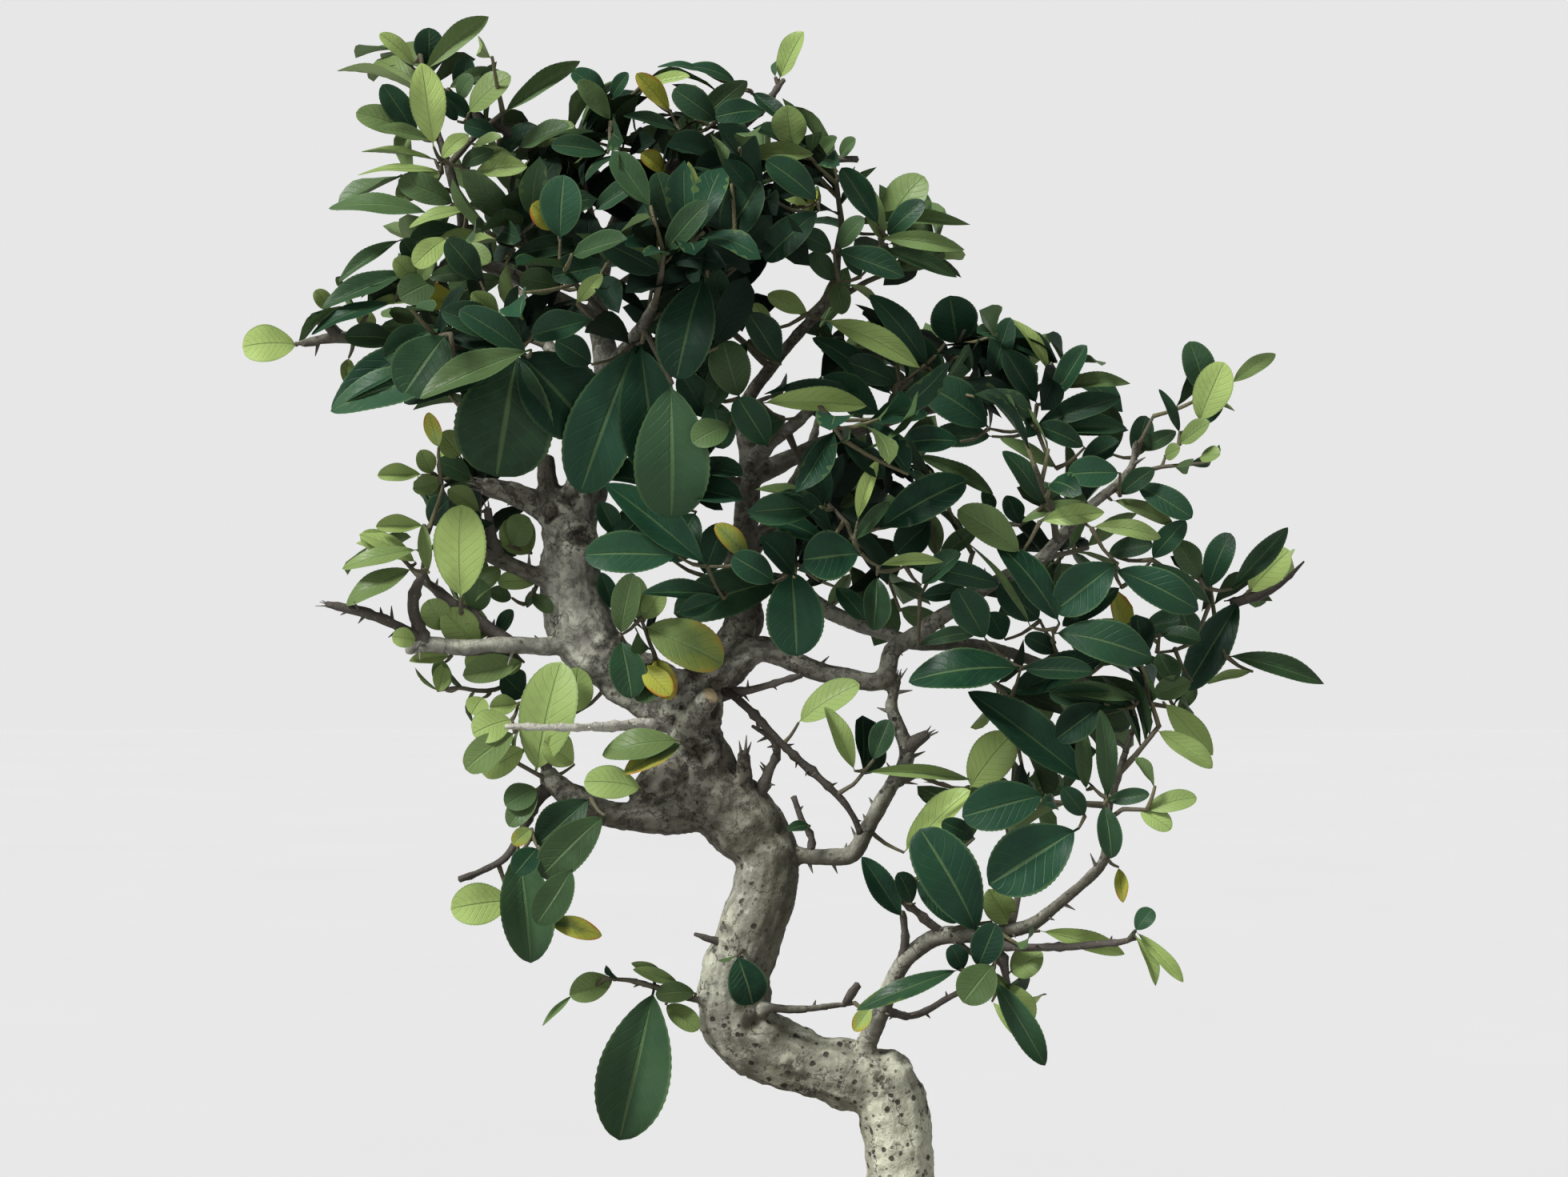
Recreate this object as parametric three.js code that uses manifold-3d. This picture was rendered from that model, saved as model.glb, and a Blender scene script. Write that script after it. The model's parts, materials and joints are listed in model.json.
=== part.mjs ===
import * as THREE from "three";
import { mergeVertices } from "three/addons/utils/BufferGeometryUtils.js";
import Module from "manifold-3d";

// A pyracantha grown as a bonsai in a glazed tray. Millimetres, +Z up, -Y is the front.
// The tree is drawn round the eye's axis (x = 0), and the whole is then centred on its own box.

// Pot and soil
const POT_LENGTH = 250;
const POT_WIDTH = 184;
const POT_HEIGHT = 62;
const POT_X = 14;
const POT_CORNER = 26;
const POT_WALL = 7;
const POT_FLOOR = 8;
const POT_TAPER = 9;
const POT_BELLY = 0.35;
const LIP_OUT = 4;
const LIP_HEIGHT = 9;
const LIP_ROUND = 1.5;
const FOOT_HEIGHT = 7;
const FOOT_LENGTH = 34;
const FOOT_WIDTH = 23;
const FOOT_CORNER = 7;
const FOOT_NARROWING = 2.5;
const FOOT_INSET = 3;
const FOOT_BURIED = 2;
const DRAIN_RADIUS = 9;
const DRAIN_SPREAD = 62;
const SOIL_BELOW_RIM = 8;
const SOIL_MOUND = [[0, 0], [0.3, 3], [0.7, 5]];
const MESH_SIDE = 30;
const MESH_THICK = 0.8;
const MESH_BAR = 1.4;
const MESH_BARS = 3;
const GAP = 0.3;
const SEAT_GAP = 0.4;

// Tree, as it shows from the front: x and z are true at the trunk's plane, y is the depth behind it
const VIEW_DISTANCE = 1100;
const EYE_HEIGHT = 284;
const ROOT_STEPS = [[0.1, 62, 7], [0.5, 57.5, 4.6], [1, 44, 2.2]];
const ROOT_START = 6;
const LEAF_SMOOTH = 0.03;
const BARK_SMOOTH = 0.1;
const UP = new THREE.Vector3(0, 0, 1);
const LIGHT = new THREE.Vector3(-0.3, -0.45, 0.85).normalize();
const GOLDEN_ANGLE = 2.39996;

// Stems and side shoots: radii, where side shoots start along the stem, how they lean,
// and their reach in leaf lengths
const STEM_RADIUS = 1;
const FINE_STEM_RADIUS = 0.75;
const FINE_STEM_LEAVES = 6;
const STEM_TAPER = [1.15, 0.35];
const STEM_RUN_ON = 0.25;
const SHOOT_RADII = [0.8, 0.55];
const MOST_SIDE_SHOOTS = 2;
const SHOOT_FIRST = 0.5;
const SHOOT_SPAN = 0.45;
const SHOOT_AHEAD = 0.55;
const SHOOT_OUTWARD = 0.85;
const SHOOT_UPWARD = 0.25;
const SHOOT_REACH = 0.6;
const SHOOT_REACH_VARIES = 0.5;

// Leaves: they open wide at a shoot's foot and close in towards its tip
const SHARE_IN_SOURCE = 0.19;
const LEAF_THICK = 0.6;
const LEAF_RATIO = 0.43;
const LEAF_FIRST = 0.2;
const LEAF_OPEN = 78;
const LEAF_CLOSING = 42;
const LEAF_OPEN_VARIES = 14;
const LEAF_LENGTH_LEAST = 0.72;
const LEAF_LENGTH_VARIES = 0.5;
const LEAF_WIDTH_LEAST = 0.9;
const LEAF_WIDTH_VARIES = 0.25;
const LEAF_UPWARD = 0.12;
const LEAF_FACE_AHEAD = 0.6;
const LEAF_FACE_LIGHT = 0.8;
const LEAF_CLEARANCE = 0.4;

// A blade's outline as [part of its length, part of its width, rise as a part of its length],
// and the triangles of its upper face
const BLADE = [[0, 0, 0], [0.4, -0.43, 0.05], [0.74, -0.46, 0.03], [1, 0, -0.06], [0.74, 0.46, 0.03],
  [0.4, 0.43, 0.05]];
const BLADE_FACES = [[0, 1, 5], [1, 2, 4], [1, 4, 5], [2, 3, 4]];

// What a blade or shoot tries, in turn, until it is clear of its neighbours
const LEAF_BENDS = [[0, 0], [0.5, 0], [-0.5, 0], [0, -0.35], [1, -0.2], [-1, -0.2], [1.8, 0], [-1.8, 0],
  [3.1, 0]];
const TIP_MOVES = [0, -5, 5, -10, 10, -15, 15];
const SHOOT_BENDS = [0, 0.8, -0.8, 1.6, -1.6, 2.4, -2.4];

// Which of a spray's seeded rolls settles what
const ROLL = { reach: 20, open: 40, turn: 60, length: 80, width: 120 };

const wasm = await Module();
wasm.setup();

// Trunk, roots and limbs: points of [x, y, z, radius] along each
const LIMBS = {
  foot: [[33, 3, 40, 9], [34.5, 1, 56, 15], [36, 0, 70, 12.2], [36.3, 0, 88, 11], [36.3, 0, 104, 10.9],
    [35, 0, 118, 11.3],
    [32, 0, 129, 11.2], [26, 0, 136, 8.6]],
  low_bough: [[36, 0, 126, 9], [24, 1, 131.5, 11.3], [12, 1.5, 135, 10.6], [0, 2, 139, 10.4],
    [-10, 2, 144, 10.8], [-17, 1, 149, 9.4]],
  rise: [[-12.5, 1.5, 141, 9.4], [-16, 1, 151, 11.2], [-15.5, 0, 162, 11], [-12.3, -1, 171.5, 10.7],
    [-9.6, -2, 179.5, 10.5],
    [-6.4, -2, 188, 10.2], [-5, -1.5, 197, 10.4], [-6.5, 0, 207, 9.2]],
  shoulder: [[-2, -1, 199, 8.4], [-9, 0, 208, 11.4], [-16, 1, 214, 11.6], [-24, 2, 219.5, 11.2],
    [-31, 3, 222, 8.5]],
  neck: [[-22, 2, 217, 10.5], [-25, 2, 228, 9.6], [-27.5, 1, 239, 8.4], [-28, 0, 249, 8.8],
    [-26, 0, 257, 6.4]],
  low_stump: [[-24, 2, 217, 9.5], [-34, 1, 214.5, 7], [-44, -1, 213.5, 5.4], [-55, -4, 214, 4.4],
    [-64, -8, 218, 4.2], [-72, -10, 223, 3.4],
    [-74, -10, 227, 2.2]],
  left_limb: [[-27, 1, 246, 8.2], [-38, 0, 252.5, 8], [-50, -1, 258, 8.3], [-61, -1, 264.5, 8.8],
    [-67.5, 0, 274, 8.6],
    [-69, 1, 286, 7.5], [-68.8, 1, 297, 6.9], [-67, 2, 306, 7.2], [-61, 3, 317, 5.8], [-56.5, 5, 334, 5],
      [-55, 6, 352, 4.2],
    [-58, 6, 370, 3.4], [-56, 8, 388, 2.8], [-50, 8, 404, 2.1]],
  left_fork: [[-67, 1, 303, 5.4], [-76, -1, 310, 4.4], [-86, -3, 314, 3.5], [-94, -4, 316, 2.8]],
  left_stub: [[-69, 0, 285.5, 4.2], [-77, -4, 288, 2.9], [-89, -7, 293, 2.5], [-98, -9, 297, 2]],
  left_stub_tip: [[-89, -7, 293, 2], [-91.5, -8, 301, 1.6], [-92.5, -9, 309, 1.1]],
  left_arm: [[-66, -3, 268, 4.2], [-73.5, -6, 266, 3.2], [-85, -10, 266.5, 2.8], [-100, -15, 265.5, 2.7],
    [-112, -19, 266.5, 2.4],
    [-118, -21, 264.5, 1.8]],
  left_arm_tip: [[-112, -19, 266.5, 1.9], [-120, -22, 272, 1.6], [-128, -24, 275.5, 1.5],
    [-136, -25, 277.5, 1.3], [-143, -26, 279, 0.9]],
  left_arm_up: [[-86, -10, 267, 2.3], [-96.5, -8, 275, 2.1], [-104, -8, 279.5, 1.9], [-112, -7, 286, 1.4]],
  left_arm_spur: [[-111.5, -19, 266, 2], [-115.5, -20, 275, 1.8], [-115.5, -20, 282.5, 1.6],
    [-112, -19, 290, 1.1]],
  under_limb: [[-30, 0, 242, 5], [-40, -3, 243, 3.2], [-47, -5, 247.5, 2.6], [-53.5, -5, 251, 2.4],
    [-60, -3, 258, 2]],
  cut_stub: [[-30, -3, 238, 4.4], [-27, -9, 246, 3.3], [-22.5, -14, 250.5, 3.1]],
  lichen_twig: [[-40, -3, 242, 2.2], [-52, -8, 241, 1.4], [-68, -12, 240.5, 1.2], [-87, -15, 240, 0.9]],
  right_limb: [[-27, 0, 251, 7.4], [-18, -2, 258, 5.8], [-10, -5, 264.5, 4.8], [-2, -7, 264, 4],
    [8, -9, 259, 3.4],
    [27, -12, 254.8, 3.1], [32, -12, 257, 3], [34, -12, 264.5, 2.9], [41, -10, 269.5, 2.8],
      [53, -14, 277.5, 2.6], [66, -18, 286, 2.4],
    [80, -20, 293, 2.2], [92.5, -20, 307, 1.9], [107.5, -18, 320, 1.5], [110, -17, 330, 1.1]],
  leader: [[-27, 1, 250, 7.6], [-19, 4, 262, 6.4], [-14, 7, 274, 5.6], [-15, 9, 286, 5],
    [-12, 10, 305, 4.4], [-11, 10, 325, 3.8],
    [-12, 9, 341, 3.2], [1.5, 6, 360, 2.6], [14, 3, 375, 2.2], [17.5, 2, 392.5, 1.4]],
  cross_limb: [[-15, 8, 285, 3.8], [1.2, 4, 285, 3.2], [12, 0, 278, 2.8], [20.5, -3, 274, 2.6],
    [31, -5, 270.3, 2.5], [41, -6, 267, 2.4],
    [64.5, 14, 265.5, 2.1], [86, 30, 258, 1.8], [105, 38, 250, 1.6], [115.5, 40, 247.5, 1.2]],
  dark_twig: [[-21, -3, 252, 2], [-14.5, -9, 249.5, 1.3], [2, -14, 233, 1.2], [18, -17, 218, 1.1],
    [24, -18, 207.5, 0.9]],
  grey_twig: [[-20, -4, 250, 1.8], [-12, -8, 252, 1.3], [-4.5, -11, 254, 1.1], [5.5, -13, 257, 0.9]],
  shoulder_stub: [[-13, -3, 217, 3], [-11, -6, 227, 1.8], [-12, -7, 233, 1.3]],
  bare_limb: [[-1, -2, 201, 4.2], [6, -4, 200.5, 3.2], [14, -6, 200.3, 2.9], [21.5, -8, 201, 2.9],
    [26, -9, 209, 2.6],
    [33.5, -11, 222.5, 2.5], [38.5, -12, 231.5, 2.6], [36, -12, 240.5, 2.2], [33.5, -12, 247, 2],
      [35.5, -12, 256, 1.4]],
  bare_knob: [[37.5, -12, 233, 2.6], [41, -13, 236, 2.2], [45, -13, 238.5, 1.5]],
  bare_spine: [[33, -11, 222, 1.8], [39, -12, 225.5, 1.3], [43, -12.5, 225.5, 0.8]],
  bare_twig: [[8, -4, 201, 1.6], [8.5, -5, 206, 1.1], [5.5, -6, 212, 1], [3, -7, 219, 0.8]],
  low_right: [[23, -2, 133, 4.8], [26, -5, 142, 3.5], [30, -9, 151, 3.1], [36.5, -15, 166, 2.9],
    [42, -18, 171.5, 2.8],
    [49, -22, 175.5, 2.7], [63, -28, 176, 2.5], [76, -31, 178.5, 2.3], [84, -32, 184, 2],
      [98.7, -32, 197, 1.7],
    [101, -30, 206, 1.6], [101.5, -28, 216, 1.5], [105.5, -25, 229, 1.4], [110, -21, 243, 1.1]],
  low_right_cross: [[32, -28, 190.5, 1], [39.7, -26, 184.5, 1.2], [47.5, -23, 178, 1.4], [59, -18, 170, 1]],
  low_right_down: [[63, -27, 175, 1.9], [68, -28, 168, 1.6], [70, -29, 160.5, 1]],
  low_right_out: [[64, -28, 174, 1.7], [74, -34, 172, 1.3], [88, -38, 172, 1.1], [104.5, -42, 173.5, 1],
    [110, -43, 175, 0.8]],
  low_right_dark: [[31, -9, 153, 1.8], [36, 0, 150.8, 1.2], [42, 6, 151, 1.1], [55, 12, 158, 0.9]],
  low_right_up: [[37, -15, 167, 1.7], [38, -20, 175, 1.2], [37, -23, 183, 0.9]],
  bud_twig: [[-9, -3, 152, 3], [-4, -9, 153, 1.5], [5, -12, 152.5, 1.3], [22, -15, 154.5, 1]],
  low_left_twig: [[-17, -2, 153, 3.5], [-28, -6, 155.5, 1.5], [-38.5, -9, 159, 1.3], [-48, -11, 161.5, 1.2],
    [-53, -12, 162, 0.9]],
  trunk_thorn: [[-16, -4, 172, 2.2], [-23, -7, 174.5, 1.1], [-28, -8, 176, 0.6]],
  back_limb: [[-15, 9, 288, 4], [-10, 24, 296, 3.3], [-2, 42, 308, 2.7], [6, 58, 322, 2.1],
    [10, 68, 334, 1.5]],
  back_left_limb: [[-56.5, 5, 332, 3.8], [-62, 20, 343, 3], [-70, 38, 355, 2.5], [-78, 54, 366, 1.9],
    [-82, 63, 377, 1.4]],
  front_limb: [[-55, 6, 350, 3.4], [-50, -12, 358, 2.7], [-44, -30, 366, 2.2], [-40, -46, 374, 1.5]],
  front_right_limb: [[-11, 10, 322, 3.2], [-4, -6, 330, 2.6], [4, -24, 336, 2.1], [10, -40, 342, 1.5]],
  crown_left: [[-57, 6, 366, 3.2], [-70, 0, 374, 2.7], [-85, -6, 382, 2.4], [-98, -10, 388, 2.1],
    [-101, -11, 402, 1.8],
    [-105, -12, 416, 1.5], [-110, -12, 432, 1]],
  crown_far_left: [[-55.5, 6, 346, 3.2], [-75, 0, 352, 2.6], [-95, -8, 357, 2.2], [-115, -14, 360, 1.9],
    [-137, -20, 362, 1.6],
    [-151, -22, 365, 1.2]],
  crown_top: [[-52, 8, 398, 2.4], [-40, 4, 412, 2.1], [-22, 0, 422, 1.8], [-8, -2, 433, 1.4],
    [0, -3, 443, 0.9]],
  crown_cut: [[-22, 0, 421, 1.7], [-5, -3, 420, 1.5], [10, -5, 418.5, 1.3], [23, -6, 418, 1.1]],
  crown_back: [[-56, 8, 386, 2.6], [-46, 26, 398, 2.1], [-36, 44, 406, 1.7], [-28, 58, 412, 1.2]],
  pad_limb: [[-11.5, 10, 318, 3.4], [5, 14, 326, 2.9], [22, 16, 333, 2.5], [40, 14, 339, 2.2],
    [60, 10, 343, 1.9], [78, 6, 345, 1.4]],
};

// Limbs that are one node with the sprays on them, since they stand close together
const BOUGHS = {
  bough_front: ["front_limb"],
  bough_front_right: ["front_right_limb"],
  bough_back: ["back_limb"],
  bough_back_left: ["back_left_limb"],
  bough_crown_back: ["crown_back"],
  bough_crown_top: ["crown_top", "crown_cut"],
  bough_far_left: ["crown_far_left"],
  bough_pad: ["pad_limb"],
};

// Surface roots: heading in degrees from +X, and how far each runs before it dives.
// ROOT_STEPS gives [part of the run, height, radius] along each
const ROOTS = [[20, 34], [95, 28], [170, 36], [240, 28], [310, 32]];

// Sprays: [name, limb, place along the limb, stem points, side shoots, leaves, leaf length, chosen leaves]
// A chosen leaf is [place along the stem, tip, width, which way its face looks]
const F = [0, -1, 0.35];
const T = [-0.2, -0.3, 1];
const SPRAYS = [
  ["spray_top_left_tip", "crown_left", 5.9, [[-111.5, -13, 437], [-112.5, -13, 444]], 2, 15, 27,
    [[0, [-113, -24, 449], 10, F], [0.8, [-92.5, -14, 463], 9, F], [0.5, [-139, -15, 448], 7, T]]],
  ["spray_top_left_out", "crown_left", 4.4, [[-110, -14, 410], [-120, -18, 413]], 2, 15, 28,
    [[0.9, [-142, -20, 405], 8, F], [0.9, [-132, -22, 431], 8, T]]],
  ["spray_top_left_in", "crown_left", 5, [[-98, -14, 424], [-89, -18, 433]], 2, 15, 27,
    [[0.9, [-64, -20, 448], 8, F], [0.7, [-82, -27, 434], 10, F]]],
  ["spray_left_rosette", "crown_left", 2.9, [[-108, -18, 384], [-117, -24, 381]], 2, 16, 24, []],
  ["spray_far_left_end", "crown_far_left", 4.9, [[-153, -23, 366.5]], 0, 4, 12,
    [[0.9, [-168, -26, 361], 9, F]]],
  ["spray_far_left_up", "crown_far_left", 3.9, [[-134, -26, 372], [-140, -30, 378]], 2, 14, 25, []],
  ["spray_far_left_front", "crown_far_left", 3, [[-112, -24, 362], [-107, -34, 363]], 2, 12, 28,
    [[0.8, [-142, -34, 341], 12, F], [0.9, [-119, -44, 345], 18, F]]],
  ["spray_big_leaves", "crown_far_left", 1.6, [[-86, -16, 355], [-84, -24, 357]], 1, 7, 26,
    [[0.9, [-90, -28, 319], 30, F], [0.9, [-60, -26, 333], 25, F], [0.7, [-119, -30, 344], 16, F]]],
  ["spray_heart_hanging", "front_limb", 0.9, [[-50, -20, 359], [-47, -25, 360]], 1, 6, 27,
    [[0.8, [-64, -26, 314], 21, F], [0.9, [-40, -30, 318], 19, F], [0.6, [-32, -24, 352], 15, F]]],
  ["spray_heart_front", "front_limb", 2, [[-40, -34, 358], [-37, -37, 352]], 2, 10, 28,
    [[0.9, [-35, -38, 306], 23, F]]],
  ["spray_crown_front", "front_limb", 2.9, [[-39, -52, 379], [-38, -60, 385]], 3, 22, 28, []],
  ["spray_crown_front_left", "front_limb", 1.4, [[-58, -28, 372], [-66, -38, 380]], 3, 20, 28, []],
  ["spray_crown_front_right", "front_limb", 2.2, [[-28, -36, 374], [-18, -42, 382]], 3, 20, 28, []],
  ["spray_crown_mid_left", "crown_left", 1.5, [[-80, -14, 386], [-82, -22, 396]], 3, 20, 27, []],
  ["spray_crown_high_left", "crown_left", 3.6, [[-90, -4, 398], [-81, 2, 404]], 3, 20, 27, []],
  ["spray_crown_high_mid", "left_limb", 12.2, [[-60, -4, 400], [-62, -12, 409]], 3, 22, 27, []],
  ["spray_crown_peak", "crown_top", 1.2, [[-42, -2, 414], [-44, -8, 420]], 3, 20, 27, []],
  ["spray_crown_peak_right", "crown_top", 2.6, [[-18, -10, 424], [-18, -16, 428]], 2, 14, 26, []],
  ["spray_crown_feather", "crown_top", 3.9, [[1, -3, 445]], 0, 3, 14, [[0.9, [9, -4, 459], 9, F]]],
  ["spray_crown_right", "crown_top", 1.9, [[-18, -14, 414], [-8, -22, 408]], 3, 20, 27, []],
  ["spray_crown_cut_end", "crown_cut", 2.4, [[14, -8, 426], [16, -10, 431]], 1, 9, 22, []],
  ["spray_crown_inner", "left_limb", 11.3, [[-44, -6, 384], [-34, -14, 390]], 3, 18, 27, []],
  ["spray_back_peak", "crown_back", 2.9, [[-26, 64, 400], [-26, 70, 404]], 3, 22, 27, []],
  ["spray_back_top_left", "crown_back", 1.4, [[-60, 42, 393], [-70, 50, 396]], 3, 20, 27, []],
  ["spray_back_left", "back_left_limb", 3.9, [[-84, 68, 378], [-88, 74, 382]], 3, 22, 27, []],
  ["spray_back_far_left", "back_left_limb", 2.4, [[-90, 46, 366], [-104, 48, 372]], 3, 22, 27, []],
  ["spray_back_low_left", "back_left_limb", 1.4, [[-82, 28, 340], [-92, 36, 336]], 3, 18, 27, []],
  ["spray_back_mid", "crown_back", 0.9, [[-30, 28, 390], [-16, 34, 392]], 3, 20, 27, []],
  ["spray_leader_tip", "leader", 8.8, [[18, -2, 397], [17, -6, 406]], 3, 18, 26,
    [[0.5, [58, -8, 399], 7, F], [0.4, [55, -10, 381], 8, T], [0.8, [37, -4, 412], 15, F]]],
  ["spray_leader_right", "leader", 7.7, [[26, 6, 380], [36, 8, 384]], 2, 16, 27, []],
  ["spray_leader_mid", "leader", 6.6, [[-18, -2, 366], [-22, -10, 370]], 3, 18, 27, []],
  ["spray_leader_light", "leader", 6, [[-4, -4, 344], [0, -12, 343]], 1, 8, 24,
    [[0.9, [26, -20, 341], 9, F]]],
  ["spray_middle_front", "front_right_limb", 2.8, [[12, -46, 340], [16, -52, 334]], 3, 20, 27, []],
  ["spray_middle_low", "front_right_limb", 1.6, [[4, -22, 318], [10, -30, 308]], 3, 20, 28,
    [[0.9, [28, -38, 291], 15, F]]],
  ["spray_middle_left", "leader", 4.6, [[-26, -2, 320], [-34, -10, 316]], 2, 14, 27,
    [[0.8, [-58, -16, 292], 12, F]]],
  ["spray_middle_deep", "leader", 3.8, [[-2, 22, 304], [10, 30, 306]], 3, 18, 27, []],
  ["spray_middle_hanging", "cross_limb", 1, [[0, -8, 288], [2, -14, 290]], 2, 10, 26,
    [[0.8, [4, -18, 263], 18, F], [0.3, [-34, -16, 277], 15, F]]],
  ["spray_back_low", "back_limb", 2.2, [[14, 50, 306], [24, 56, 302]], 3, 20, 27, []],
  ["spray_back_low_tip", "back_limb", 3.9, [[12, 74, 342], [14, 78, 350]], 3, 22, 27, []],
  ["spray_pad_front", "pad_limb", 2.6, [[34, 0, 344], [40, -8, 350]], 3, 20, 27,
    [[0.2, [12, -10, 368], 10, F]]],
  ["spray_pad_top", "pad_limb", 3.4, [[50, 8, 352], [54, 2, 360]], 3, 20, 29,
    [[0.8, [52, -8, 375], 15, F]]],
  ["spray_pad_back", "pad_limb", 3, [[46, 30, 346], [52, 40, 350]], 3, 20, 27, []],
  ["spray_pad_end", "pad_limb", 4.9, [[84, 2, 349], [88, -4, 352]], 3, 20, 27, []],
  ["spray_right_heart", "right_limb", 9.4, [[58, -28, 292], [60, -38, 298]], 3, 20, 28, []],
  ["spray_right_upper", "right_limb", 11.4, [[84, -30, 308], [80, -38, 318]], 3, 20, 27, []],
  ["spray_right_crest", "right_limb", 13.8, [[111, -16, 336], [112, -16, 342]], 2, 12, 22, []],
  ["spray_right_feather", "right_limb", 12.9, [[118, -20, 322], [130, -23, 324]], 1, 9, 20,
    [[0.8, [135, -26, 356], 10, F], [0.9, [152, -26, 357], 5, F]]],
  ["spray_right_back", "right_limb", 10.6, [[84, 0, 294], [92, 14, 296]], 3, 20, 27, []],
  ["spray_right_tip", "cross_limb", 7, [[108, 27, 268], [132, 22, 272], [143, 18, 281]], 3, 22, 26,
    [[0.95, [158, 12, 296], 12, F], [0.9, [130, 8, 253], 15, F], [0.8, [168, 10, 256], 8, T]]],
  ["spray_right_long", "cross_limb", 5.8, [[64, -4, 256], [68, -14, 252]], 2, 14, 30,
    [[0.6, [41, -20, 258], 12, F], [0.9, [95, -24, 224], 15, F], [0.9, [99, -22, 262], 12, F]]],
  ["spray_right_low", "cross_limb", 8.7, [[122, 35, 246], [126, 30, 243]], 2, 12, 24,
    [[0.8, [134, 24, 231], 8, F]]],
  ["spray_right_mid_back", "cross_limb", 6.8, [[84, 44, 256], [88, 54, 250]], 2, 16, 27, []],
  ["spray_low_right_top", "low_right", 11.8, [[110, -26, 232], [114, -27, 237]], 1, 10, 24,
    [[0.9, [134, -30, 228], 8, F]]],
  ["spray_low_right_mid", "low_right", 10.6, [[106, -34, 215], [111, -38, 215]], 1, 8, 18,
    [[0.9, [129, -40, 219], 7, F], [0.8, [121, -42, 209], 7, F]]],
  ["spray_low_right_left", "low_right", 10.2, [[94, -34, 210], [87, -38, 210]], 2, 12, 25,
    [[0.9, [65, -42, 192], 20, F], [0.8, [56, -40, 213], 14, F], [0.4, [99, -42, 196], 8, F]]],
  ["spray_low_right_inner", "low_right", 5.2, [[54, -30, 178], [56, -33, 184]], 1, 8, 25,
    [[0.5, [45, -36, 208], 18, F], [0.3, [27, -36, 200], 11, F]]],
  ["spray_low_right_cluster", "low_right", 5.7, [[60, -32, 168], [61, -34, 162]], 2, 12, 22,
    [[0.4, [22.5, -34, 153], 9, F], [0.8, [82, -38, 135], 9, F], [0.7, [77, -32, 139], 7, F],
      [0.9, [63, -42, 151], 13, F]]],
  ["spray_low_right_end", "low_right_out", 3.6, [[109, -45, 176]], 0, 4, 12,
    [[0.9, [115, -46, 184], 6, F], [0.9, [125, -48, 161], 4, F], [0.6, [117, -46, 160], 4, T]]],
  ["spray_low_right_back", "low_right", 6.6, [[73, -12, 188], [72, 4, 200], [70, 14, 208]], 3, 18, 27,
    [[0.9, [62, 12, 244], 18, F], [0.6, [38, 4, 205], 14, F]]],
  ["spray_low_left", "low_left_twig", 1, [[-38.5, -11, 159], [-48, -13, 161.5], [-55, -14, 162]], 0, 5, 16,
    [[0.4, [-51, -18, 111.5], 24.5, F], [1, [-76, -14, 148], 9, F], [0.7, [-46, -10, 166], 8, T]]],
  ["spray_trunk_leaf", "rise", 2.9, [[-13, -14, 171], [-14, -16, 170]], 0, 1, 10,
    [[0.9, [-9.5, -17, 154], 12.5, F]]],
  ["spray_left_arm_up", "left_arm_up", 2.8, [[-113, -12, 290], [-112, -16, 297]], 2, 16, 24, []],
  ["spray_left_oval", "left_arm_up", 1.5, [[-101, -14, 276], [-101, -17, 280]], 0, 5, 20,
    [[0.8, [-100, -21, 310], 19, F]]],
  ["spray_left_arm_low", "left_arm", 3, [[-101, -14, 257], [-105, -12, 250]], 2, 14, 20, []],
  ["spray_left_arm_far", "left_arm_spur", 2.6, [[-119, -16, 290], [-125, -14, 295]], 2, 16, 22, []],
  ["spray_left_behind", "left_stub", 2, [[-93, 4, 298], [-98, 12, 302]], 3, 18, 25, []],
  ["spray_low_left_light", "low_stump", 5, [[-79, -15, 227], [-87, -19, 232]], 2, 14, 20,
    [[0.4, [-70, -24, 261], 17.5, F]]],
  ["spray_low_left_hanging", "low_stump", 4.2, [[-70, -16, 212], [-80, -18, 205], [-83, -20, 194]], 1, 8,
    22,
    [[0.3, [-75, -26, 194], 19, F], [0.8, [-78, -24, 166], 16, F], [0.5, [-71, -22, 180], 12, F],
      [0.9, [-104, -18, 185], 12, F],
      [0.7, [-59, -20, 176], 6, F]]],
  ["spray_neck_green", "neck", 1.4, [[-29, -10, 233], [-31, -14, 235]], 0, 3, 22,
    [[0.9, [-57, -18, 233], 11, F], [0.8, [-50, -20, 227], 8, F], [0.6, [-60, -14, 222], 9, F]]],
  ["spray_neck_yellow", "left_limb", 1.3, [[-40, -11, 262], [-43, -15, 270]], 0, 4, 22,
    [[0.9, [-18, -18, 261], 18, F], [0.4, [-46, -19, 249], 12, F], [0.5, [-36, -20, 250], 8, F],
      [0.9, [-47, -16, 288], 7, F]]],
  ["spray_dark_twig", "dark_twig", 2.9, [[22, -19, 223], [26, -21, 228]], 0, 5, 20,
    [[0.9, [12, -22, 246], 10, F], [0.7, [58, -26, 225], 4, F], [0.9, [33, -22, 243], 8, F]]],
];

// The tree's outline from the front, as [x, z], which no leaf grown by rule reaches past
const OUTLINE = [
  [-169, 360], [-146, 405], [-141, 448], [-95, 466], [-62, 451], [-27, 451], [6, 461], [13, 436], [28, 421],
    [61, 401], [56, 381],
  [78, 371], [106, 359], [126, 364], [156, 359], [131, 319], [166, 306], [171, 256], [136, 231], [131, 208],
    [126, 161], [83, 134],
  [21, 148], [0, 193], [-31, 181], [-61, 111], [-81, 148], [-86, 166], [-106, 181], [-104, 243],
    [-146, 278], [-136, 308],
  [-111, 328], [-146, 341],
];

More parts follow.
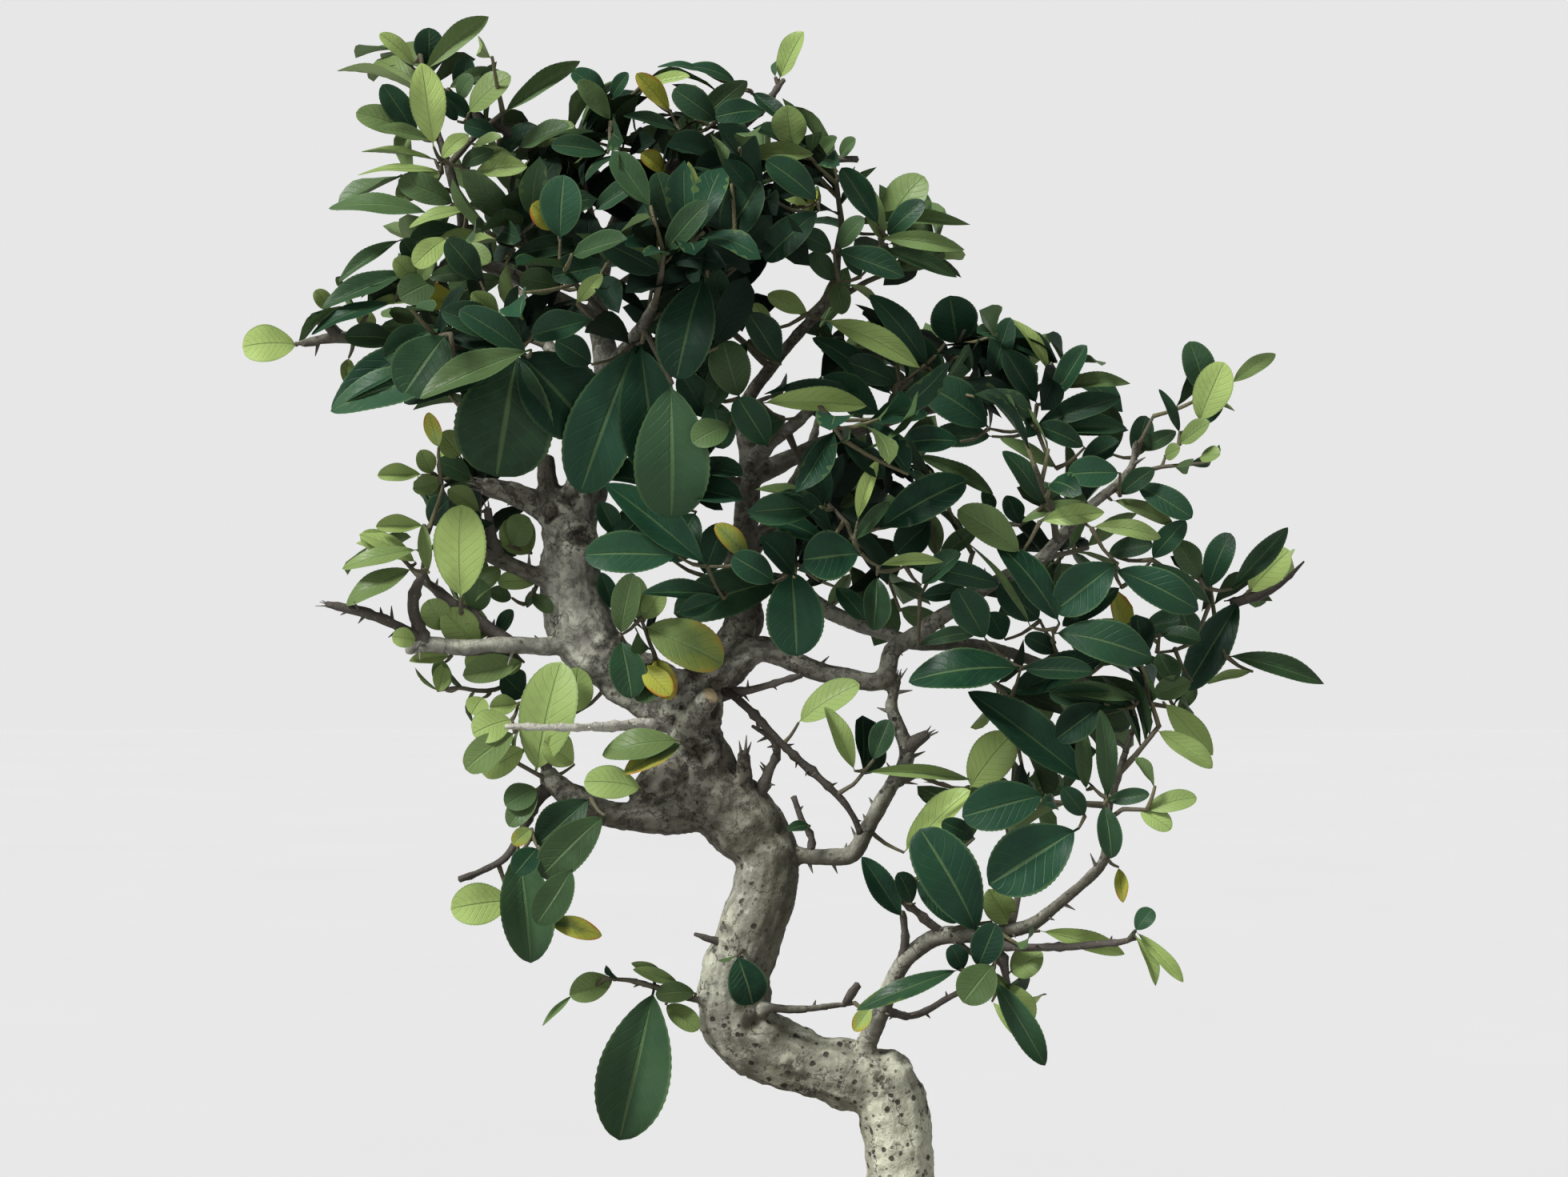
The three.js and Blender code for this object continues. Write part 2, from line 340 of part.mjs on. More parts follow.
// Openings between the pads, kept free of leaves from the front: [x, z, half width, half height]
const CLEARINGS = [
  [-40, 183, 17, 22], [12, 180, 12, 22], [8, 228, 16, 20], [49, 235, 10, 14], [-70, 293, 13, 26],
    [-45, 281, 11, 9],
  [57, 324, 13, 6], [-12, 243, 14, 12], [-125, 325, 14, 10], [-34, 240, 10, 16],
];

const MATERIALS = {
  bark: new THREE.MeshStandardMaterial({ color: 0x9b948a, roughness: 0.85, metalness: 0 }),
  leaf: new THREE.MeshStandardMaterial({ color: 0x2f4a33, roughness: 0.45, metalness: 0 }),
  glaze: new THREE.MeshStandardMaterial({ color: 0x5b4a3d, roughness: 0.35, metalness: 0 }),
  soil: new THREE.MeshStandardMaterial({ color: 0x5d4a38, roughness: 0.95, metalness: 0 }),
  mesh: new THREE.MeshStandardMaterial({ color: 0x25282a, roughness: 0.6, metalness: 0 }),
};

// Solids

function toSolid(geometry) {
  geometry.deleteAttribute("normal");
  geometry.deleteAttribute("uv");
  const merged = mergeVertices(geometry, 1e-4);
  return new wasm.Manifold(new wasm.Mesh({
    numProp: 3,
    vertProperties: new Float32Array(merged.attributes.position.array),
    triVerts: new Uint32Array(merged.index.array),
  }));
}

function toGeometry(solid) {
  const mesh = solid.getMesh();
  const geometry = new THREE.BufferGeometry();
  geometry.setAttribute("position", new THREE.BufferAttribute(mesh.vertProperties, 3));
  geometry.setIndex(new THREE.BufferAttribute(mesh.triVerts, 1));
  geometry.computeVertexNormals();
  return geometry;
}

function join(solids) {
  return wasm.Manifold.union(solids);
}

// Drops the needless edges that joining leaves behind
function clean(solid, tolerance = LEAF_SMOOTH) {
  return solid.asOriginal().simplify(tolerance);
}

function largestBody(solid) {
  const bodies = clean(solid).decompose();
  return bodies.reduce((best, body) => (body.volume() > best.volume() ? body : best));
}

function toMesh(name, solid, material) {
  const mesh = new THREE.Mesh(toGeometry(solid), material.clone());
  mesh.name = name;
  return mesh;
}

// A closed skin over rings of equal count, each running anticlockwise round the way ahead
function loft(rings) {
  const count = rings[0].length;
  const positions = rings.flat().flatMap((p) => [p.x, p.y, p.z]);
  const index = [];
  for (let k = 0; k < rings.length - 1; k++) {
    for (let i = 0; i < count; i++) {
      const next = (i + 1) % count;
      const a = k * count;
      const b = a + count;
      index.push(a + i, a + next, b + next, a + i, b + next, b + i);
    }
  }
  const last = (rings.length - 1) * count;
  for (let i = 1; i < count - 1; i++) {
    index.push(0, i + 1, i, last, last + i, last + i + 1);
  }
  const geometry = new THREE.BufferGeometry();
  geometry.setAttribute("position", new THREE.Float32BufferAttribute(positions, 3));
  geometry.setIndex(index);
  return geometry;
}

// A tapered tube through points, with one ring at each
function sweep(path, radii, sides) {
  const side = new THREE.Vector3(0.3, 1, 0.2);
  const rings = path.map((point, i) => {
    const ahead = path[Math.min(i + 1, path.length - 1)];
    const behind = path[Math.max(i - 1, 0)];
    const along = ahead.clone().sub(behind).normalize();
    side.addScaledVector(along, -side.dot(along)).normalize();
    const across = along.clone().cross(side);
    return Array.from({ length: sides }, (_, k) => {
      const angle = (k / sides) * 2 * Math.PI;
      return point.clone()
        .addScaledVector(side, Math.cos(angle) * radii[i])
        .addScaledVector(across, Math.sin(angle) * radii[i]);
    });
  });
  return toSolid(loft(rings));
}

function block(length, width, height, x, y, z) {
  const geometry = new THREE.BoxGeometry(length, width, height);
  geometry.translate(x, y, z);
  return toSolid(geometry);
}

// Pot, soil and drain mesh

function roundedRing(length, width, corner, z, x = POT_X, y = 0, steps = 3) {
  const ring = [];
  for (let k = 0; k < 4; k++) {
    const centreX = x + (length / 2 - corner) * (k === 0 || k === 3 ? 1 : -1);
    const centreY = y + (width / 2 - corner) * (k < 2 ? 1 : -1);
    for (let i = 0; i <= steps; i++) {
      const angle = (k + i / steps) * (Math.PI / 2);
      ring.push(new THREE.Vector3(centreX + corner * Math.cos(angle), centreY + corner * Math.sin(angle), z));
    }
  }
  return ring;
}

function potRing(inset, z) {
  return roundedRing(POT_LENGTH - 2 * inset, POT_WIDTH - 2 * inset, POT_CORNER - inset, z);
}

const FLOOR_TOP = FOOT_HEIGHT + POT_FLOOR;
const INNER_TOP = LIP_OUT + POT_WALL;
const INNER_BOTTOM = INNER_TOP + POT_TAPER;

function innerInset(z) {
  return INNER_BOTTOM + ((INNER_TOP - INNER_BOTTOM) * (z - FLOOR_TOP)) / (POT_HEIGHT - FLOOR_TOP);
}

function makeFoot(sideX, sideY) {
  const x = POT_X + sideX * (POT_LENGTH / 2 - LIP_OUT - POT_TAPER - FOOT_LENGTH / 2 - FOOT_INSET);
  const y = sideY * (POT_WIDTH / 2 - LIP_OUT - POT_TAPER - FOOT_WIDTH / 2 - FOOT_INSET);
  const narrow = 2 * FOOT_NARROWING;
  return toSolid(loft([
    roundedRing(FOOT_LENGTH - narrow, FOOT_WIDTH - narrow, FOOT_CORNER - FOOT_NARROWING, 0, x, y, 1),
    roundedRing(FOOT_LENGTH, FOOT_WIDTH, FOOT_CORNER, FOOT_HEIGHT + FOOT_BURIED, x, y, 1),
  ]));
}

function makeDrain(side) {
  const drain = new THREE.CylinderGeometry(DRAIN_RADIUS, DRAIN_RADIUS, POT_FLOOR * 3, 12);
  drain.rotateX(Math.PI / 2);
  drain.translate(POT_X + side * DRAIN_SPREAD, 0, FLOOR_TOP);
  return toSolid(drain);
}

function makePot() {
  const lipBase = POT_HEIGHT - LIP_HEIGHT;
  const body = toSolid(loft([
    potRing(LIP_OUT + POT_TAPER + FOOT_BURIED, FOOT_HEIGHT),
    potRing(LIP_OUT + POT_TAPER, FOOT_HEIGHT + FOOT_BURIED),
    potRing(LIP_OUT + POT_TAPER * POT_BELLY, (FOOT_HEIGHT + lipBase) / 2),
    potRing(LIP_OUT, lipBase),
    potRing(LIP_ROUND / 2, lipBase + LIP_ROUND),
    potRing(0, lipBase + 2 * LIP_ROUND),
    potRing(0, POT_HEIGHT - LIP_ROUND),
    potRing(LIP_ROUND, POT_HEIGHT),
    potRing(INNER_TOP - LIP_ROUND, POT_HEIGHT),
    potRing(INNER_TOP, POT_HEIGHT - LIP_ROUND),
    potRing(INNER_BOTTOM, FLOOR_TOP),
  ]));
  const feet = [-1, 1].flatMap((sideX) => [-1, 1].map((sideY) => makeFoot(sideX, sideY)));
  const drains = [-1, 1].map(makeDrain);
  return clean(join([body, ...feet]).subtract(join(drains)));
}

function makeDrainMesh(side) {
  const x = POT_X + side * DRAIN_SPREAD;
  const z = FLOOR_TOP + GAP + MESH_THICK / 2;
  const pitch = (MESH_SIDE - MESH_BAR) / (MESH_BARS - 1);
  const bars = [];
  for (let i = 0; i < MESH_BARS; i++) {
    const offset = (i - (MESH_BARS - 1) / 2) * pitch;
    bars.push(block(MESH_BAR, MESH_SIDE, MESH_THICK, x + offset, 0, z));
    bars.push(block(MESH_SIDE, MESH_BAR, MESH_THICK, x, offset, z));
  }
  return clean(join(bars));
}

// One ring of the soil's mound, drawn in towards the middle and raised
function moundRing([inward, rise]) {
  const edge = POT_HEIGHT - SOIL_BELOW_RIM;
  return potRing(innerInset(edge) + GAP, edge + rise)
    .map((p) => new THREE.Vector3(POT_X + (p.x - POT_X) * (1 - inward), p.y * (1 - inward), p.z));
}

function makeSoil(treeGuard) {
  const bottom = FLOOR_TOP + GAP;
  const soil = toSolid(loft([potRing(innerInset(bottom) + GAP, bottom), ...SOIL_MOUND.map(moundRing)]));
  const side = MESH_SIDE + 2 * GAP;
  const depth = MESH_THICK + 2 * GAP;
  const recesses = [-1, 1].map((way) => block(side, side, 2 * depth, POT_X + way * DRAIN_SPREAD, 0, bottom));
  return largestBody(soil.subtract(join(recesses)).subtract(treeGuard));
}

// Tree

function place([x, y, z]) {
  const spread = (VIEW_DISTANCE + y) / VIEW_DISTANCE;
  return new THREE.Vector3(x * spread, y, EYE_HEIGHT + (z - EYE_HEIGHT) * spread);
}

function seen(point) {
  const spread = (VIEW_DISTANCE + point.y) / VIEW_DISTANCE;
  return [point.x / spread, EYE_HEIGHT + (point.z - EYE_HEIGHT) / spread];
}

function insideOutline([x, z]) {
  let inside = false;
  OUTLINE.forEach(([x1, z1], i) => {
    const [x2, z2] = OUTLINE[(i + 1) % OUTLINE.length];
    if (z1 > z !== z2 > z && x < x1 + ((x2 - x1) * (z - z1)) / (z2 - z1)) inside = !inside;
  });
  return inside;
}

function inClearing([x, z]) {
  return CLEARINGS.some(([cx, cz, halfX, halfZ]) => ((x - cx) / halfX) ** 2 + ((z - cz) / halfZ) ** 2 < 1);
}

// Whether a leaf or shoot keeps to the outline and leaves the openings open
function keepsForm(base, tip) {
  const middle = base.clone().lerp(tip, 0.6);
  return insideOutline(seen(tip)) && !inClearing(seen(tip)) && !inClearing(seen(middle));
}

function limbSides(radius) {
  if (radius > 7) return 9;
  if (radius > 3.3) return 5;
  return radius > 1.9 ? 4 : 3;
}

// With a guard, the limb is that much larger all over, its flats and both ends included
function makeLimb(points, guard) {
  const sides = limbSides(Math.max(...points.map((point) => point[3])));
  const path = points.map(place);
  const last = path.length - 1;
  const start = path[0].clone().sub(path[1]).setLength(guard);
  const end = path[last].clone().sub(path[last - 1]).setLength(guard);
  path[0].add(start);
  path[last].add(end);
  return sweep(path, points.map((point) => point[3] + guard / Math.cos(Math.PI / sides)), sides);
}

function makeRoot([heading, run], guard) {
  const angle = THREE.MathUtils.degToRad(heading);
  const [x, y] = LIMBS.foot[1];
  const points = ROOT_STEPS.map(([part, z, r]) => [
    x + Math.cos(angle) * (ROOT_START + run * part),
    y + Math.sin(angle) * (ROOT_START + run * part),
    z,
    r,
  ]);
  return makeLimb(points, guard);
}

function boughOf(limb) {
  const found = Object.entries(BOUGHS).find(([, limbs]) => limbs.includes(limb));
  return found ? found[0] : null;
}

function makeTree(guard) {
  const limbs = Object.entries(LIMBS)
    .filter(([name]) => !boughOf(name))
    .map(([, points]) => makeLimb(points, guard));
  return clean(join([...limbs, ...ROOTS.map((root) => makeRoot(root, guard))]), BARK_SMOOTH);
}

// Leafy sprays

function chance(a, b) {
  const wave = Math.sin(a * 12.9898 + b * 78.233) * 43758.5453;
  return wave - Math.floor(wave);
}

function radial(axis, angle) {
  const side = new THREE.Vector3(0.31, -0.87, 0.38);
  side.addScaledVector(axis, -side.dot(axis)).normalize();
  const across = axis.clone().cross(side);
  return side.multiplyScalar(Math.cos(angle)).addScaledVector(across, Math.sin(angle));
}

function pointAlong(path, part) {
  const spot = Math.min(part, 0.9999) * (path.length - 1);
  const k = Math.floor(spot);
  return path[k].clone().lerp(path[k + 1], spot - k);
}

// A point on a limb: its place counts the limb's own points
function onLimb(points, at) {
  const k = Math.min(Math.floor(at), points.length - 2);
  return [0, 1, 2].map((i) => THREE.MathUtils.lerp(points[k][i], points[k + 1][i], at - k));
}

function headingOf(stem) {
  return stem[stem.length - 1].clone().sub(stem[stem.length - 2]).normalize();
}

function growMainShoot(stem) {
  return { from: pointAlong(stem, 0.4), to: stem[stem.length - 1], axis: headingOf(stem) };
}

function growSideShoot(stem, s, sideShoots, size, seed, bend) {
  const heading = headingOf(stem);
  const from = pointAlong(stem, SHOOT_FIRST + (SHOOT_SPAN * s) / sideShoots);
  const turn = s * GOLDEN_ANGLE + chance(seed, s) * 2 * Math.PI + bend;
  const axis = heading.clone().multiplyScalar(SHOOT_AHEAD)
    .addScaledVector(radial(heading, turn), SHOOT_OUTWARD)
    .addScaledVector(UP, SHOOT_UPWARD)
    .normalize();
  const reach = size * (SHOOT_REACH + SHOOT_REACH_VARIES * chance(seed, s + ROLL.reach));
  return { from, to: from.clone().addScaledVector(axis, reach), axis };
}

function growLeaf(shoots, j, leafCount, size, seed) {
  const nth = j % shoots.length;
  const shoot = shoots[nth];
  const rank = Math.floor(j / shoots.length);
  const part = LEAF_FIRST + ((1 - LEAF_FIRST) * (rank + 0.6)) / Math.ceil(leafCount / shoots.length);
  const roll = (what) => chance(seed, what + j);
  const length = size * (LEAF_LENGTH_LEAST + LEAF_LENGTH_VARIES * roll(ROLL.length));
  const open = LEAF_OPEN - LEAF_CLOSING * part + LEAF_OPEN_VARIES * (roll(ROLL.open) - 0.5);
  return {
    base: shoot.from.clone().lerp(shoot.to, Math.min(part, 0.98)),
    axis: shoot.axis,
    open: THREE.MathUtils.degToRad(open),
    turn: rank * GOLDEN_ANGLE + 2 * Math.PI * chance(seed, ROLL.turn + nth),
    length,
    width: length * LEAF_RATIO * (LEAF_WIDTH_LEAST + LEAF_WIDTH_VARIES * roll(ROLL.width)),
  };
}

function aimLeaf({ base, axis, open, turn, length, width }) {
  const heading = axis.clone().multiplyScalar(Math.cos(open))
    .addScaledVector(radial(axis, turn), Math.sin(open))
    .addScaledVector(UP, LEAF_UPWARD)
    .normalize();
  const face = axis.clone().multiplyScalar(LEAF_FACE_AHEAD).addScaledVector(LIGHT, LEAF_FACE_LIGHT);
  return { base, tip: base.clone().addScaledVector(heading, length), width, face };
}

// One blade: a plate of six points, bent along its length
function makeBlade({ base, tip, width, face }, thick) {
  const along = tip.clone().sub(base);
  const length = along.length();
  along.normalize();
  const normal = face.clone().addScaledVector(along, -face.dot(along)).normalize();
  const across = normal.clone().cross(along);
  const count = BLADE.length;
  const positions = [-0.5, 0.5].flatMap((level) => BLADE.flatMap(([u, v, rise]) => {
    const p = base.clone()
      .addScaledVector(along, u * length)
      .addScaledVector(across, v * width)
      .addScaledVector(normal, rise * length + level * thick);
    return [p.x, p.y, p.z];
  }));
  const index = BLADE_FACES.flatMap(([a, b, c]) => [c, b, a, a + count, b + count, c + count]);
  for (let i = 0; i < count; i++) {
    const next = (i + 1) % count;
    index.push(i, next, next + count, i, next + count, i + count);
  }
  const geometry = new THREE.BufferGeometry();
  geometry.setAttribute("position", new THREE.Float32BufferAttribute(positions, 3));
  geometry.setIndex(index);
  return toSolid(geometry);
}

function boxesMeet(a, b) {
  return [0, 1, 2].every((i) => a.min[i] < b.max[i] && b.min[i] < a.max[i]);
}

// What each node has grown so far, for bending leaves clear of what isn't their own
const grown = [];

function remember(node, solid, wood) {
  grown.push({ node, solid, wood, box: solid.boundingBox() });
}

// A leaf may touch its own node's wood, but no other node, and no leaf outside its own foot
function isClear(node, guard, outer) {
  const box = guard.boundingBox();
  return !grown.some((other) => boxesMeet(box, other.box)
    && !(other.node === node && other.wood)
    && !other.solid.intersect(other.node === node ? outer : guard).isEmpty());
}

function addSideShoot(node, solids, stem, s, sideShoots, size, seed) {
  for (const bend of SHOOT_BENDS) {
    const shoot = growSideShoot(stem, s, sideShoots, size, seed, bend);
    const clear = sweep([shoot.from, shoot.to], SHOOT_RADII.map((radius) => radius + 2 * GAP), 3);
    if (keepsForm(shoot.from, shoot.to) && isClear(node, clear, clear)) {
      const wood = sweep([shoot.from, shoot.to], SHOOT_RADII, 3);
      solids.push(wood);
      remember(node, wood, true);
      return [shoot];
    }
  }
  return [];
}

function addLeaf(node, solids, tries) {
  for (const leaf of tries) {
    const wider = { ...leaf, width: leaf.width + 2 * LEAF_CLEARANCE };
    const guard = makeBlade(wider, LEAF_THICK + 2 * LEAF_CLEARANCE);
    const outer = makeBlade({ ...leaf, base: leaf.base.clone().lerp(leaf.tip, 0.3) }, LEAF_THICK);
    if (isClear(node, guard, outer)) {
      const blade = makeBlade(leaf, LEAF_THICK);
      solids.push(blade);
      remember(node, blade, false);
      return;
    }
  }
}

function makeStem([name, limb, at, points, sideShoots, leafCount, size, chosen], seed) {
  const stem = [onLimb(LIMBS[limb], at), ...points].map(place);
  stem[stem.length - 1].addScaledVector(headingOf(stem), size * STEM_RUN_ON);
  const thick = leafCount > FINE_STEM_LEAVES ? STEM_RADIUS : FINE_STEM_RADIUS;
  const radii = stem.map((_, i) => thick * (STEM_TAPER[0] - (STEM_TAPER[1] * i) / stem.length));
  const node = boughOf(limb) ?? name;
  return { node, wood: sweep(stem, radii, 4), stem, sideShoots, leafCount, size, chosen, seed };
}

function addSideShoots(spray, solids) {
  const { node, stem, sideShoots, size, seed } = spray;
  spray.shoots = [growMainShoot(stem)];
  for (let s = 1; s <= Math.min(sideShoots, MOST_SIDE_SHOOTS); s++) {
    spray.shoots.push(...addSideShoot(node, solids, stem, s, sideShoots, size, seed));
  }
}

function addChosenLeaves({ node, stem, chosen }, solids) {
  for (const [part, [x, y, z], width, face] of chosen) {
    const base = pointAlong(stem, part);
    addLeaf(node, solids, TIP_MOVES.map((move) => ({
      base, tip: place([x, y + move, z]), width, face: new THREE.Vector3(...face),
    })));
  }
}

// The share of the rule's leaves that are solid here is spread evenly over the spray
function addLeavesByRule({ node, shoots, leafCount, size, seed }, solids) {
  for (let j = 0; j < leafCount; j++) {
    if (Math.floor((j + 1) * SHARE_IN_SOURCE) === Math.floor(j * SHARE_IN_SOURCE)) continue;
    const leaf = growLeaf(shoots, j, leafCount, size, seed);
    const tries = LEAF_BENDS
      .map(([turn, open]) => aimLeaf({ ...leaf, turn: leaf.turn + turn, open: leaf.open + open }))
      .filter(({ base, tip }) => keepsForm(base, tip));
    addLeaf(node, solids, tries);
  }
}

function makeSprays(tree, treeGuard) {
  remember("trunk", tree, true);
  const nodes = new Map(Object.entries(BOUGHS)
    .map(([bough, limbs]) => [bough, limbs.map((limb) => makeLimb(LIMBS[limb], 0))]));
  for (const [node, solids] of nodes) remember(node, join(solids), true);
  const sprays = SPRAYS.map(makeStem);
  for (const { node, wood } of sprays) {
    if (!nodes.has(node)) nodes.set(node, []);
    nodes.get(node).push(wood);
    remember(node, wood, true);
  }
  for (const step of [addSideShoots, addChosenLeaves, addLeavesByRule]) {
    for (const spray of sprays) step(spray, nodes.get(spray.node));
  }
  return [...nodes].map(([node, solids]) => [node, largestBody(join(solids).subtract(treeGuard))]);
}

const tree = makeTree(0);
const treeGuard = makeTree(SEAT_GAP);

const group = new THREE.Group();
group.add(toMesh("pot", makePot(), MATERIALS.glaze));
group.add(toMesh("soil", makeSoil(treeGuard), MATERIALS.soil));
group.add(toMesh("drain_mesh_left", makeDrainMesh(-1), MATERIALS.mesh));
group.add(toMesh("drain_mesh_right", makeDrainMesh(1), MATERIALS.mesh));
group.add(toMesh("trunk", tree, MATERIALS.bark));
for (const [name, solid] of makeSprays(tree, treeGuard)) group.add(toMesh(name, solid, MATERIALS.leaf));

// The origin is the middle of the whole object's box, on the surface that it stands on
const box = new THREE.Box3().setFromObject(group);
const middle = box.getCenter(new THREE.Vector3());
group.position.set(-middle.x, -middle.y, -box.min.z);

export default group;
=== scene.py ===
# %% [markdown]
# # A firethorn grown as a bonsai, in a glazed tray
# The frame holds the measured solids: tray, soil, drain meshes, trunk and sprays. This file dresses
# them. The tree stands as it was drawn for the front view, so every table below is in millimetres
# with the eye's axis at x = 0, and one shift carries it to the frame.

# %% Frame, size and shift
import json
import math
import bmesh
import bpy
import numpy as np
from mathutils import Matrix, Vector, noise
from mathutils.bvhtree import BVHTree

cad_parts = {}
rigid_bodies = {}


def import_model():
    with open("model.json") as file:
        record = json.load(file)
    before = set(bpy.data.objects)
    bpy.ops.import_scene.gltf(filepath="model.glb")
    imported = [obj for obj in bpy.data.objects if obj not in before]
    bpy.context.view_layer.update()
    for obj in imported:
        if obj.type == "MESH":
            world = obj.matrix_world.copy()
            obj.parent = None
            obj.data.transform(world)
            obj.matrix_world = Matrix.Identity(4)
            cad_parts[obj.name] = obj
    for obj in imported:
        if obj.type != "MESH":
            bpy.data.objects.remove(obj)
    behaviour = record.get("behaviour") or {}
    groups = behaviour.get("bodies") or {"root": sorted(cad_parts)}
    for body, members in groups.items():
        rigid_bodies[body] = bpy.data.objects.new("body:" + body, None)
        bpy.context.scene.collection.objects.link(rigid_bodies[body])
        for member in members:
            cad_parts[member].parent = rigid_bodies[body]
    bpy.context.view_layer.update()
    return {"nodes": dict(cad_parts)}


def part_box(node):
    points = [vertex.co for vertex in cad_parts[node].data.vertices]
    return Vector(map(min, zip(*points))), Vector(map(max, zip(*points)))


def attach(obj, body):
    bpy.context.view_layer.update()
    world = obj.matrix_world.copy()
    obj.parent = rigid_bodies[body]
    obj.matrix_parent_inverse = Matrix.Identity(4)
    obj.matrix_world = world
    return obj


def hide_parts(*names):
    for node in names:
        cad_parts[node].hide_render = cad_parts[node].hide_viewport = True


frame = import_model()
MM = 0.001
POT_X = 14
pot_low, pot_high = (np.array(corner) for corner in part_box("pot"))
SHIFT = (pot_low + pot_high) / 2 / MM - np.array([POT_X, 0, 0])
SHIFT[2] = 0


def metres(points):
    """Millimetres of the tables, as metres of the frame."""
    return (np.asarray(points, float) + SHIFT) * MM


# %% [markdown]
# The photograph was taken level with the middle of the tree, from about a metre away, and cuts the
# trunk off above the tray. The camera stands where that view comes from: the picture is 490 mm wide
# at the trunk, which fixes the focal length.

# %% Camera
VIEW_DISTANCE = 1100
EYE_HEIGHT = 284
PICTURE_WIDTH = 490
camera_data = bpy.data.cameras.new("camera")
camera_data.sensor_width = 36
camera_data.lens = camera_data.sensor_width * VIEW_DISTANCE / PICTURE_WIDTH
camera_data.clip_start = 0.01
camera = bpy.data.objects.new("camera", camera_data)
camera.location = metres([0, -VIEW_DISTANCE, EYE_HEIGHT])
camera.rotation_euler = (math.pi / 2, 0, 0)
bpy.context.scene.collection.objects.link(camera)
bpy.context.scene.camera = camera
print("lens", round(camera_data.lens, 1), "mm")

# %% [markdown]
# Each finish is a small formula over the surface. The class below wraps one socket, so that sums and
# products of patterns read as ordinary sums and products; each makes its Math node.


# %% A socket that arithmetic works on
class Wire:
    """A socket of a node tree, for use in expressions."""

    def __init__(self, graph, socket):
        self.graph = graph
        self.socket = socket

    def __add__(self, other):
        return self.graph.math("ADD", self, other)

    __radd__ = __add__

    def __sub__(self, other):
        return self.graph.math("SUBTRACT", self, other)

    def __rsub__(self, other):
        return self.graph.math("SUBTRACT", other, self)

    def __mul__(self, other):
        return self.graph.math("MULTIPLY", self, other)

    __rmul__ = __mul__


print("sockets take +, - and *")

# %% [markdown]
# Materials, the surroundings and Geometry Nodes are all node trees, so one class builds them all. Its
# one method for nodes takes a node's type, its settings, which decide what sockets it has, and then
# the values or links of those sockets.


# %% Node trees
class Graph:
    """A node tree under construction."""

    def __init__(self, tree):
        self.tree = tree
        self.tree.nodes.clear()

    def node(self, kind, settings=None, sockets=None, out=0):
        """Any node: its settings first, then the values or links of its sockets."""
        made = self.tree.nodes.new(kind)
        for name, value in (settings or {}).items():
            if name == "stops":
                self.set_stops(made.color_ramp.elements, value)
            else:
                setattr(made, name, value)
        for name, value in (sockets or {}).items():
            self.plug(made.inputs[name], value)
        return Wire(self, made.outputs[out]) if len(made.outputs) else None

    def set_stops(self, ramp, stops):
        while len(ramp) < len(stops):
            ramp.new(0.5)
        for element, (place_on_ramp, colour) in zip(ramp, stops):
            element.position = place_on_ramp
            element.color = (*colour, 1)

    def plug(self, socket, value):
        if isinstance(value, Wire):
            self.tree.links.new(value.socket, socket)
        elif socket.type == "RGBA":
            socket.default_value = (*value, 1)
        else:
            socket.default_value = value

    def math(self, operation, first, second=0.0):
        return self.node("ShaderNodeMath", {"operation": operation}, {0: first, 1: second})


print("any tree has", [name for name in vars(Graph) if not name.startswith("_")])

# %% [markdown]
# A finish adds what every material needs: places on the object to read patterns from, blends of
# colours by Mix nodes, since a Math node would turn them grey, and the shader at the end.


# %% Finishes
class Finish(Graph):
    """A material under construction."""

    def __init__(self, name):
        self.material = bpy.data.materials.new(name)
        self.material.use_nodes = True
        super().__init__(self.material.node_tree)
        self.coords = self.node("ShaderNodeTexCoord", out="Object")

    def step(self, value, low, high):
        """0 below low, 1 above high, smooth between."""
        return self.node("ShaderNodeMapRange", {"interpolation_type": "SMOOTHSTEP"},
                         {"Value": value, "From Min": low, "From Max": high})

    def mix(self, amount, first, second):
        return self.node("ShaderNodeMix", {"data_type": "RGBA"}, {0: amount, 6: first, 7: second}, out=2)

    def ramp(self, value, *stops):
        return self.node("ShaderNodeValToRGB", {"stops": stops}, {"Fac": value})

    def noise(self, scale, detail=3.0, rough=0.55):
        return self.node("ShaderNodeTexNoise", None, {
            "Vector": self.coords, "Scale": scale, "Detail": detail, "Roughness": rough})

    def cells(self, scale, out="Distance"):
        return self.node("ShaderNodeTexVoronoi", None, {"Vector": self.coords, "Scale": scale}, out=out)

    def attribute(self, name):
        return self.node("ShaderNodeAttribute", {"attribute_name": name}, None, out="Fac")

    def parts(self, vector):
        split = self.node("ShaderNodeSeparateXYZ", None, {"Vector": vector}).socket.node
        return [Wire(self, socket) for socket in split.outputs]

    def bump(self, height, depth, strength=1.0):
        return self.node("ShaderNodeBump", None,
                         {"Height": height, "Distance": depth, "Strength": strength})

    def finish(self, colour, roughness, normal=None, **constants):
        """Joins the shader up. A constant's name has _ for each space."""
        sockets = {"Base Color": colour, "Roughness": roughness}
        if normal:
            sockets["Normal"] = normal
        sockets.update({name.replace("_", " "): value for name, value in constants.items()})
        shader = self.node("ShaderNodeBsdfPrincipled", None, sockets)
        self.node("ShaderNodeOutputMaterial", None, {"Surface": shader})
        self.material.diffuse_color = (0.3, 0.3, 0.3, 1)
        return self.material


print("a finish adds", [name for name in vars(Finish) if not name.startswith("_")])
